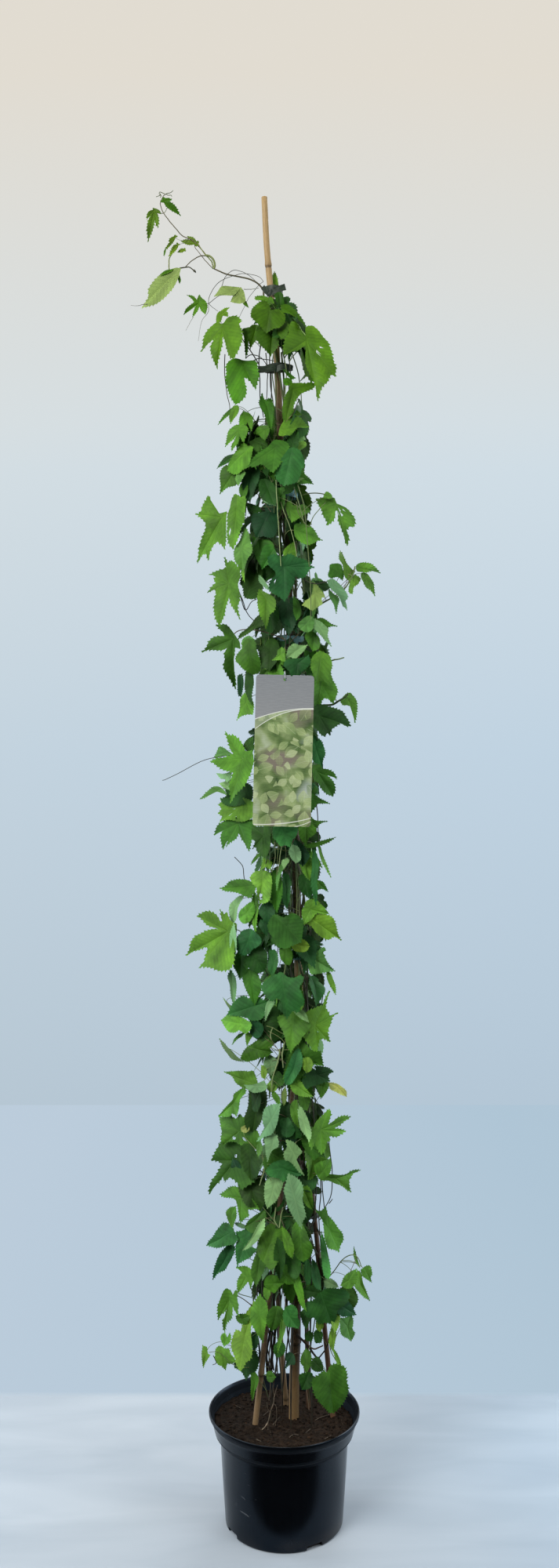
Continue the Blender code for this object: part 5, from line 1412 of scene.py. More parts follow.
# ---------------------------------------------------------------- leaves placed from the photograph
# stalk's end (px), lobe tips (px, px, half width in px), step towards the camera (1 = 11 mm), shade, and what is unusual
LEAVES = [
    # top of the plant
    (350, 366, ((350, 342), (353, 350), (354.5, 358), (355, 366), (351, 371), (346, 369), (345.5, 360), (347, 351)), 0, "light", {"y": 0.004}),
    (339, 381, ((325, 374), (330, 375), (337, 377), (342, 380), (342, 385), (334, 384), (328, 382), (325, 379)), 0, "mid", {}),
    (356, 377, ((350, 376), (356, 372), (361, 376), (362, 384), (365, 393), (358, 396), (354, 388), (351, 382)), -1, "dark", {}),
    (362, 394, ((358, 390), (366, 388), (373, 391), (379, 396), (385, 402), (391, 411), (384, 405), (376, 402), (368, 400), (360, 399)), 0, "mid", {}),
    (366, 405, ((362, 398), (368, 400), (371, 406), (372, 412), (366, 414), (361, 408)), -1, "bluedark", {}),
    (344, 396, ((344, 391), (337, 383), (329, 387), (322, 395), (320, 402), (321, 408), (327, 413), (333, 419), (340, 426), (348, 422), (356, 420), (362, 414), (364, 404), (361, 398), (355, 394), (349, 396), (345, 400)), 1, "mid", {"flat": 1, "tone": 0.85}),
    (348, 418, ((332, 414), (327, 424), (327, 436), (331, 444), (337, 450), (345, 458), (350, 452), (355, 446), (356, 438), (362, 437), (367, 430), (370, 421), (366, 411), (356, 407), (344, 407)), 0, "dark", {"warm": 0.2, "tone": 1.25}),
    (326, 420, ((326, 414), (320, 416), (317, 424), (316, 432), (318, 440), (319, 446), (323, 440), (327, 436), (331, 432), (332, 424), (330, 416)), -1, "mid", {"tone": 0.8}),
    (314, 424, ((314, 418), (310, 419), (308, 423), (311, 430), (312, 440), (313, 448), (313.5, 456), (316, 450), (317, 440), (317, 430), (320, 422), (319, 418)), -1, "mid", {}),
    (284, 417, ((283, 413), (287, 410), (290, 406), (296, 405), (303, 407), (308, 415), (306, 421), (309, 428), (310, 440), (308, 449), (303, 458), (298, 464), (293, 459), (290, 448), (287, 437), (286, 432), (284, 433), (284, 442), (281, 452), (278, 461), (276.5, 469), (272, 459), (268.5, 448), (269, 440), (273, 434), (275, 431), (270, 434), (263, 438), (256, 445), (258, 435), (259, 426), (264, 418), (270, 413), (277, 409)), 1, "light", {}),
    (283, 401, ((276, 411), (276, 402), (278, 397), (283, 394), (287, 391), (293, 391.5), (289, 397), (291, 401), (291, 407), (286, 404), (284, 405), (282, 412)), 0, "light", {}),
    (309, 463, ((309, 459), (316, 461), (324, 462), (328, 466), (329, 474), (331, 484), (329, 494), (326, 503), (320, 492), (314, 487), (311, 487), (313, 496), (315, 506), (314, 513), (309, 519), (302, 523), (297, 518), (293, 508), (290, 498), (288, 488), (289, 476), (288, 468), (292, 460), (299, 456), (305, 457)), 0, "mid", {"holes": ((322, 470, 1.0),)}),
    (391, 434, ((388, 430), (384, 427), (383, 420), (380, 414), (374, 411), (370, 416), (368, 422), (368, 430), (364, 437), (362, 446), (361, 454), (362, 462), (368, 458), (374, 454), (380, 452), (385, 447), (390, 442), (390, 450), (389.5, 458), (390, 468), (392, 478), (396, 483), (399, 489), (402, 494), (404, 505), (405.5, 516), (408, 505), (412, 497), (418, 491), (421, 483), (425, 480), (427.5, 484), (428, 476), (429, 470), (426, 464), (424, 452), (421, 442), (419, 436), (412, 428), (407, 420), (402, 415), (397, 413), (391, 415), (389.5, 420), (389.5, 427)), 1, "light", {"holes": ((409, 445, 1.3), (405, 451, 1.4)), "flat": 1}),
    (374, 497, ((373, 488), (382, 487), (390, 487), (398, 485), (403, 489), (399, 495), (392, 499), (385, 503), (380, 509), (376, 517), (372, 528), (364, 543), (361, 530), (362, 517), (364, 507), (368, 499), (370, 492)), 1, "light", {"flat": 1}),
    (367, 486, ((361, 485), (366, 481), (372, 484), (373, 491), (368, 493), (363, 492)), 0, "mid", {}),
    (366, 474, ((360, 470), (366, 472), (371, 478), (377, 484), (372, 486), (366, 480)), -1, "dark", {}),
    (362, 548, ((355, 557), (357, 546), (363, 534), (369, 529), (376, 527), (383, 528), (388, 532), (391, 537), (395, 539), (390, 541), (382, 541), (378, 545), (374, 551), (370, 556), (365, 556), (360, 558)), 1, "light", {"flat": 1}),
    (378, 526, ((372, 528), (376, 520), (380, 524), (385, 529), (379, 531)), 0, "light", {}),
    (341, 520, ((333.5, 497), (336, 505), (340, 510), (345, 512), (349, 520), (349, 535), (346, 549), (341, 540), (337, 530), (332, 520), (330, 512), (332, 505)), 0, "mid", {}),
    (345, 525, ((340, 510), (346, 508), (350, 520), (350, 545), (347, 560), (343, 550), (341, 530)), -1, "mid", {}),
    (368, 520, ((362, 512), (370, 510), (374, 520), (370, 535), (363, 545), (360, 530)), -1, "mid", {}),
    (294, 524, ((296, 520), (290, 524), (284, 530), (277.5, 540), (286, 534), (292, 530), (297, 525)), 0, "mid", {}),
    (300, 523, ((298, 517), (294, 524), (292, 531), (294, 540), (298, 535), (302, 531), (305, 525), (304, 518)), 0, "light", {}),
    (312, 532, ((310, 523), (316, 526), (321, 531), (323, 538), (322.5, 544), (321, 552), (318, 545), (316, 538), (314, 544), (311, 548), (306, 546), (305, 538), (306, 530)), 0, "light", {}),
    (304, 549, ((303, 541), (297, 543), (291, 549), (289, 558), (287, 569), (293, 564), (298, 561), (301, 556), (300, 563), (296, 567), (295, 576), (300, 571), (304, 567), (305, 561), (305.5, 556), (308, 562), (311, 567), (314, 560), (317, 552), (315, 546), (310, 543)), 1, "light", {"warm": -0.1}),
    (339, 548, ((323, 550), (328, 544), (334, 542), (341, 543), (344, 549), (342, 556), (338, 563), (333, 558), (329, 553)), 0, "mid", {"warm": 0.1}),
    (333, 566, ((337, 556), (330, 556), (324, 559), (318, 565), (321, 571), (328, 578), (336, 574), (343, 571), (340, 563)), 0, "dark", {"warm": 0.35}),
    (330, 580, ((322, 574), (332, 570), (342, 572), (338, 582), (328, 590), (322, 586)), 0, "mid", {"warm": 0.2}),
    (312, 577, ((310, 564), (316, 568), (322, 571), (322, 579), (320, 588), (318, 597), (310, 600), (304, 604), (297, 603), (289, 597), (291, 589), (295, 582), (299, 577), (304, 570)), 1, "light", {"warm": -0.1}),
    (298, 603, ((283, 596), (290, 592), (300, 596), (309, 600), (306, 612), (302, 620), (290, 622), (280, 628), (281, 617), (280, 606)), 0, "mid", {"warm": 0.3}),
    (307, 606, ((310, 598), (313, 604), (309, 612), (304, 620), (300, 610), (303, 603)), 1, "pale", {}),
    (294, 584, ((300, 579), (292, 580), (286, 583), (281, 589), (276, 596), (284, 594), (290, 592), (297, 588)), 0, "dark", {}),
    (351, 571, ((349, 561), (342, 570), (335, 576), (327, 582), (321, 590), (317, 598), (325, 600), (333, 597), (340, 602), (348, 609), (355, 601), (360, 592), (364, 585), (369, 575), (367, 565), (358, 560)), 2, "mid", {"blue": 1}),
    (374, 564, ((367, 561), (374, 551), (379, 544), (381, 553), (381, 562), (380, 571), (372, 573), (366, 571)), 1, "dark", {}),
    (383, 568, ((380, 565), (384, 562), (390, 562), (391, 567), (388, 571), (382, 574), (379, 571)), 0, "lime", {}),
    (371, 580, ((370, 571), (380, 572), (385, 578), (388, 588), (388, 596), (385, 600), (383, 608), (379, 616), (371, 620), (362, 622), (354, 616), (351, 608), (353, 598), (357, 590), (362, 581)), 3, "blue", {"flat": 1}),
    (382, 609, ((380, 603), (388, 598), (389, 605), (395, 609), (400, 616), (392, 617), (384, 619), (378, 617), (377, 609)), 0, "mid", {}),
    (380, 622, ((376, 616), (382, 618), (382, 626), (379, 631), (376, 624)), 0, "dark", {}),
    (341, 622, ((332, 611), (339, 610), (346, 615), (350, 620), (353, 628), (355, 642), (350, 647), (342, 643), (335, 638), (331, 630), (330, 620)), 1, "dark", {"flat": 1}),
    (341, 634, ((331, 630), (336, 628), (343, 633), (350, 638), (352, 645), (343, 644), (336, 640)), 2, "under", {"face": -1}),
    (320, 606, ((312, 596), (322, 594), (331, 600), (331, 612), (326, 624), (322, 636), (316, 640), (312, 630), (308, 618), (309, 606)), -1, "bluedark", {}),
    (311, 622, ((306, 618), (311, 612), (316, 620), (315, 632), (309, 636), (305, 628)), 0, "mid", {}),
    (357, 632, ((352, 622), (362, 622), (364, 632), (362, 648), (356, 650), (353, 638)), 1, "mid", {}),
    (369, 624, ((360, 618), (372, 616), (376, 622), (370, 630), (362, 630)), 1, "dark", {"warm": 0.2}),
    (370, 650, ((365, 641), (371, 638), (374, 644), (381, 644), (388, 642), (393, 646), (397, 649), (390, 655), (384, 660), (377, 666), (372, 669), (368, 661), (365, 651)), 1, "light", {}),
    # above the label
    (283, 660, ((265, 628), (268, 638), (273, 648), (279, 654), (290, 653), (289, 664), (289, 680), (289, 694), (287, 704), (283, 697), (277, 693), (272, 696), (267, 704), (264, 713), (262, 704), (256, 705), (250, 713), (252, 698), (255, 688), (259, 679), (262, 671), (260, 664), (255, 658), (248, 652), (254, 651), (257, 643), (261, 635)), 0, "light", {}),
    (302, 648, ((302, 630), (307, 634), (313, 634), (314, 642), (313, 655), (312, 668), (307, 679), (304, 690), (298, 702), (293, 697), (290, 686), (290, 672), (290, 658), (293, 648), (295, 638), (298, 631)), 1, "light", {"holes": ((293, 678, 1.8),)}),
    (308, 698, ((313, 671), (318, 682), (319, 690), (322, 700), (321, 708), (316, 714), (313, 722), (309, 728), (304, 722), (300, 716), (298, 706), (300, 697), (305, 690), (309, 680)), 2, "pale", {}),
    (338, 664, ((322, 655), (330, 653), (345, 652), (354, 658), (354, 670), (352, 682), (345, 687), (335, 685), (327, 688), (323, 676), (320, 665)), 0, "bluedark", {}),
    (320, 650, ((313, 640), (322, 642), (330, 646), (334, 652), (326, 656), (318, 656)), -1, "dark", {}),
    (330, 692, ((322, 684), (332, 688), (344, 690), (350, 700), (344, 714), (334, 724), (326, 712), (322, 698)), 0, "mid", {}),
    (378, 677, ((376, 669), (383, 667), (391, 668), (398, 671), (403, 677), (407, 684), (412, 687), (405, 689), (400, 693), (392, 696), (384, 693), (378, 688), (375, 679)), 1, "light", {}),
    (429, 642, ((413, 634), (403, 637), (405, 644), (409, 652), (411, 660), (415, 667), (417, 674), (424, 668), (427, 661), (427, 654), (430, 652), (431, 660), (432, 670), (436, 678), (439, 687), (442, 698), (445, 689), (442, 680), (445, 674), (452, 672), (453, 663), (450, 657), (444, 650), (438, 646), (433, 647), (428, 641), (427, 635), (420, 634)), 0, "light", {"flat": 1, "holes": ((433, 651, 1.0), (438, 651, 1.0), (435, 658, 1.2), (439, 675, 1.2), (431, 657, 0.9))}),
    (418, 632, ((416, 627), (413, 632), (412, 636), (420, 637), (424, 633), (421, 628)), 0, "light", {}),
    (443, 730, ((435.5, 696), (439, 706), (441, 713), (444, 719), (450, 726), (453, 729), (448, 736), (446, 744), (440, 738), (438, 730), (437, 720), (433, 712), (433, 705)), 0, "light", {}),
    (431, 729, ((435, 719), (428, 718), (421, 720), (420, 727), (418, 735), (422, 739), (430, 737), (437, 741), (439, 732), (437, 724)), -1, "mid", {}),
    (458, 725, ((455, 729), (454, 722), (459, 718), (466, 717), (474, 718), (480, 722), (487, 728), (481, 726), (474, 727), (468, 730), (461, 730)), 0, "light", {}),
    (465, 736, ((461, 731), (468, 731), (473, 737), (477, 743), (478, 750), (479, 759), (473, 753), (467, 750), (463, 743), (460, 737)), 0, "light", {}),
    (452, 739, ((453, 732), (460, 737), (457, 745), (451, 750), (449, 759), (444, 757), (445, 748), (447, 739)), 0, "lime", {"warm": -0.1}),
    (426, 747, ((417, 741), (424, 738), (431, 743), (437, 749), (442, 756), (444, 762), (440, 767), (438, 773), (434, 763), (428, 757), (423, 753), (419, 748)), 1, "under", {"face": -1}),
    (425, 761, ((419, 751), (425, 757), (433, 763), (431, 772), (429, 783), (426, 772), (421, 764), (419, 758)), 0, "pale", {}),
    (438, 767, ((434, 761), (441, 768), (443, 778), (437, 772)), 0, "under", {"face": -1}),
    (402, 757, ((400, 742), (404, 745), (408, 750), (413, 757), (415, 761), (410, 764), (411, 771), (405, 775), (398, 780), (391, 776), (385, 773), (389, 768), (394, 764), (398, 757), (399, 750)), 1, "young", {"face": -1, "blue": 1}),
    (408, 746, ((400, 741), (408, 741), (416, 741), (422, 748), (415, 754), (410, 752), (404, 747)), 0, "dark", {}),
    (292, 744, ((286, 707), (290, 716), (296, 714), (303, 722), (306, 728), (307, 737), (304, 748), (306, 758), (307, 768), (304, 777), (307, 793), (301, 782), (296, 775), (293, 763), (291, 768), (288, 778), (286, 788), (280, 800), (275, 790), (273, 780), (273, 768), (275, 756), (272, 750), (264, 755), (270, 746), (275, 742), (272, 738), (274, 733), (266, 729), (276, 726), (283, 724), (288, 722), (286, 714)), 1, "light", {"flat": 1}),
    (340, 765, ((330, 750), (340, 756), (349, 762), (352, 770), (350, 780), (344, 785), (342, 795), (339, 802), (335, 792), (331, 784), (329, 775), (328, 762)), 2, "light", {}),
    (338, 743, ((330, 732), (336, 738), (341, 746), (349, 757), (340, 752), (334, 746), (330, 740)), 3, "under", {"face": -1}),
    (362, 723, ((342, 711), (350, 707), (360, 710), (370, 706), (378, 710), (386, 712), (392, 715), (398, 716), (394, 720), (402, 722), (395, 726), (392, 732), (387, 737), (380, 737), (377, 732), (376, 741), (372, 750), (368, 760), (363, 767), (356, 762), (348, 758), (343, 752), (345, 742), (352, 735), (349, 728), (343, 722)), 3, "blue", {"flat": 1, "tone": 1.25, "holes": ((351, 743, 1.4),)}),
    (369, 703, ((362, 702), (368, 695), (374, 690), (377, 698), (378, 708), (370, 713), (361, 712)), 1, "light", {}),
    (346, 706, ((336, 698), (344, 694), (350, 700), (355, 712), (345, 718), (334, 726), (331, 714)), 1, "mid", {"warm": -0.15}),
    (322, 740, ((322, 708), (332, 706), (336, 722), (334, 740), (336, 752), (330, 764), (322, 767), (312, 764), (310, 752), (306, 742), (310, 728), (314, 716)), -1, "dark", {"warm": 0.35}),
    (325, 797, ((330, 784), (336, 789), (337, 797), (326, 802), (320, 806), (313, 810), (303, 814), (305, 808), (313, 803), (320, 796), (325, 789)), 0, "dark", {"warm": 0.5}),
    (345, 780, ((338, 770), (352, 772), (356, 786), (352, 800), (344, 810), (337, 796), (336, 782)), -1, "dark", {}),
    (366, 775, ((358, 765), (368, 762), (376, 768), (380, 782), (376, 800), (368, 812), (360, 798), (357, 780)), -1, "bluedark", {}),
    (381, 776, ((374, 758), (381, 766), (384, 778), (382, 788), (378, 792), (374, 780)), 0, "mid", {}),
    (297, 815, ((274, 795), (281, 795), (288, 796), (294, 802), (299, 809), (303, 815), (306, 820), (307, 829), (300, 826), (299, 838), (296, 842), (296, 850), (298, 858), (300, 866), (300, 879), (294, 868), (289, 860), (285, 852), (287, 843), (286, 835), (290, 827), (282, 830), (272, 829), (264, 829), (257, 831), (263, 824), (266, 817), (272, 812), (280, 811), (286, 811), (284, 806), (279, 801)), 0, "mid", {"flat": 1}),
    (318, 832, ((320, 815), (326, 820), (327, 828), (330, 836), (332, 845), (331, 857), (322, 860), (312, 855), (306, 849), (300, 841), (303, 833), (308, 827), (309, 820), (314, 815)), 1, "mid", {"warm": 0.15}),
    (316, 820, ((310, 814), (318, 811), (325, 816), (322, 824), (314, 826), (308, 822)), 0, "pale", {}),
    (345, 830, ((333, 815), (346, 812), (356, 822), (354, 842), (344, 856), (334, 850), (330, 832)), -1, "dark", {"warm": 0.3}),
    (391, 795, ((380, 797), (386, 790), (393, 785), (399, 787), (401, 795), (398, 804), (390, 807), (383, 804)), 1, "pale", {}),
    (408, 801, ((399, 788), (408, 792), (414, 797), (419, 803), (418, 811), (423, 824), (415, 818), (410, 812), (404, 806), (399, 800)), 1, "under", {"face": -1}),
    (408, 794, ((400, 790), (410, 788), (417, 791), (423, 795), (431, 797), (421, 799), (418, 803), (411, 799), (403, 796)), 0, "mid", {}),
    (400, 815, ((395, 804), (403, 808), (408, 816), (407, 827), (399, 831), (393, 822), (389, 811)), 0, "light", {}),
    (378, 830, ((368, 826), (375, 821), (383, 823), (392, 823), (388, 830), (382, 836), (376, 841), (370, 838), (364, 840), (366, 832)), 2, "under", {"face": -1}),
    (358, 835, ((359, 825), (364, 829), (363, 836), (365, 846), (358, 843), (347, 842), (353, 836), (354, 830)), 2, "light", {}),
    (380, 846, ((365, 842), (374, 840), (384, 839), (394, 835), (396, 846), (390, 853), (384, 858), (381, 866), (377, 875), (372, 864), (368, 856), (362, 849)), 4.6, "blue", {"top": 1, "flat": 1}),
    (409, 842, ((402, 834), (408, 830), (415, 832), (421, 836), (423, 842), (424, 850), (422, 858), (425, 869), (419, 873), (411, 868), (404, 873), (400, 862), (396, 852), (397, 841)), 1, "light", {}),
    (393, 850, ((388, 840), (396, 838), (401, 848), (400, 860), (392, 858), (386, 852)), 0, "dark", {}),
    (307, 870, ((303, 862), (309, 859), (311, 870), (310, 880), (308, 889), (304, 887), (303, 876)), 0, "bluedark", {}),
    (318, 868, ((313, 856), (321, 856), (324, 870), (322, 885), (321, 900), (316, 890), (312, 877)), 0, "dark", {"warm": 0.1}),
    # beside the label
    (314, 896, ((316, 881), (321, 890), (324, 900), (323, 912), (316, 912), (311, 913), (306, 915), (302, 919), (305, 908), (306, 900), (306, 892), (310, 885)), 1, "light", {}),
    (410, 872, ((399, 858), (408, 854), (416, 857), (424, 866), (429, 874), (431, 882), (429, 888), (425, 898), (419, 892), (412, 892), (409, 900), (404, 906), (399, 900)), 0, "light", {}),
    (444, 893, ((434, 894), (440, 886), (446, 883), (451, 887), (455, 893), (456, 901), (455, 912), (453, 922), (451, 910), (449, 903), (443, 900), (437, 900)), 0, "light", {}),
    (407, 913, ((399, 903), (410, 898), (418, 900), (425, 902), (432, 904), (438, 907), (442, 913), (446, 919), (449, 926), (442, 925), (436, 922), (430, 926), (424, 930), (421, 938), (417, 936), (413, 940), (408, 937), (404, 931), (399, 925)), 1, "dark", {"warm": 0.1, "tone": 1.25}),
    (403, 955, ((399, 938), (405, 940), (411, 946), (414, 955), (415, 962), (412, 970), (411, 979), (405, 975), (399, 968)), 0, "blue", {"tone": 1.5}),
    (405, 985, ((399, 977), (408, 975), (411, 980), (418, 981), (426, 985), (431, 994), (424, 989), (416, 986), (412, 986), (419, 990), (425, 996), (428, 1003), (428, 1010), (425, 1016), (419, 1014), (413, 1010), (408, 1003), (405, 998), (402, 997), (399, 990)), 1, "mid", {}),
    (401, 1020, ((396, 1011), (403, 1014), (408, 1018), (414, 1021), (421, 1025), (411, 1025), (404, 1026), (400, 1031), (396, 1029)), 0, "mid", {}),
    (400, 1050, ((396, 1041), (402, 1046), (409, 1047), (419, 1047.5), (410, 1050), (405, 1055), (402, 1061), (396, 1056)), 0, "mid", {}),
    (310, 968, ((285, 931.5), (291, 937), (296, 936), (303, 941), (308, 947), (311, 953), (314, 958), (322, 957), (324, 970), (322, 980), (319, 990), (314, 999), (309, 1006), (303, 1011), (298, 1018), (294, 1025), (294, 1013), (292, 1003), (295, 994), (297, 985), (291, 984), (284, 982), (277, 978), (272, 974), (266, 970), (275, 967), (284, 966), (292, 963), (297, 961), (293, 955), (290, 947), (288, 940)), 2, "light", {"flat": 1, "warm": -0.1}),
    (286, 960, ((280, 952), (286, 954), (291, 958), (297, 962), (288, 964), (280, 966), (271, 967), (275, 961), (277, 956)), 1, "pale", {"face": -1}),
    (289, 989, ((275, 986), (282, 987), (289, 986), (296, 983), (295, 992), (290, 998), (286, 994), (281, 993)), 1, "under", {"face": -1}),
    (288, 1001, ((279, 999), (288, 996), (296, 992), (296, 1002), (292, 1007), (284, 1004)), 0, "under", {"face": -1}),
    (280, 1008, ((254, 1020), (261, 1012), (268, 1006), (273, 1003), (281, 1004), (287, 1009), (290, 1014), (284, 1012), (277, 1010), (270, 1012), (262, 1017)), 0, "pale", {"face": -1}),
    (306, 1014, ((300, 1002), (312, 998), (322, 1004), (322, 1020), (312, 1026), (296, 1028), (286, 1026), (280, 1020), (288, 1015), (286, 1005), (292, 1008)), 0, "dark", {}),
    (316, 950, ((310, 952), (316, 942), (323, 940), (324, 956), (318, 960)), -1, "dark", {"warm": 0.2}),
    (303, 1032, ((279, 1018), (290, 1022), (300, 1018), (312, 1018), (324, 1024), (324, 1040), (316, 1046), (306, 1048), (296, 1046), (288, 1046), (279, 1049), (283, 1042), (277, 1038), (281, 1032), (277, 1026), (282, 1023)), 1, "light", {"holes": ((299, 1032, 0.9), (293, 1040, 0.9), (302, 1043, 0.9))}),
    (304, 1050, ((290, 1044), (283, 1049), (276, 1054), (272, 1066), (279, 1060), (286, 1057), (282, 1063), (281, 1070), (284, 1084), (288, 1073), (291, 1061), (292, 1068), (288, 1080), (295, 1074), (302, 1069), (305, 1062), (309, 1070), (313, 1075), (319, 1085), (321, 1074), (324, 1064), (325, 1047), (312, 1044), (300, 1042)), 1, "mid", {}),
    # below the label
    (390, 1059, ((382, 1053), (392, 1049), (400, 1053), (404, 1060), (399, 1066), (393, 1070), (391, 1079), (385, 1072), (381, 1064)), 1, "light", {}),
    (336, 1066, ((321, 1054), (346, 1054), (345, 1070), (344, 1082), (339, 1096), (333, 1090), (328, 1086), (326, 1080), (322, 1083), (325, 1074), (321, 1068)), 3, "dark", {"warm": 0.25, "tone": 1.1}),
    (363, 1064, ((351, 1054), (377, 1054), (379, 1064), (373, 1072), (370, 1081), (364, 1078), (358, 1079), (352, 1072), (348, 1066)), 4, "blue", {"tone": 1.5}),
    (382, 1086, ((376, 1070), (384, 1075), (390, 1082), (395, 1090), (392, 1098), (386, 1105), (380, 1100), (372, 1096), (370, 1086)), 1, "bluedark", {}),
    (376, 1088, ((372, 1077), (380, 1080), (384, 1088), (383, 1097), (377, 1101), (371, 1094), (368, 1086)), 2, "under", {"face": -1}),
    (400, 1077, ((429, 1068.5), (420, 1074), (410, 1078), (400, 1081), (392, 1081), (385, 1078), (393, 1076), (404, 1074), (416, 1071)), 0, "mid", {}),
    (409, 1086, ((405, 1076), (409, 1080), (411, 1088), (414, 1096), (418, 1106), (422, 1119), (415, 1107), (410, 1098), (407, 1088)), 0, "pale", {}),
    (402, 1102, ((401, 1082), (405, 1092), (407, 1102), (406, 1112), (404, 1124), (405, 1136), (403, 1154), (399, 1140), (397, 1128), (397, 1115), (398, 1104), (398, 1094)), 1, "blue", {"tone": 1.4}),
    (408, 1128, ((403, 1122), (411, 1124), (415, 1129), (419, 1138), (411, 1134), (405, 1135)), 0, "mid", {}),
    (390, 1104, ((386, 1096), (393, 1094), (397, 1102), (397, 1112), (395, 1123), (390, 1118), (385, 1110), (382, 1102)), 0, "light", {}),
    (389, 1126, ((381, 1118), (392, 1115), (397, 1122), (399, 1136), (396, 1148), (388, 1141), (382, 1134)), 0, "dark", {}),
    (339, 1100, ((336, 1092), (342, 1096), (347, 1100), (345, 1109), (339, 1106), (331, 1111), (334, 1102)), 2, "light", {"warm": 0.15}),
    (364, 1100, ((359, 1099), (366, 1094), (369, 1098), (365, 1104), (362, 1109)), 2, "under", {"face": -1}),
    (357, 1112, ((361, 1097), (362, 1106), (357, 1118), (353, 1136), (352, 1122), (355, 1109)), 2, "pale", {"face": -1}),
    (327, 1090, ((334, 1086), (328, 1090), (323, 1096), (320, 1103), (326, 1098), (332, 1091)), 1, "mid", {}),
    (335, 1122, ((331, 1111), (338, 1110), (345, 1114), (347, 1122), (346, 1134), (344, 1146), (338, 1151), (331, 1152), (328, 1140), (327, 1132), (322, 1127), (319, 1119), (325, 1112)), 1, "lime", {"warm": -0.15, "holes": ((333, 1142, 3.0),)}),
    (352, 1130, ((346, 1110), (356, 1110), (360, 1124), (360, 1140), (356, 1156), (352, 1168), (348, 1152), (345, 1138), (345, 1124)), 1, "mid", {"warm": -0.1}),
    (365, 1134, ((361, 1114), (369, 1117), (371, 1130), (370, 1144), (366, 1160), (361, 1150), (359, 1134)), 0, "blue", {}),
    (342, 1160, ((339, 1148), (350, 1150), (352, 1165), (348, 1180), (341, 1170)), -1, "mid", {}),
    (313, 1131, ((295, 1124), (303, 1122), (313, 1122), (320, 1124), (327, 1128), (325, 1136), (320, 1144), (312, 1142), (303, 1139), (294, 1138), (287, 1138), (279, 1135), (286, 1132), (290, 1127)), 1, "mid", {}),
    (300, 1158, ((312, 1142), (305, 1143), (299, 1148), (293, 1154), (292, 1162), (294, 1172), (298, 1178), (302, 1170), (303, 1160), (306, 1152)), 0, "under", {"face": -1}),
    (315, 1164, ((319, 1151), (311, 1157), (306, 1162), (304, 1170), (309, 1177), (316, 1177), (322, 1170), (326, 1160), (324, 1152)), 1, "light", {}),
    (325, 1160, ((324, 1136), (329, 1146), (330, 1158), (328, 1172), (326, 1190), (322, 1176), (321, 1160), (321, 1148)), 0, "light", {}),
    (341, 1163, ((332, 1156), (340, 1149), (347, 1153), (351, 1162), (348, 1172), (342, 1179), (335, 1172), (330, 1164)), 1, "bluedark", {}),
    (337, 1180, ((332, 1173), (341, 1175), (344, 1184), (340, 1194), (334, 1187), (330, 1180)), 1, "bluedark", {}),
    (365, 1182, ((350, 1167), (362, 1170), (372, 1165), (380, 1168), (387, 1176), (386, 1190), (384, 1201), (374, 1204), (364, 1207), (354, 1204), (350, 1196), (343, 1188), (342, 1177)), 3, "dark", {"flat": 1}),
    (383, 1206, ((376, 1198), (384, 1197), (391, 1201), (395, 1207), (391, 1213), (383, 1214), (377, 1213), (372, 1207)), 2, "lime", {"tone": 0.8}),
    (396, 1160, ((391, 1149), (397, 1147), (404, 1148), (410, 1154), (415, 1159), (420, 1166), (412, 1166), (404, 1165), (398, 1171), (392, 1176), (385, 1180), (385, 1170), (385, 1162), (388, 1155)), 1, "light", {}),
    (409, 1180, ((393, 1171), (402, 1167), (410, 1166), (418, 1167), (424, 1170), (428, 1177), (430, 1186), (432, 1193), (436, 1200), (427, 1195), (421, 1198), (416, 1198), (409, 1194), (402, 1188), (398, 1182), (391, 1177)), 1, "light", {"warm": 0.15}),
    (404, 1226, ((395, 1216), (402, 1214), (408, 1211), (412, 1208), (416, 1211), (411, 1215), (414, 1218), (416, 1224), (421, 1232), (428, 1240), (418, 1240), (410, 1241), (402, 1242), (396, 1241), (393, 1232), (393, 1222)), 0, "pale", {}),
    (421, 1249, ((416, 1237), (422, 1242), (425, 1249), (428, 1258), (428, 1268), (421, 1257), (417, 1248)), 0, "light", {}),
    (291, 1188, ((280, 1160), (284, 1166), (289, 1164), (293, 1172), (297, 1176), (302, 1178), (302, 1190), (300, 1200), (300, 1220), (296, 1230), (288, 1234), (280, 1235), (270, 1233), (262, 1233), (253, 1235), (259, 1230), (261, 1222), (264, 1213), (263, 1209), (258, 1211), (250, 1215), (242, 1217), (235, 1223), (240, 1213), (241, 1206), (246, 1198), (254, 1193), (264, 1188), (272, 1186), (279, 1186), (272, 1184), (264, 1182), (259, 1178), (255, 1174), (249, 1171), (257, 1166), (263, 1164), (271, 1165), (276, 1169), (280, 1176), (283, 1175), (281, 1168)), 1, "light", {"flat": 1, "tone": 0.9, "holes": ((265, 1174, 1.4), (269, 1174, 1.3))}),
    (297, 1198, ((298, 1178), (301, 1190), (302, 1206), (300, 1223), (296, 1216), (293, 1204), (293, 1192)), 3, "under", {"face": -1}),
    (316, 1200, ((310, 1187), (320, 1185), (328, 1190), (334, 1197), (330, 1205), (322, 1210), (318, 1216), (308, 1219), (302, 1212), (300, 1200), (305, 1192)), 2, "bluedark", {"tone": 1.7}),
    (328, 1224, ((322, 1211), (332, 1207), (340, 1214), (341, 1228), (337, 1239), (328, 1241), (318, 1236), (313, 1226)), 1, "dark", {}),
    (307, 1228, ((302, 1216), (314, 1215), (318, 1228), (314, 1240), (306, 1249), (302, 1240), (297, 1230)), 1, "mid", {}),
    (348, 1228, ((343, 1213), (352, 1213), (355, 1226), (351, 1238), (346, 1245), (341, 1232)), 1, "blue", {}),
    (364, 1216, ((357, 1205), (368, 1203), (373, 1216), (371, 1229), (364, 1231), (357, 1220)), 1, "mid", {}),
    (296, 1255, ((294, 1237), (300, 1246), (302, 1256), (301, 1270), (299, 1283), (295, 1270), (293, 1256), (290, 1246)), 0, "under", {"face": -1}),
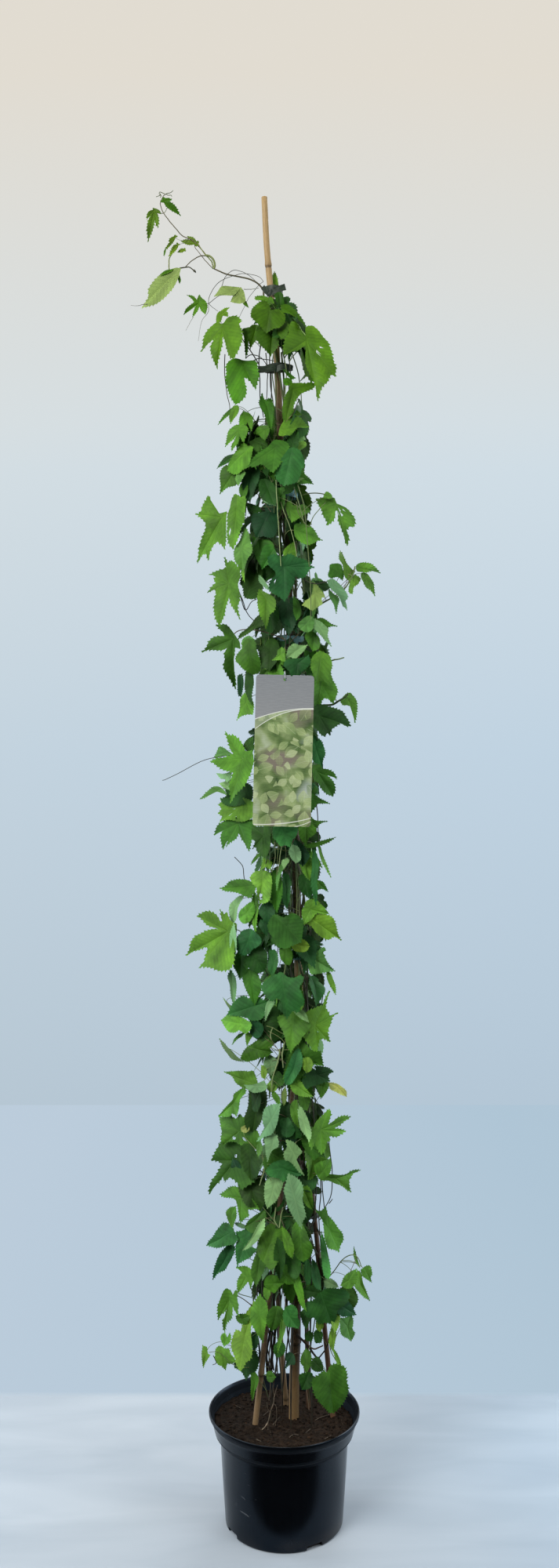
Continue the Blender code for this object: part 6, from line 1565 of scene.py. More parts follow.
    (320, 1252, ((315, 1237), (325, 1237), (331, 1246), (334, 1258), (331, 1268), (325, 1282), (318, 1270), (312, 1258), (309, 1246)), 1, "mid", {}),
    # above the lower bunch
    (362, 1262, ((333, 1258), (339, 1251), (346, 1246), (353, 1243), (359, 1241), (365, 1245), (372, 1247), (378, 1246), (383, 1243), (387, 1246), (385, 1253), (382, 1258), (386, 1268), (388, 1277), (384, 1286), (379, 1290), (374, 1288), (370, 1293), (366, 1299), (362, 1291), (361, 1283), (358, 1275), (352, 1273), (346, 1276), (340, 1271), (335, 1265)), 3, "blue", {"flat": 1, "tone": 1.25}),
    (378, 1268, ((372, 1250), (380, 1246), (386, 1249), (385, 1258), (387, 1268), (388, 1278), (384, 1287), (377, 1290), (373, 1278), (371, 1262)), 3.5, "mid", {"tone": 0.85}),
    (322, 1284, ((299, 1279), (304, 1274), (311, 1271), (318, 1274), (322, 1269), (330, 1271), (338, 1275), (346, 1275), (342, 1285), (338, 1293), (332, 1299), (322, 1301), (312, 1298), (302, 1297), (295, 1297), (289, 1297), (292, 1290), (295, 1284)), 1, "blue", {"tone": 1.2, "flat": 1}),
    (291, 1281, ((283.5, 1273.5), (289, 1278), (296, 1283), (300, 1287), (294, 1286), (290, 1283)), 0, "mid", {"face": -1}),
    (304, 1305, ((281, 1305), (286, 1300), (290, 1296), (297, 1294), (306, 1296), (314, 1299), (321, 1303), (319, 1311), (313, 1316), (306, 1313), (300, 1316), (293, 1317), (288, 1314), (284, 1309)), 2, "light", {"tone": 1.3, "warm": -0.1}),
    (342, 1283, ((350, 1274.5), (343, 1276), (339, 1282), (338, 1291), (338, 1303), (342, 1294), (346, 1286), (350, 1280)), 3, "under", {"face": -1}),
    (338, 1306, ((320, 1298), (332, 1294), (344, 1288), (354, 1284), (360, 1292), (358, 1302), (354, 1312), (360, 1322), (352, 1327), (344, 1331), (334, 1329), (325, 1323), (318, 1312)), 0, "dark", {"warm": 0.1, "tone": 0.9}),
    (326, 1312, ((318, 1304), (328, 1302), (336, 1308), (334, 1318), (327, 1324), (319, 1318)), 1, "bluedark", {"tone": 1.5}),
    (402, 1308, ((388, 1294), (394, 1289), (400, 1287), (406, 1285), (412, 1284), (415, 1277), (421.5, 1267), (418, 1277), (416, 1286), (419, 1292), (423, 1297), (432, 1294), (425, 1299), (423, 1306), (420, 1312), (419, 1319), (421.5, 1331), (415, 1326), (409, 1325), (406, 1332), (405, 1341), (406, 1352), (400, 1344), (396, 1334), (390, 1326), (385, 1316), (382, 1306)), 1, "light", {"flat": 1, "holes": ((394, 1315, 1.2), (406, 1316, 0.9))}),
    (373, 1311, ((354, 1299), (361, 1296), (368, 1293), (375, 1291), (383, 1296), (390, 1301), (396, 1307), (391, 1315), (386, 1321), (381, 1329), (376, 1333), (371, 1341), (366, 1333), (364, 1325), (361, 1316), (356, 1308)), 2, "light", {"tone": 0.85}),
    (384, 1348, ((380, 1324), (387, 1329), (394, 1335), (401, 1341), (409, 1340), (411, 1349), (413, 1361), (405, 1359), (397, 1357), (391, 1362), (387, 1369), (381, 1376), (375, 1381), (366, 1382), (361, 1375), (363, 1364), (366, 1352), (370, 1343), (375, 1334)), 2, "mid", {"flat": 1, "tone": 0.85}),
    (375, 1362, ((382, 1338), (386, 1350), (384, 1362), (378, 1372), (371, 1381), (364, 1382), (362, 1373), (366, 1362), (371, 1350), (376, 1342)), 3, "blue", {"tone": 1.35}),
    (392, 1358, ((386, 1351), (394, 1349), (399, 1355), (397, 1364), (391, 1368), (386, 1361)), 3, "lime", {"tone": 0.75}),
    (384, 1293, ((372, 1288), (379, 1285), (386, 1288), (391, 1294), (394, 1304), (387, 1301), (380, 1296)), 3, "under", {"face": -1}),
    (328, 1338, ((307, 1350), (310, 1342), (315, 1336), (321, 1332), (329, 1326), (337, 1324), (345, 1326), (349, 1331), (345, 1337), (348, 1342), (344, 1345), (339, 1348), (333, 1348), (327, 1351), (321, 1353), (313, 1354)), 1, "mid", {"warm": 0.1, "tone": 0.8, "flat": 1}),
    (293, 1341, ((279, 1327), (285, 1331), (290, 1336), (296, 1340), (302, 1346), (311, 1353), (303, 1352), (296, 1350), (290, 1344), (284, 1337)), 0, "light", {"face": -1}),
    (303, 1321, ((296, 1333), (299, 1325), (305, 1319), (313, 1316), (309, 1321), (302, 1326)), 1, "mid", {}),
    (316, 1323, ((315, 1335), (313, 1325), (313, 1317), (319, 1317), (322, 1321), (318, 1328)), 1, "light", {}),
    (346, 1358, ((342, 1346), (350, 1349), (355, 1354), (351, 1362), (346, 1371), (339, 1366), (336, 1357), (338, 1350)), 0, "under", {"face": -1, "tone": 0.7}),
    (337, 1367, ((333, 1359), (338, 1361), (341, 1367), (338, 1376), (333, 1372)), 1, "lime", {}),
    (310, 1377, ((285, 1371), (293, 1369), (301, 1367), (309, 1366), (317, 1366), (323, 1365), (327, 1373), (329, 1382), (322, 1387), (314, 1388), (306, 1385), (300, 1381), (297, 1376), (292, 1373)), 1, "light", {"tone": 0.85, "flat": 1}),
    (326, 1385, ((311, 1386), (319, 1385), (329, 1381), (337, 1377), (341, 1384), (335, 1390), (325, 1393), (316, 1391)), 2, "under", {"face": -1, "tone": 0.75}),
    (297, 1408, ((277.5, 1427), (282, 1421), (287, 1414), (292, 1408), (297, 1402), (298, 1396), (304, 1391), (312, 1386), (314, 1392), (308, 1398), (306, 1404), (305, 1412), (302, 1421), (297, 1419), (293, 1423), (286, 1425)), 0, "light", {"flat": 1, "warm": -0.1}),
    (327, 1412, ((318, 1391), (328, 1388), (338, 1390), (341, 1402), (339, 1414), (335, 1424), (330, 1434), (322, 1442), (314, 1436), (312, 1424), (316, 1412), (317, 1400)), 0, "dark", {"warm": 0.35, "tone": 0.85}),
    (326, 1404, ((320, 1393), (332, 1392), (333, 1404), (329, 1416), (322, 1414)), 1, "dark", {"warm": 0.1, "tone": 0.6}),
    (347, 1386, ((340, 1385), (345, 1379), (351, 1382), (353, 1389), (348, 1392), (342, 1391)), 1, "lime", {}),
    (352, 1399, ((346, 1391), (352, 1394), (357, 1400), (358, 1411), (351, 1404), (347, 1398)), 1, "light", {}),
    (361, 1396, ((359, 1402), (360, 1392), (364, 1385), (366, 1394), (365, 1404), (362, 1411)), 1, "young", {"face": -1}),
    (351, 1372, ((343, 1366), (351, 1364), (359, 1370), (362, 1380), (355, 1384), (348, 1380), (344, 1374)), 0, "mid", {"tone": 0.8}),
    (382, 1388, ((370, 1381), (378, 1377), (385, 1381), (389, 1387), (394, 1393), (399, 1399), (390, 1398), (381, 1396), (373, 1391)), 3, "lime", {"warm": -0.1}),
    (389, 1404, ((381, 1397), (390, 1392), (396, 1398), (395, 1407), (392, 1415), (385, 1413), (381, 1406)), 1, "mid", {"tone": 0.8}),
    (405, 1371, ((388, 1369), (395, 1364), (403, 1360), (412, 1361), (419, 1363), (426, 1368), (419, 1372), (421, 1379), (413, 1380), (405, 1382), (396, 1384), (390, 1387), (384, 1381), (386, 1374)), 0, "bluedark", {"tone": 1.3, "flat": 1, "holes": ((401, 1363, 1.5), (389, 1372, 1.2))}),
    (411, 1386, ((403, 1384), (410, 1380), (417, 1379), (420, 1384), (417, 1391), (409, 1402), (407, 1394), (405, 1389)), 0, "light", {}),
    (431, 1387, ((418, 1380), (424, 1381), (431, 1383), (437, 1387), (442, 1392), (442, 1399), (434, 1395), (427, 1391), (421, 1388)), 0, "yellow", {}),
    # the lower bunch
    (346, 1428, ((358, 1408), (351, 1409), (344, 1411), (338, 1415), (335, 1423), (335, 1432), (337, 1439), (334, 1446), (327, 1459), (335, 1452), (341, 1448), (346, 1446), (350, 1440), (354, 1430), (356, 1419)), 3, "under", {"face": -1, "flat": 1}),
    (347, 1462, ((337, 1453), (343, 1449), (350, 1448), (355, 1454), (355, 1461), (349, 1465), (345, 1470), (341, 1481), (339, 1471), (338, 1462)), 3.5, "under", {"face": -1}),
    (331, 1464, ((332, 1456), (335, 1462), (333, 1470), (329, 1475), (327, 1468), (328, 1461)), 2, "pale", {"face": -1}),
    (374, 1470, ((364, 1455), (372, 1456), (380, 1462), (385, 1469), (381, 1474), (378, 1480), (380, 1487), (388, 1500), (380, 1493), (375, 1486), (369, 1481), (363, 1478), (362, 1470), (366, 1463)), 3, "under", {"face": -1, "flat": 1}),
    (387, 1430, ((381, 1407), (386, 1416), (392, 1426), (396, 1437), (397, 1445), (394, 1452), (390, 1446), (384, 1440), (381, 1430), (380, 1418)), 3, "under", {"face": -1}),
    (376, 1418, ((373, 1406), (379, 1403), (381, 1415), (380, 1428), (382, 1440), (376, 1433), (371, 1423), (370, 1413)), 2, "light", {}),
    (366, 1428, ((354, 1414), (364, 1406), (372, 1411), (376, 1424), (380, 1436), (385, 1446), (377, 1452), (365, 1450), (354, 1446), (351, 1436), (353, 1425)), 1, "dark", {"tone": 0.9}),
    (365, 1440, ((358, 1426), (366, 1424), (372, 1432), (376, 1442), (370, 1449), (361, 1448), (357, 1438)), 2, "bluedark", {"tone": 1.5}),
    (409, 1441, ((399, 1438), (403, 1431), (408, 1427), (412, 1424), (416, 1421), (420, 1418), (423, 1423), (421, 1430), (419, 1436), (424, 1434), (430, 1430), (437, 1428), (443, 1429), (450, 1432), (443, 1434), (438, 1437), (431, 1440), (424, 1441), (430, 1442), (436, 1444), (443, 1448), (436, 1450), (430, 1452), (424, 1450), (420, 1449), (421, 1454), (417, 1456), (415, 1463), (410, 1470), (405, 1463), (401, 1455), (397, 1462), (393, 1454), (396, 1446)), 2, "light", {"flat": 1, "warm": -0.1}),
    (396, 1462, ((382, 1448), (392, 1452), (402, 1458), (410, 1466), (418, 1478), (408, 1474), (400, 1478), (392, 1470), (386, 1460)), 0, "mid", {}),
    (415, 1465, ((411, 1456), (417, 1456), (420, 1464), (421, 1474), (416, 1478), (412, 1468)), 1, "pale", {}),
    (305, 1443, ((278, 1432), (283, 1430), (288, 1426), (294, 1426), (301, 1428), (305, 1422), (310, 1424), (316, 1424), (322, 1430), (330, 1440), (333, 1452), (326, 1461), (316, 1459), (306, 1458), (298, 1456), (290, 1458), (284, 1463), (281, 1456), (282, 1448), (280, 1440)), 1, "mid", {"warm": 0.1, "flat": 1, "holes": ((298, 1452, 2.2), (312, 1451, 1.4), (290, 1446, 0.8))}),
    (313, 1439, ((307, 1440), (311, 1436), (317, 1434), (318, 1440), (314, 1444), (309, 1444)), 2, "yellow", {"tone": 0.8}),
    (300, 1480, ((281, 1460), (288, 1457), (298, 1457), (310, 1459), (320, 1463), (327, 1474), (329, 1486), (325, 1498), (316, 1505), (308, 1509), (304, 1504), (297, 1500), (292, 1500), (288, 1505), (284, 1500), (280, 1506), (275, 1510), (270, 1515), (266.5, 1523), (267, 1513), (270, 1506), (275, 1499), (279, 1492), (283, 1485), (277, 1483), (269, 1483), (272, 1475), (276, 1468)), 0, "mid", {"warm": 0.05, "flat": 1, "tone": 0.85, "holes": ((301, 1475, 1.4), (308, 1475, 0.9))}),
    (319, 1480, ((309, 1462), (319, 1460), (328, 1470), (332, 1484), (328, 1498), (320, 1504), (311, 1492), (307, 1476)), 1, "dark", {"warm": 0.45}),
    (303, 1492, ((296, 1480), (304, 1482), (308, 1490), (306, 1499), (299, 1500), (294, 1492)), 1, "bluedark", {"tone": 1.3}),
    (321, 1518, ((304, 1508), (316, 1502), (328, 1500), (338, 1504), (341, 1516), (338, 1530), (332, 1542), (324, 1537), (314, 1534), (306, 1522)), 0, "dark", {"warm": 0.35}),
    (307, 1528, ((279, 1530), (286, 1524), (293, 1518), (301, 1516), (309, 1518), (317, 1523), (326, 1529), (331, 1537), (323, 1538), (317, 1540), (318, 1546), (313, 1550), (307, 1558), (305, 1548), (303, 1538), (300, 1531), (293, 1530), (286, 1531)), 1, "light", {"flat": 1, "warm": -0.1, "tone": 0.9}),
    (295, 1550, ((301, 1539), (302, 1549), (299, 1558), (297, 1565), (293, 1560), (290, 1554), (288, 1547), (294, 1541)), 0, "mid", {}),
    (307, 1562, ((298, 1562), (304, 1560), (312, 1561), (318, 1564), (310, 1566), (303, 1565)), 0, "under", {"face": -1, "tone": 0.7}),
    (325, 1557, ((312, 1566), (316, 1558), (323, 1552), (331, 1547), (338, 1544), (340, 1554), (336, 1562), (328, 1568), (320, 1570)), 1, "mid", {"tone": 0.85}),
    (360, 1490, ((338, 1492), (345, 1485), (354, 1481), (365, 1480), (374, 1484), (381, 1492), (388, 1501), (379, 1501), (370, 1500), (362, 1504), (354, 1500), (345, 1498)), 2, "blue", {"tone": 1.4}),
    (345, 1470, ((336, 1478), (344, 1470), (354, 1464), (362, 1470), (362, 1480), (352, 1484), (343, 1489), (337, 1488)), 1, "mid", {"tone": 0.9}),
    (348, 1519, ((339, 1509), (347, 1504), (358, 1500), (362, 1506), (360, 1514), (357, 1522), (352, 1530), (346, 1535), (341, 1540), (338, 1531), (337, 1520)), 3, "under", {"face": -1, "flat": 1}),
    (376, 1530, ((367, 1500), (375, 1503), (383, 1509), (387, 1518), (386, 1530), (388, 1540), (390, 1549), (386, 1556), (385, 1565), (380, 1559), (375, 1552), (370, 1543), (366, 1534), (364, 1525), (362, 1517), (365, 1509)), 4, "under", {"face": -1, "flat": 1}),
    (391, 1526, ((384, 1515), (392, 1513), (398, 1521), (399, 1532), (399, 1544), (392, 1538), (387, 1530)), 1, "light", {}),
    (388, 1505, ((380, 1496), (390, 1494), (400, 1500), (406, 1506), (402, 1514), (394, 1518), (386, 1514)), 0, "dark", {"tone": 0.8}),
    (413, 1492, ((401, 1486), (408, 1482), (415, 1481), (422, 1480), (423, 1488), (421, 1496), (415, 1501), (407, 1501), (402, 1495)), 1, "light", {"warm": -0.1}),
    (428, 1503, ((404, 1499), (413, 1497), (423, 1497), (434, 1499), (443, 1499), (448, 1496.5), (454, 1496), (462, 1498.5), (453, 1499.5), (448, 1504), (446, 1508), (446, 1513), (448, 1521), (442, 1517), (436, 1512), (428, 1509), (419, 1505), (410, 1504)), 0, "light", {"flat": 1}),
    (350, 1550, ((340, 1538), (352, 1534), (362, 1538), (366, 1552), (358, 1562), (346, 1562), (339, 1552)), -1, "dark", {"warm": 0.3, "tone": 0.8}),
    (378, 1565, ((366, 1556), (378, 1556), (390, 1562), (396, 1574), (388, 1582), (376, 1578), (368, 1568)), 0, "dark", {"warm": 0.2}),
    (420, 1568, ((402, 1545), (409, 1546), (416, 1543), (418, 1551), (423, 1556), (428, 1562), (432, 1568), (437, 1574), (438, 1582), (434, 1588), (432, 1594), (425, 1590), (418, 1587), (414, 1578), (413, 1569), (412, 1560), (408, 1552)), 0, "light", {"flat": 1, "warm": -0.1}),
    (416, 1598, ((410, 1577), (415, 1586), (418, 1598), (421, 1612), (421, 1621), (416, 1623), (412, 1618), (410, 1604), (409, 1590)), 0, "blue", {"tone": 1.6}),
    (286, 1577, ((262.5, 1593), (266, 1586), (271, 1580), (275, 1573), (280, 1567), (285, 1562), (291, 1562), (296, 1564), (300, 1570), (304, 1577), (299, 1583), (293, 1585), (285, 1588), (277, 1591), (269, 1592)), 0, "blue", {"tone": 1.15, "flat": 1}),
    (287, 1607, ((297, 1585), (300, 1591), (298, 1598), (295, 1605), (291, 1612), (287, 1619), (282, 1622), (277, 1626), (271, 1634), (272, 1623), (275, 1612), (279, 1602), (285, 1594), (291, 1588)), -1, "blue", {"tone": 1.2, "flat": 1}),
    (312, 1586, ((301, 1575), (308, 1572), (315, 1568), (323, 1565), (327, 1572), (324, 1580), (319, 1590), (324, 1592), (328, 1591), (320, 1600), (313, 1604), (305, 1610), (307, 1602), (303, 1600), (303, 1615), (301, 1604), (300, 1592), (302, 1584)), 0, "blue", {"tone": 1.35}),
    (324, 1577, ((337, 1554), (338, 1562), (334, 1571), (329, 1580), (322, 1588), (316, 1594), (309, 1599), (314, 1590), (320, 1580), (325, 1570), (330, 1561)), 3, "under", {"face": -1}),
    (330, 1612, ((335, 1588), (341, 1598), (340, 1610), (336, 1620), (332, 1628), (327, 1636), (323, 1630), (320, 1621), (322, 1611), (327, 1600)), 1, "mid", {"warm": 0.1, "tone": 0.85}),
    (343, 1590, ((333, 1573), (343, 1566), (355, 1563), (360, 1572), (360, 1588), (356, 1602), (346, 1613), (336, 1607), (329, 1598), (329, 1585)), 2, "mid", {"warm": 0.05, "flat": 1}),
    (357, 1604, ((354, 1580), (362, 1588), (364, 1604), (361, 1620), (357, 1636), (352, 1622), (349, 1606), (350, 1592)), 3, "dark", {"tone": 1.1}),
    (367, 1585, ((359, 1566), (366, 1571), (371, 1579), (375, 1591), (373, 1605), (366, 1597), (361, 1584)), 4, "light", {}),
    (384, 1585, ((373, 1568), (382, 1562), (390, 1570), (395, 1581), (399, 1592), (395, 1602), (387, 1608), (379, 1602), (373, 1589)), 2, "mid", {}),
    (372, 1608, ((364, 1596), (374, 1600), (382, 1606), (384, 1616), (378, 1626), (370, 1624), (365, 1612)), 1, "dark", {"tone": 1.2}),
    # over the pot
    (314, 1628, ((300, 1621), (306, 1618), (312, 1616), (318, 1617), (322, 1620), (324, 1626), (322, 1634), (320, 1641), (317, 1633), (313, 1638), (308, 1645), (303, 1651), (302, 1642), (303, 1634), (307, 1627), (310, 1623)), 1, "light", {"tone": 0.95}),
    (292, 1658, ((290, 1644), (295, 1646), (298, 1652), (300, 1643), (304, 1645), (303, 1652), (305, 1660), (304, 1666), (306, 1673), (300, 1668), (297, 1663), (297, 1670), (296, 1678), (292, 1684), (289, 1690), (286, 1703), (284, 1695), (284, 1687), (288, 1679), (291, 1667), (286, 1675), (281, 1680), (277.5, 1688), (277, 1678), (277, 1669), (280, 1660), (283, 1652), (286, 1646)), 1, "light", {"flat": 1, "warm": -0.05}),
    (331, 1676, ((328, 1657), (331, 1653), (336, 1657), (340, 1661), (342, 1670), (342, 1677), (340, 1685), (338, 1693), (337, 1701), (335.5, 1712), (331, 1705), (327, 1698), (323, 1692), (320, 1688), (319, 1680), (320, 1671), (324, 1664)), 2, "lime", {"flat": 1, "warm": -0.20, "tone": 1.05}),
    (312, 1706, ((323, 1671), (317, 1678), (311, 1684), (309, 1692), (307, 1700), (301, 1699), (296, 1708), (295, 1717), (299, 1725), (302, 1734), (306, 1740), (311, 1737), (314, 1731), (320, 1727), (322, 1718), (321, 1707), (320, 1697), (322, 1687), (326, 1680)), 2, "lime", {"flat": 1, "tone": 0.88}),
    (309, 1682, ((319, 1678), (312, 1676), (305, 1677), (300, 1681), (303, 1686), (308, 1688), (315, 1687)), 1, "mid", {}),
    (288, 1709, ((283, 1703), (287, 1701), (290, 1706), (293, 1700), (295, 1705), (293, 1711), (289, 1714), (286, 1717), (283, 1713), (281, 1708)), 0, "light", {"tone": 1.2, "warm": -0.15}),
    (262, 1729, ((258, 1719), (264, 1720), (265, 1725), (268.5, 1727), (265, 1732), (262, 1737), (259.5, 1744), (258, 1736), (257, 1728)), 0, "light", {"tone": 1.15}),
    (285, 1731, ((275, 1723), (280, 1719), (286, 1720), (292, 1719), (295, 1724), (300, 1729), (298, 1735), (293, 1737), (290, 1738), (288, 1747), (283, 1742), (278, 1740), (274, 1735), (274, 1728)), 0, "light", {"warm": 0.15, "tone": 1.1, "flat": 1}),
    (314, 1740, ((298, 1738), (306, 1740), (312, 1733), (318, 1727), (325, 1723), (330, 1732), (329, 1741), (324, 1748), (319, 1750), (314, 1757), (309, 1750), (303, 1747), (299, 1746)), 0, "dark", {"flat": 1}),
    (325, 1710, ((321, 1702), (327, 1702), (330, 1709), (328, 1717), (323, 1720), (319, 1712)), 0, "bluedark", {"tone": 1.3}),
    (351, 1680, ((362, 1672), (355, 1667), (347, 1668), (341, 1676), (340, 1687), (346, 1699), (354, 1692), (361, 1682)), 2, "mid", {"tone": 0.9}),
    (370, 1680, ((361, 1676), (364, 1668), (372, 1664.5), (379, 1670), (380, 1680), (383, 1688), (381, 1696), (374, 1692), (367, 1691), (362, 1684)), 3, "blue", {"tone": 1.5}),
    (360, 1698, ((361, 1681), (366, 1686), (364, 1696), (361, 1704), (358, 1712), (354, 1722), (353.5, 1713), (356, 1704), (357, 1692)), 3, "light", {}),
    (382, 1646, ((374, 1628), (380, 1627), (384, 1636), (387, 1646), (388, 1657), (391, 1671), (384, 1664), (379, 1652), (375, 1641)), 2, "light", {"warm": -0.15}),
    (350, 1637, ((339, 1630), (347, 1627), (358, 1629), (364, 1636), (356, 1641), (350, 1648), (343, 1645), (337, 1639)), 1, "mid", {}),
    (366, 1628, ((357, 1619), (366, 1615), (372, 1624), (376, 1637), (367, 1638), (360, 1632)), 2, "mid", {}),
    (340, 1650, ((336, 1643), (343, 1644), (345, 1650), (341, 1658), (336, 1652)), 1, "light", {}),
    (400, 1648, ((385, 1644), (394, 1640), (402, 1641), (409, 1645), (411, 1653), (404, 1656), (398, 1653), (391, 1655), (386, 1650)), 1, "dark", {"tone": 1.1}),
    (415, 1665, ((399, 1658), (407, 1650), (418, 1644), (430, 1646), (441, 1650), (447, 1660), (441, 1668), (431, 1673), (429, 1682), (424, 1690), (416, 1686), (407, 1686), (400, 1678), (392, 1677), (387, 1668), (391, 1660)), 2, "dark", {"tone": 1.15, "flat": 1}),
    (444, 1656, ((433, 1643), (441, 1639), (449, 1643), (455, 1651), (457, 1661), (452, 1669), (447, 1679), (439, 1672), (433, 1664), (430, 1653)), 1, "mid", {"warm": 0.1, "tone": 0.8}),
    (441, 1669, ((431, 1662), (440, 1659), (447, 1664), (455, 1680), (445, 1679), (436, 1677), (430, 1670)), 2, "bluedark", {"tone": 1.2}),
    (445, 1633, ((434, 1637), (439, 1628), (446, 1624), (455, 1622), (456, 1630), (453, 1638), (447, 1642), (440, 1641)), 2, "light", {"tone": 1.1}),
    (460, 1638, ((456, 1621), (461, 1626), (463, 1636), (467, 1646), (472, 1660), (465, 1654), (458, 1646), (452, 1638), (454, 1629)), 1, "light", {"tone": 1.1}),
    (468, 1624, ((460, 1618), (467, 1615), (473, 1617), (475, 1626), (473, 1630), (474.5, 1637), (469, 1632), (464, 1628), (461, 1624)), 0, "light", {}),
    (443, 1692, ((433, 1677), (440, 1680), (448, 1678), (451, 1686), (450, 1696), (453, 1702), (448, 1712), (443, 1706), (438, 1702), (434, 1696), (433, 1687)), 1, "pale", {}),
    (428, 1677, ((425, 1663), (430, 1659), (432, 1670), (434, 1680), (431, 1690), (426, 1694), (422, 1683)), 2, "lime", {"tone": 0.85}),
    (425, 1706, ((423, 1693), (428, 1692), (429, 1702), (427, 1713), (425, 1724), (421, 1716), (419, 1708)), 1, "lime", {"tone": 0.85}),
    (408, 1689, ((403, 1683), (410, 1683), (413, 1691), (408, 1698), (403, 1693)), 1, "lime", {"tone": 0.7}),
    (430, 1732, ((424, 1720), (430, 1727), (434, 1735), (436, 1745), (430, 1738), (427, 1731)), 0, "light", {"tone": 0.9}),
    (391, 1736, ((385, 1728), (390, 1723), (396, 1728), (398, 1738), (394, 1744), (390, 1750), (387, 1742), (383, 1736)), 1, "mid", {"tone": 0.8}),
    (404, 1740, ((397, 1736), (404, 1731), (411, 1738), (413, 1749), (404, 1749), (397, 1744)), 1, "dark", {"warm": 0.3}),
    (395, 1704, ((389, 1702), (395, 1698), (400, 1703), (397, 1711), (390, 1709)), 0, "dark", {}),
    (406, 1704, ((400, 1700), (406, 1696), (412, 1702), (410, 1712), (402, 1711)), 0, "dark", {}),
    (389, 1681, ((382, 1675), (390, 1671), (397, 1676), (395, 1684), (391, 1694), (386, 1687)), 1, "dark", {"tone": 1.2}),
    (356, 1721, ((350, 1716), (356, 1711), (363, 1714), (364, 1722), (359, 1729), (353, 1731), (349, 1724)), 1, "dark", {"tone": 1.2}),
    (370, 1734, ((364, 1730), (370, 1726), (376, 1730), (376, 1738), (369, 1740), (363, 1746), (365, 1737)), 1, "bluedark", {}),
    (325, 1764, ((320, 1754), (326, 1751), (330, 1758), (328, 1767), (325, 1773), (324, 1780), (321.5, 1788), (320, 1777), (320, 1764)), 1, "mid", {}),
    (344, 1756, ((340, 1752), (346, 1750), (352, 1756), (347, 1761), (341, 1760)), 1, "mid", {"tone": 0.8}),
    (390, 1761, ((381, 1756), (390, 1751), (398, 1753), (401, 1762), (394, 1769), (385, 1772)), 0, "dark", {}),
    (392, 1621, ((391, 1604), (395, 1610), (397, 1621), (396, 1635), (391, 1638), (388, 1626), (388, 1614)), 1, "bluedark", {"tone": 1.5}),
    (403, 1627, ((398, 1611), (404, 1615), (409, 1628), (409, 1642), (402, 1639), (397, 1626)), 1, "bluedark", {"tone": 1.5}),
    (422, 1637, ((413, 1633), (421, 1631), (429, 1637), (432, 1643), (422, 1643), (415, 1640)), 0, "under", {"face": -1, "tone": 0.6}),
    (454, 1604, ((451.5, 1592), (454, 1599), (456.5, 1607), (459, 1616), (454, 1610), (451, 1602)), 0, "light", {}),
    (422, 1768, ((398, 1755), (405, 1751), (412, 1748), (418, 1750), (421, 1744), (427, 1741), (434, 1743), (440, 1746), (443, 1754), (443, 1763), (445, 1773), (443, 1781), (440, 1788), (436, 1794), (431, 1799), (426, 1805), (420, 1801), (415, 1794), (410, 1787), (404, 1779), (400, 1771), (398, 1763)), 2, "light", {"flat": 1, "warm": -0.12, "tone": 0.58, "tooth": 0.46}),
]

# how wide the plant is in the photograph: height (px), left and right edges (px)
EDGES = np.array((
    (380, 322, 372), (420, 300, 405), (470, 288, 425), (520, 292, 395), (560, 300, 390), (590, 284, 388), (620, 284, 392),
    (650, 272, 400), (700, 270, 400), (740, 272, 410), (790, 275, 415), (830, 285, 422), (870, 292, 425), (900, 303, 430),
    (935, 292, 440), (965, 285, 415), (1000, 285, 420), (1030, 282, 412), (1060, 280, 405), (1090, 305, 412),
    (1120, 300, 410), (1160, 292, 412), (1190, 270, 420), (1220, 265, 418), (1250, 292, 412), (1290, 290, 418),
    (1330, 300, 415), (1360, 305, 412), (1390, 305, 412), (1420, 290, 412), (1460, 282, 415), (1500, 285, 405),
    (1540, 300, 402), (1570, 285, 415), (1600, 290, 418), (1640, 305, 415), (1680, 310, 430), (1720, 330, 400),
))
# no filling leaf at all shows in these, because the photograph shows the wall through them, and none in front of the canes in the others
OPEN_VIEWS = ((290, 330, 322, 450), (371, 330, 412, 396), (378, 388, 404, 409), (311, 446, 348, 524), (360, 452, 394, 486), (322, 448, 345, 470), (346, 434, 364, 456), (366, 500, 400, 524), (325, 508, 346, 545), (386, 616, 405, 648),
              (396, 690, 432, 738), (300, 762, 330, 786), (404, 1150, 412, 1152), (396, 1200, 404, 1212), (345, 1333, 358, 1350),
              (398, 1462, 420, 1484), (396, 1544, 404, 1552), (302, 1542, 330, 1552), (300, 1640, 330, 1652), (330, 1690, 372, 1800),
              (383, 1690, 460, 1800), (270, 1690, 330, 1800))
CANE_VIEWS = ((346, 452, 364, 548), (354, 648, 372, 702), (368, 1098, 388, 1170), (374, 1210, 388, 1240), (372, 1600, 386, 1800),
              (398, 1545, 412, 1640))

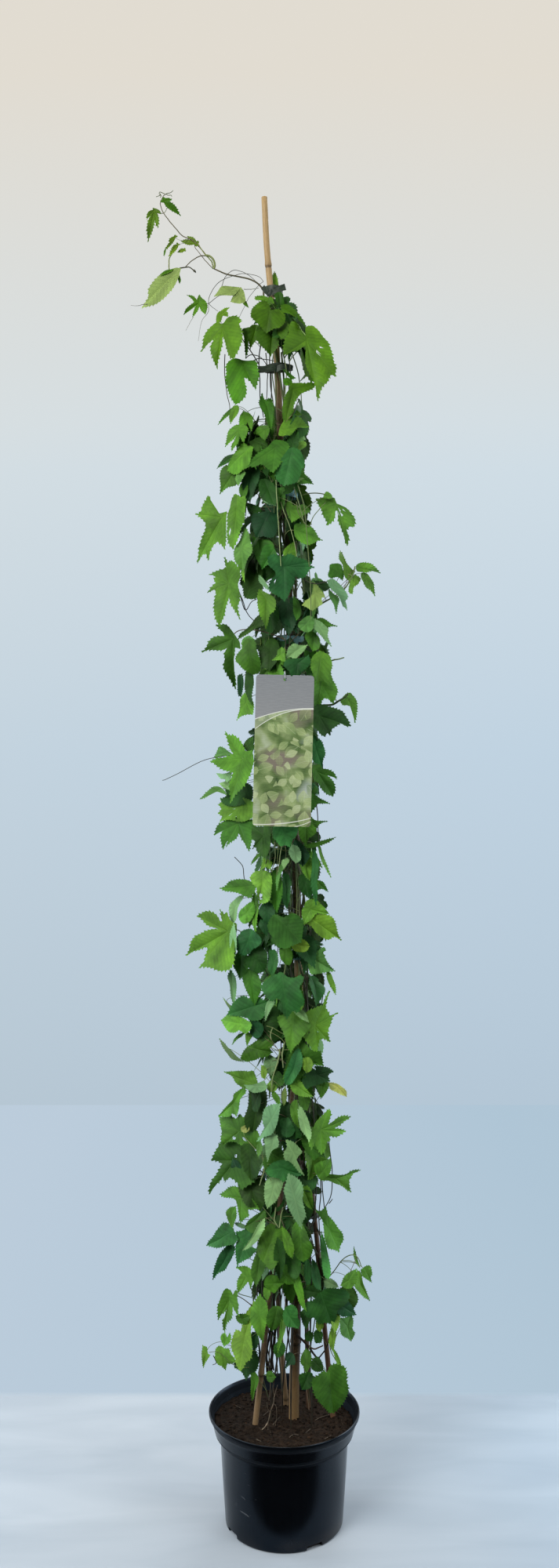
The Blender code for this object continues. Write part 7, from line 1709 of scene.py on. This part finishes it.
for n, (cx, cy, tips, step, shade, more) in enumerate(LEAVES):
    rng = random.Random(9000 + n)
    z_mid = CAM[2] + (MID_Y - cy) / 684.5
    off = (cx - 362.5) / 684.5 - cane_x(z_mid)
    # the leaves stand round the stems: furthest forward at the middle, further back towards the sides
    base = -0.004 - 0.048 * math.sqrt(max(0.03, 1 - (off / 0.11) ** 2)) - 0.011 * step + rng.uniform(-0.003, 0.003)
    if more.get("top"):
        base = -0.128
    base = more.get("y", base)
    centre = at(cx, cy, base)
    scale = (base - CAM[1]) / FOCAL_PX
    drawn = None
    if len(tips[0]) == 2:
        drawn = [((tx - cx) * scale, (cy - ty) * scale) for tx, ty in tips]
        lobes = [(*max(drawn, key=lambda q: math.hypot(*q)), 0.0)]
    else:
        lobes = [((tx - cx) * scale, (cy - ty) * scale, w * scale) for tx, ty, w in tips]
    length = math.hypot(*lobes[0][:2])
    lean_x = clamp(off / 0.10, -1, 1) * 0.50 + rng.uniform(-0.22, 0.22)
    lean_z = rng.uniform(0.15, 0.60) if not more.get("face_up") else rng.uniform(-0.2, 0.3)
    if more.get("top"):
        lean_x, lean_z = 0.05, 0.12
    across, along = np.array((1.0, lean_x, 0.0)), np.array((0.0, lean_z, 1.0))
    normal = np.array((0.0, -1.0, 0.0))
    home = batch_for(centre + np.array((0, -0.02, 0)))
    droop = rng.uniform(0.05, 0.32) if length > 0.02 else 0.05
    if more.get("flat"):
        droop *= 0.5
    holes = [((hx - cx) * scale, (cy - hy) * scale, hr * scale) for hx, hy, hr in more.get("holes", ())]
    leaf_into(home, centre, across, along, normal, lobes, shade, rng, face=more.get("face", 1), fold=rng.uniform(-0.05, 0.30),
              droop=droop * (0.3 if more.get("top") else 1.0), cup=rng.uniform(0.0, 0.22), wave=rng.uniform(0.05, 0.16),
              twist=rng.uniform(-0.3, 0.3), warm=more.get("warm", 0.0) + rng.uniform(-0.05, 0.08), holes=holes, outline=drawn,
              tone=more.get("tone", 1.0), tooth=more.get("tooth", 0.34))
    main = np.array(lobes[0][:2]) / length
    direction = across * main[0] + along * main[1]
    direction /= np.linalg.norm(direction)
    stalk_into(home, centre, direction, normal, length, rng)


# ---------------------------------------------------------------- leaves on the sides, behind and inside
def in_boxes(px, py, boxes, margin=0.0):
    return any(x0 - margin < px < x1 + margin and y0 - margin < py < y1 + margin for x0, y0, x1, y1 in boxes)


def fits(points):
    for p in points:
        px, py = seen_at(p)
        left, right = np.interp(py, EDGES[:, 0], EDGES[:, 1]), np.interp(py, EDGES[:, 0], EDGES[:, 2])
        if not left + 2 < px < right - 2 or in_boxes(px, py, OPEN_VIEWS, 2) or (p[1] < 0.005 and in_boxes(px, py, CANE_VIEWS, 1)):
            return False
    return True


FILL = {"front": 7, "right": 10, "back": 13, "left": 10}
filled = 0
for side, rows in SIDE_SHOOTS.items():
    for i, (top_z, low_z, reach) in enumerate(rows):
        rng = random.Random(f"fill {side} {i}")
        name = f"side_shoot_{side}_{i + 1}"
        home = batches.setdefault(name, Batch())
        want, tries = FILL[side], 0
        if i == 7:
            want = 3
        while want > 0 and tries < 400:
            tries += 1
            az = math.radians(SIDES[side] + rng.uniform(-42, 42))
            z = mix(top_z + 0.02, low_z, rng.random())
            if z < 0.43:
                continue
            out = np.array((math.cos(az), math.sin(az), 0.0))
            side_way = np.array((-math.sin(az), math.cos(az), 0.0))
            deep = side == "front"
            rc = rng.uniform(0.018, 0.040) if deep else rng.uniform(0.026, 0.066)
            centre = np.array((cane_x(z), 0.0, z)) + out * rc
            size = rng.uniform(0.038, 0.082) * (0.85 if deep else 1.0)
            along_ = out * rng.uniform(0.05, 0.75) + side_way * rng.uniform(-0.8, 0.8) + np.array((0, 0, -1.0)) * rng.uniform(0.35, 1.1)
            along_ /= np.linalg.norm(along_)
            normal = out * rng.uniform(0.6, 1.0) + np.array((0, 0, 1.0)) * rng.uniform(0.15, 0.9) + side_way * rng.uniform(-0.35, 0.35)
            normal -= along_ * np.dot(normal, along_)
            normal /= np.linalg.norm(normal)
            across_ = np.cross(along_, normal)
            kind = rng.random()
            if kind < 0.34:
                tips = [(0, size, size * 0.34)]
            elif kind < 0.80:
                tips = [(0, size, size * 0.25)]
                for s in (-1, 1):
                    a, ln = math.radians(rng.uniform(38, 62)) * s, size * rng.uniform(0.62, 0.88)
                    tips.append((math.sin(a) * ln, math.cos(a) * ln, ln * rng.uniform(0.22, 0.30)))
            else:
                tips = [(0, size, size * 0.21)]
                for s in (-1, 1):
                    for a0, f in ((42, 0.85), (88, 0.58)):
                        a, ln = math.radians(a0 + rng.uniform(-8, 8)) * s, size * f * rng.uniform(0.85, 1.0)
                        tips.append((math.sin(a) * ln, math.cos(a) * ln, ln * 0.24))
            places = [centre + across_ * x + along_ * y for x, y, _ in tips] + [centre]
            far = max(math.hypot(p[0] - cane_x(p[2]), p[1]) for p in places)
            if far > reach - 0.004 or not fits(places):
                continue
            under = rng.random() < 0.16
            shade = rng.choices(("light", "mid", "dark", "blue", "pale", "lime"), (24, 34, 22, 10, 7, 3))[0]
            # painted shade: the fill leaves deep inside the front get only dark tints, for the shaded inside of the
            # foliage
            if deep:
                shade = rng.choice(("dark", "dark", "mid", "bluedark"))
            leaf_into(home, centre, across_, along_, normal, tips, "under" if under and not deep else shade, rng,
                      face=-1 if under and not deep else 1,
                      fold=rng.uniform(-0.05, 0.35), droop=rng.uniform(0.05, 0.35), cup=rng.uniform(0.0, 0.22),
                      wave=rng.uniform(0.05, 0.18), twist=rng.uniform(-0.4, 0.4), warm=rng.uniform(-0.08, 0.08))
            stalk_into(home, centre, along_, normal, size, rng)
            want -= 1
            filled += 1
print("leaves from the table", len(LEAVES), "and filled in", filled)

for side, rows in SIDE_SHOOTS.items():
    for i in range(len(rows)):
        name = f"side_shoot_{side}_{i + 1}"
        if name in batches and batches[name].count:
            place_piece(batches[name].make(f"leaves_{side}_{i + 1}", LEAF_SET), name)
        else:
            print("no leaves for", name)

# ---------------------------------------------------------------- the growing tip
TIP_ROUTE = (
    (-0.0390, -0.0010, 2.2632), (-0.0386, -0.0020, 2.2740), (-0.0386, -0.0030, 2.2880), (-0.0400, -0.0040, 2.2965),
    (-0.0520, -0.0070, 2.3035), (-0.0700, -0.0110, 2.3095), (-0.0880, -0.0150, 2.3135), (-0.1060, -0.0180, 2.3172),
    (-0.1205, -0.0200, 2.3232), (-0.1330, -0.0205, 2.3330), (-0.1430, -0.0205, 2.3420), (-0.1535, -0.0200, 2.3480),
    (-0.1625, -0.0195, 2.3590), (-0.1670, -0.0190, 2.3730), (-0.1790, -0.0180, 2.3835), (-0.1905, -0.0170, 2.3925),
    (-0.2010, -0.0160, 2.4030), (-0.2130, -0.0150, 2.4160), (-0.2250, -0.0150, 2.4310), (-0.2312, -0.0150, 2.4450),
    (-0.2302, -0.0150, 2.4570), (-0.2262, -0.0150, 2.4650), (-0.2200, -0.0160, 2.4715), (-0.2130, -0.0170, 2.4740),
)
TIP_BROWN, TIP_GREEN = (0.120, 0.110, 0.060), (0.200, 0.250, 0.080)
tip = Batch()


def twig(batch, line, y, radius, colour, sides=8, end=0.7, wob=0.0004):
    """A thin stem through pixels, at depth y (m), or from one depth to another."""
    y0, y1 = y if isinstance(y, tuple) else (y, y)
    ys = np.linspace(y0, y1, len(line))
    pts = spline([at(px, py, d) for (px, py), d in zip(line, ys)], max(8, 6 * len(line)))
    count = len(pts)
    shift = np.array([[noise.noise(Vector((i * 0.3, line[0][0] * 0.7, k * 5.0))) for k in range(3)] for i in range(count)])
    pts = pts + shift * wob
    tube_into(batch, pts, np.linspace(radius, radius * end, count), sides, colour, 2)
    return pts


# the stem itself, from the top of the first bine out to the left
main_tip = [TIP_ROUTE[0], TIP_ROUTE[1], TIP_ROUTE[2]] + [at(px, py, y) for px, py, y in (
    (334, 367, -0.004), (328, 361, -0.006), (318, 356, -0.008), (305, 353, -0.011), (290, 350, -0.014), (280, 346, -0.016),
    (272.5, 342.5, -0.018))]
main_pts = spline(main_tip, 60)
tube_into(tip, main_pts, np.linspace(0.0019, 0.0012, 60), 9, TIP_BROWN, 2)
tube_into(tip, spline([at(272.5, 343, -0.018), at(274, 338, -0.019), at(272, 331, -0.020), at(267, 326.5, -0.020),
                       at(261, 325.5, -0.020)], 24), np.linspace(0.0021, 0.0018, 24), 9, TIP_GREEN, 2)
twig(tip, ((272, 341), (270, 334), (266, 329), (262, 325), (257, 318), (252, 310)), -0.0185, 0.0013, TIP_GREEN)
twig(tip, ((272, 343), (266, 337), (259, 329), (253, 321), (249, 316), (248, 309)), (-0.017, -0.015), 0.0008, TIP_BROWN)
twig(tip, ((264, 327), (256, 317), (249, 309.5), (243, 305), (233, 301), (225, 292.5), (217, 283), (209, 272.5), (206, 266),
           (204.5, 260), (206, 255), (208.5, 250), (211, 248)), (-0.018, -0.015), 0.0011, TIP_BROWN, end=0.6)
twig(tip, ((209, 272), (212, 268), (214, 261), (213, 258)), (-0.015, -0.018), 0.0006, TIP_GREEN)
twig(tip, ((209, 272), (205, 272), (201, 270), (198, 268)), (-0.015, -0.018), 0.0006, TIP_BROWN)
for line in (((211, 248), (207, 246), (204, 245), (203, 247), (205, 249)), ((205, 249), (202, 250), (199, 251)),
             ((204, 247), (205.5, 250), (204, 252)), ((211, 248), (214, 246.5), (217, 246), (221, 243)),
             ((212, 247), (214, 249), (218, 249), (219, 251))):
    twig(tip, line, -0.016, 0.0007, (0.09, 0.12, 0.04), 6)
# stalk of the large leaf, and the dead stub beside it
twig(tip, ((262, 326), (256, 326.5), (250, 329), (243, 334), (238, 339), (236, 341)), (-0.020, -0.0225), 0.0011, TIP_BROWN)
twig(tip, ((229, 342), (236, 341), (242, 341), (246, 344), (248, 347)), -0.0225, 0.0013, (0.06, 0.065, 0.035))
twig(tip, ((247, 344.5), (249, 346), (249.5, 348)), -0.0225, 0.0016, (0.05, 0.055, 0.03), 6)
# narrow leaf stalk and small leaves
twig(tip, ((216, 347), (215.5, 338), (216, 330), (219, 324), (224, 315)), (-0.023, -0.024), 0.0012, TIP_GREEN, end=0.8)
twig(tip, ((246, 310), (238, 309), (231, 311), (226, 312)), (-0.016, -0.022), 0.0004, (0.16, 0.15, 0.10), 5)
twig(tip, ((240, 306), (232, 307), (224, 304)), (-0.016, -0.022), 0.0004, (0.16, 0.15, 0.10), 5)
# loose thin loops between the tie and the small leaves
twig(tip, ((266, 387), (266.5, 380), (270, 372), (277, 362), (286, 356), (297, 352), (309, 349), (322, 350.5), (331, 353.5),
           (336, 359)), (-0.028, -0.008), 0.0006, DARK_STEM, 6)
twig(tip, ((283, 365), (286, 356), (290, 350), (297, 345), (303, 345), (312, 348), (321, 354), (329, 362)), (-0.024, -0.008),
     0.0006, DARK_STEM, 6)
twig(tip, ((336, 359), (330, 364), (324, 371), (316, 382), (310, 395), (304, 407), (303, 413)), (-0.008, -0.016), 0.0005,
     DARK_STEM, 6)
twig(tip, ((311, 369), (320, 369), (330, 367.5)), (-0.022, -0.008), 0.0006, (0.12, 0.14, 0.06), 6)
twig(tip, ((266, 387), (271, 392), (278, 397)), (-0.028, -0.026), 0.0005, DARK_STEM, 6)
twig(tip, ((266, 387), (266, 396), (263, 402), (258, 408), (255, 420), (253, 435)), (-0.028, -0.030), 0.0005, (0.14, 0.14, 0.10), 5, 0.5)
twig(tip, ((247, 404), (243, 410), (239, 418), (237, 422)), (-0.031, -0.032), 0.0004, (0.22, 0.22, 0.18), 5)
twig(tip, ((257, 386), (262, 386), (266, 387), (274, 381), (281, 376)), (-0.030, -0.026), 0.0007, DARK_STEM, 6)


def tip_leaf_at(batch, cx, cy, tips, y, shade, seed, **more):
    rng = random.Random(seed)
    scale = (y - CAM[1]) / FOCAL_PX
    if len(tips[0]) == 2:
        more["outline"] = [((tx - cx) * scale, (cy - ty) * scale) for tx, ty in tips]
        lobes = [(*max(more["outline"], key=lambda q: math.hypot(*q)), 0.0)]
    else:
        lobes = [((tx - cx) * scale, (cy - ty) * scale, w * scale) for tx, ty, w in tips]
    lean = more.pop("lean", (rng.uniform(-0.2, 0.3), rng.uniform(0.0, 0.4)))
    more = {"fold": 0.15, "droop": 0.12, "cup": 0.08, "wave": 0.06, **more}
    leaf_into(batch, at(cx, cy, y), (1.0, lean[0], 0.0), (0.0, lean[1], 1.0), (0.0, -1.0, 0.0), lobes, shade, rng, **more)


# small leaves that ride on the tip's own piece
tip_leaf_at(tip, 224, 302, ((210, 320, 3), (214, 311, 3)), -0.022, "light", 1, warm=0.25)
tip_leaf_at(tip, 227, 312, ((216, 330, 3), (220, 322, 3)), -0.023, "light", 2, warm=0.25)
tip_leaf_at(tip, 235, 319, ((226, 321, 3),), -0.022, "light", 3, warm=0.25)
tip_leaf_at(tip, 211, 318, ((209, 327, 1.2),), -0.022, "mid", 4)
place_piece(tip.make("tip_stem", LEAF_SET), "tip_shoot")

# the leaves that are parts of their own
b = Batch()
tip_leaf_at(b, 223, 350, ((231, 343), (224, 342), (215, 345), (205, 350), (196, 358), (189, 368), (188, 379), (179, 389), (192, 389),
                          (203, 386), (213, 379), (221, 370), (226, 361), (229, 352)), -0.024, "young", 11, face=-1,
            lean=(-0.12, 0.18), fold=0.05, wave=0.05, tooth=0.28, tone=0.88)
tip_leaf_at(b, 227, 350, ((230, 343), (226, 352), (229, 363), (231, 358), (229, 350)), -0.0235, "mid", 12, tooth=0.1)
twig(b, ((189, 388), (182, 388.5), (175, 390), (167, 389.5)), (-0.028, -0.029), 0.0007, (0.16, 0.15, 0.12), 5, 0.4)
tip_leaf_at(b, 214, 347, ((222, 343), (211, 345), (200, 353), (209, 351), (218, 347)), -0.0255, "mid", 13, tooth=0.15)
place_piece(b.make("tip_leaf_large_blade", LEAF_SET), "tip_leaf_large")
b = Batch()
tip_leaf_at(b, 197, 268, ((189, 309, 5), (202, 294, 4), (187, 283, 4), (206, 274, 3)), -0.018, "light", 14, warm=0.15, lean=(0.1, 0.25))
place_piece(b.make("tip_leaf_lobed_blade", LEAF_SET), "tip_leaf_lobed")
b = Batch()
tip_leaf_at(b, 209, 257, ((230, 273, 5), (220, 255.5, 3)), -0.018, "mid", 15, fold=0.5, lean=(0.15, 0.2))
place_piece(b.make("tip_leaf_folded_blade", LEAF_SET), "tip_leaf_folded")
b = Batch()
tip_leaf_at(b, 250, 311, ((230, 305, 5), (238, 299.5, 4)), -0.018, "light", 16, warm=0.3, lean=(0.1, 0.3), cup=0.2)
place_piece(b.make("tip_leaf_light_blade", LEAF_SET), "tip_leaf_light")
b = Batch()
tip_leaf_at(b, 254, 386.5, ((254, 375), (257.5, 380), (262, 384), (265, 392), (262.5, 403), (257, 398), (254.5, 392), (252, 399), (245.5, 406.5),
                            (247, 398), (249.5, 391), (243, 396), (234, 401), (237.5, 394), (245, 388), (247.5, 386.5), (245, 382),
                            (238, 376), (246, 377.5), (251, 382.5)), -0.031, "mid", 17,
            lean=(0.05, 0.2), tooth=0.18, tone=1.15)
# the pale folded leaf next to it
tip_leaf_at(b, 295, 371, ((308, 366), (295, 364.5), (283, 364), (278, 371), (272.5, 378), (285, 378), (297, 379), (303, 373)), -0.022,
            "young", 18, face=-1, lean=(0.0, 0.5), fold=0.05, tooth=0.15, tone=0.85)
tip_leaf_at(b, 305, 377, ((307, 365), (311, 371), (312.5, 378), (313, 386), (306, 389), (300, 388), (294, 386), (297, 379), (301, 371)), -0.024,
            "young", 19, face=-1, lean=(0.2, 0.3), tooth=0.15, tone=0.9)
tip_leaf_at(b, 314, 386, ((312, 382), (315, 386), (317.5, 393), (313, 391), (310, 388)), -0.025, "mid", 20, tooth=0.1)
place_piece(b.make("tip_leaf_lower_blade", LEAF_SET), "tip_leaf_lower")


# ---------------------------------------------------------------- label
def label_material():
    m = Nodes("Label print")
    place = m.vmath("SUBTRACT", m.coords(), LABEL_CENTRE)
    x, y, z = m.split(place)
    c, s = math.cos(LABEL_LEAN), math.sin(LABEL_LEAN)
    across = m.math("SUBTRACT", m.math("MULTIPLY", x, c), m.math("MULTIPLY", z, s))
    up = m.math("ADD", m.math("MULTIPLY", x, s), m.math("MULTIPLY", z, c))
    u = m.math("ADD", m.math("DIVIDE", across, LABEL_WIDTH), 0.5)
    w = m.math("ADD", m.math("DIVIDE", up, LABEL_HEIGHT), 0.5)
    flat = m.join(across, up, 0.0)
    # soft out-of-focus greens
    blur = m.noise(flat, 26.0, 2.0, 0.5, 0.3)
    blur2 = m.noise(m.vmath("ADD", flat, (3.1, 1.7, 0.0)), 15.0, 1.0, 0.5)
    ground = m.ramp(blur, (0.30, (0.050, 0.095, 0.035)), (0.45, (0.130, 0.210, 0.070)), (0.56, (0.270, 0.360, 0.160)),
                    (0.70, (0.480, 0.560, 0.400)))
    ground = m.mix(m.range(blur2, 0.52, 0.68), ground, (0.230, 0.205, 0.165))
    ground = m.mix(m.range(blur2, 0.28, 0.40, 0.8, 0.0), ground, (0.520, 0.600, 0.560))

    def motif(scale, shift, long, wide, palette):
        """Simple pointed ovals, each turned its own way."""
        moved = m.scaled(m.vmath("ADD", flat, shift), (scale, scale, scale))
        cell = m.voronoi(moved, 1.0, randomness=0.7)
        local = m.vmath("SUBTRACT", moved, cell.outputs["Position"])
        r, g, b_ = m.split(cell.outputs["Color"])
        turn = m.math("MULTIPLY", r, 2 * math.pi)
        lx, ly, _ = m.split(local)
        cs, sn = m.math("COSINE", turn), m.math("SINE", turn)
        a = m.math("ADD", m.math("MULTIPLY", lx, cs), m.math("MULTIPLY", ly, sn))
        o = m.math("ABSOLUTE", m.math("SUBTRACT", m.math("MULTIPLY", ly, cs), m.math("MULTIPLY", lx, sn)))
        bell = m.math("SUBTRACT", 1.0, m.math("POWER", m.math("ABSOLUTE", m.math("DIVIDE", a, long)), 1.7))
        inside = m.math("SUBTRACT", m.math("MULTIPLY", bell, wide), o)
        mask = m.range(inside, 0.0, 0.035, smooth=True)
        rib = m.range(o, 0.006, 0.022, 0.5, 0.0)
        side_rib = m.math("ABSOLUTE", m.math("SUBTRACT", m.math("FRACT", m.math("MULTIPLY", m.math("SUBTRACT", a, m.math(
            "MULTIPLY", o, 0.9)), 9.0)), 0.5))
        rib = m.math("MAXIMUM", rib, m.range(side_rib, 0.03, 0.12, 0.25, 0.0))
        tone = m.ramp(g, *palette)
        tone = m.mix(m.range(m.math("ADD", a, m.math("MULTIPLY", o, 0.6)), -0.4, 0.4, 0.0, 0.55), tone, (0.62, 0.72, 0.36))
        tone = m.mix(rib, tone, (0.72, 0.80, 0.52))
        return m.math("MULTIPLY", mask, m.range(b_, 0.30, 0.42)), tone

    mask1, tone1 = motif(30.0, (0.0, 0.004, 0.0), 0.48, 0.34, ((0.2, (0.08, 0.17, 0.045)), (0.5, (0.17, 0.30, 0.09)), (0.8, (0.30, 0.42, 0.17))))
    mask2, tone2 = motif(40.0, (0.011, -0.007, 0.0), 0.45, 0.30, ((0.2, (0.24, 0.36, 0.13)), (0.5, (0.36, 0.48, 0.22)), (0.8, (0.50, 0.60, 0.36))))
    picture = m.mix(m.math("MULTIPLY", mask1, 0.60), ground, tone1)
    picture = m.mix(m.math("MULTIPLY", mask2, 0.65), picture, tone2)
    # grey header over it, with thin white curves along its edge and the foot
    header = m.mix(m.range(w, 0.70, 1.0), (0.300, 0.315, 0.335), (0.265, 0.285, 0.310))
    bend = m.math("SUBTRACT", 1.0, m.math("POWER", m.math("SUBTRACT", 1.0, u, clamped=True), 2.0))
    curve1 = m.math("ADD", m.math("MULTIPLY", bend, 0.078), 0.705)
    bend2 = m.math("SUBTRACT", 1.0, m.math("POWER", m.math("SUBTRACT", 1.0, u, clamped=True), 2.3))
    curve2 = m.math("ADD", m.math("MULTIPLY", bend2, 0.140), 0.638)
    curve3 = m.math("ADD", m.math("MULTIPLY", m.math("POWER", u, 2.4), 0.050), 0.010)
    curve4 = m.math("SUBTRACT", m.math("MULTIPLY", m.math("POWER", u, 3.2), 0.060), 0.022)
    veil = m.mix(0.45, picture, (0.50, 0.58, 0.42))
    over1 = m.range(m.math("SUBTRACT", w, curve1), -0.001, 0.001)
    over2 = m.range(m.math("SUBTRACT", w, curve2), -0.001, 0.001)
    colour = m.mix(over2, picture, veil)
    colour = m.mix(over1, colour, header)
    for curve, half in ((curve1, 0.0032), (curve2, 0.0028), (curve3, 0.0030), (curve4, 0.0024)):
        near = m.math("ABSOLUTE", m.math("SUBTRACT", w, curve))
        colour = m.mix(m.range(near, half * 0.6, half * 1.3, 0.9, 0.0), colour, (0.80, 0.84, 0.78))
    # the back and the cut edges are plain
    normal = m.add("NewGeometry").outputs["Normal"]
    ny = m.split(normal)[1]
    back = m.range(ny, -0.6, -0.4)
    colour = m.mix(back, colour, (0.56, 0.58, 0.58))
    scratch = m.noise(m.scaled(flat, (30.0, 300.0, 1.0)), 2.0, 2.0, 0.5)
    m.bump(m.noise(flat, 18.0, 2.0, 0.5), 0.25, 0.004)
    return m.finish(colour, m.range(scratch, 0.4, 0.7, 0.22, 0.36), 0.5)


def dress(node, mat):
    data = nodes[node].data
    if not data.materials:
        data.materials.append(mat)
    for i in range(len(data.materials)):
        data.materials[i] = mat
    for slot in nodes[node].material_slots:
        slot.material = mat


dress("label", label_material())
strap = Nodes("Label strap")
tone = strap.noise(strap.coords(), 160.0, 2.0, 0.5)
strap.finish(strap.mix(strap.range(tone, 0.35, 0.65), (0.42, 0.50, 0.50), (0.60, 0.66, 0.65)), strap.range(tone, 0.3, 0.7, 0.22, 0.38), 0.5)
dress("label_loop", strap.mat)

# ---------------------------------------------------------------- floor and light
floor_nodes = Nodes("Floor")
spot = floor_nodes.coords()
grain = floor_nodes.noise(spot, 3.0, 2.0, 0.5)
fx, fy, fz = floor_nodes.split(spot)
beyond = floor_nodes.range(fy, 0.462, 0.486)
# painted shade: the flat floor cloth is lighter and darker in long bands, for its folds
cloth_fold_shade = floor_nodes.noise(floor_nodes.scaled(spot, (2.2, 9.0, 1.0)), 1.0, 3.0, 0.5, 0.6)
pale = floor_nodes.mix(floor_nodes.range(cloth_fold_shade, 0.3, 0.7), (0.390, 0.452, 0.528), (0.470, 0.532, 0.606))
# painted shade: the cloth is darker and bluer towards the right
pale = floor_nodes.mix(floor_nodes.range(fx, 0.05, 0.5), pale, floor_nodes.vmath("MULTIPLY", pale, (0.89, 0.95, 1.0)))
# painted shade: in front of y -0.155 the floor is near black, for the unlit drop past its front edge
pale = floor_nodes.mix(floor_nodes.range(fy, -0.160, -0.150), (0.014, 0.016, 0.020), pale)
floor_nodes.finish(floor_nodes.mix(beyond, pale, (0.0, 0.0, 0.0)), 0.9, 0.0)
# painted light: beyond y 0.47 the floor turns black and glows blue grey, to run on into the wall
floor_nodes.put(floor_nodes.bsdf.inputs["Emission Color"], floor_nodes.mix(floor_nodes.range(fx, -0.9, 0.9), (0.500, 0.605, 0.710), (0.430, 0.560, 0.670)))
floor_nodes.put(floor_nodes.bsdf.inputs["Emission Strength"], beyond)
# a wall well behind that glows with painted light, warm white above and cool grey blue below, a little bluer to the
# right
wall_nodes = Nodes("Backdrop")
wx, wy, wz = wall_nodes.split(wall_nodes.coords())
hue = wall_nodes.mix(wall_nodes.range(wz, -1.54, 1.65), (0.470, 0.570, 0.655), (0.545, 0.650, 0.735))
hue = wall_nodes.mix(wall_nodes.range(wz, 1.65, 4.62), hue, (0.665, 0.735, 0.770))
hue = wall_nodes.mix(wall_nodes.range(wz, 4.20, 7.81), hue, (0.755, 0.715, 0.640))
hue = wall_nodes.mix(wall_nodes.math("MULTIPLY", wall_nodes.range(wx, -2.55, 2.55, 0.0, 0.35), wall_nodes.range(wz, 4.62, 5.90, 1.0, 0.0)), hue,
                     wall_nodes.vmath("MULTIPLY", hue, (0.90, 0.99, 1.08)))
wall_nodes.finish((0.0, 0.0, 0.0), 0.9, 0.0)
wall_nodes.put(wall_nodes.bsdf.inputs["Emission Color"], hue)
wall_nodes.bsdf.inputs["Emission Strength"].default_value = 1.0
wall_mesh = bpy.data.meshes.new("backdrop")
wall_mesh.from_pydata([(-14.0, 9.0, -3.0), (14.0, 9.0, -3.0), (14.0, 9.0, 20.0), (-14.0, 9.0, 20.0)], [], [(0, 1, 2, 3)])
wall_mesh.materials.append(wall_nodes.mat)
wall = bpy.data.objects.new("backdrop", wall_mesh)
bpy.context.scene.collection.objects.link(wall)
mesh = bpy.data.meshes.new("floor")
mesh.from_pydata([(-30.0, -30.0, -0.0004), (30.0, -30.0, -0.0004), (30.0, 3.0, -0.0004), (-30.0, 3.0, -0.0004)], [], [(0, 1, 2, 3)])
mesh.materials.append(floor_nodes.mat)
floor = bpy.data.objects.new("floor", mesh)
bpy.context.scene.collection.objects.link(floor)

world = bpy.data.worlds.new("Studio")
bpy.context.scene.world = world
world.use_nodes = True
tree = world.node_tree
direction = tree.nodes.new("ShaderNodeTexCoord").outputs["Generated"]
parts = tree.nodes.new("ShaderNodeSeparateXYZ")
tree.links.new(direction, parts.inputs[0])
sky = tree.nodes.new("ShaderNodeValToRGB")
span = tree.nodes.new("ShaderNodeMapRange")
span.inputs["From Min"].default_value, span.inputs["From Max"].default_value = -1.0, 1.0
tree.links.new(parts.outputs["Z"], span.inputs["Value"])
tree.links.new(span.outputs["Result"], sky.inputs["Fac"])
stops = ((0.40, (0.50, 0.60, 0.70)), (0.50, (0.54, 0.625, 0.70)), (0.62, (0.64, 0.665, 0.67)), (0.76, (0.74, 0.715, 0.65)))
while len(sky.color_ramp.elements) < len(stops):
    sky.color_ramp.elements.new(0.5)
for element, (place, colour) in zip(sky.color_ramp.elements, stops):
    element.position, element.color = place, (*colour, 1.0)
front = tree.nodes.new("ShaderNodeMapRange")
front.interpolation_type = "SMOOTHSTEP"
front.inputs["From Min"].default_value, front.inputs["From Max"].default_value = -0.98, -0.55
front.inputs["To Min"].default_value, front.inputs["To Max"].default_value = 0.12, 1.0
tree.links.new(parts.outputs["Y"], front.inputs["Value"])
dimmed = tree.nodes.new("ShaderNodeVectorMath")
dimmed.operation = "SCALE"
tree.links.new(sky.outputs["Color"], dimmed.inputs[0])
tree.links.new(front.outputs["Result"], dimmed.inputs["Scale"])
tree.links.new(dimmed.outputs["Vector"], tree.nodes["Background"].inputs["Color"])
tree.nodes["Background"].inputs["Strength"].default_value = 1.0


def area_light(name, place, aim, size, power, colour=(1.0, 1.0, 1.0)):
    data = bpy.data.lights.new(name, "AREA")
    data.shape = "RECTANGLE"
    data.size, data.size_y = size
    data.energy = power
    data.color = colour
    obj = bpy.data.objects.new(name, data)
    obj.location = place
    obj.rotation_euler = (Vector(aim) - Vector(place)).to_track_quat("-Z", "Y").to_euler()
    obj.visible_camera = False
    bpy.context.scene.collection.objects.link(obj)


area_light("Key", (-1.9, -2.6, 3.1), (0.0, 0.0, 1.3), (1.6, 2.4), 104.0, (1.0, 0.98, 0.94))
area_light("Fill", (2.4, -1.6, 1.9), (0.0, 0.0, 1.1), (1.2, 2.4), 22.0, (0.95, 0.98, 1.0))
area_light("Side left", (-1.9, 0.5, 0.9), (0.0, 0.0, 0.6), (1.0, 1.7), 16.0, (0.80, 0.90, 1.0))
area_light("Side right", (1.9, 0.5, 0.9), (0.0, 0.0, 0.6), (1.0, 1.7), 16.0, (0.80, 0.90, 1.0))
area_light("Back", (0.6, 2.6, 3.0), (0.0, 0.0, 1.3), (1.6, 2.0), 26.0)

bpy.context.scene.view_settings.view_transform = "Standard"
bpy.context.scene.view_settings.look = "None"
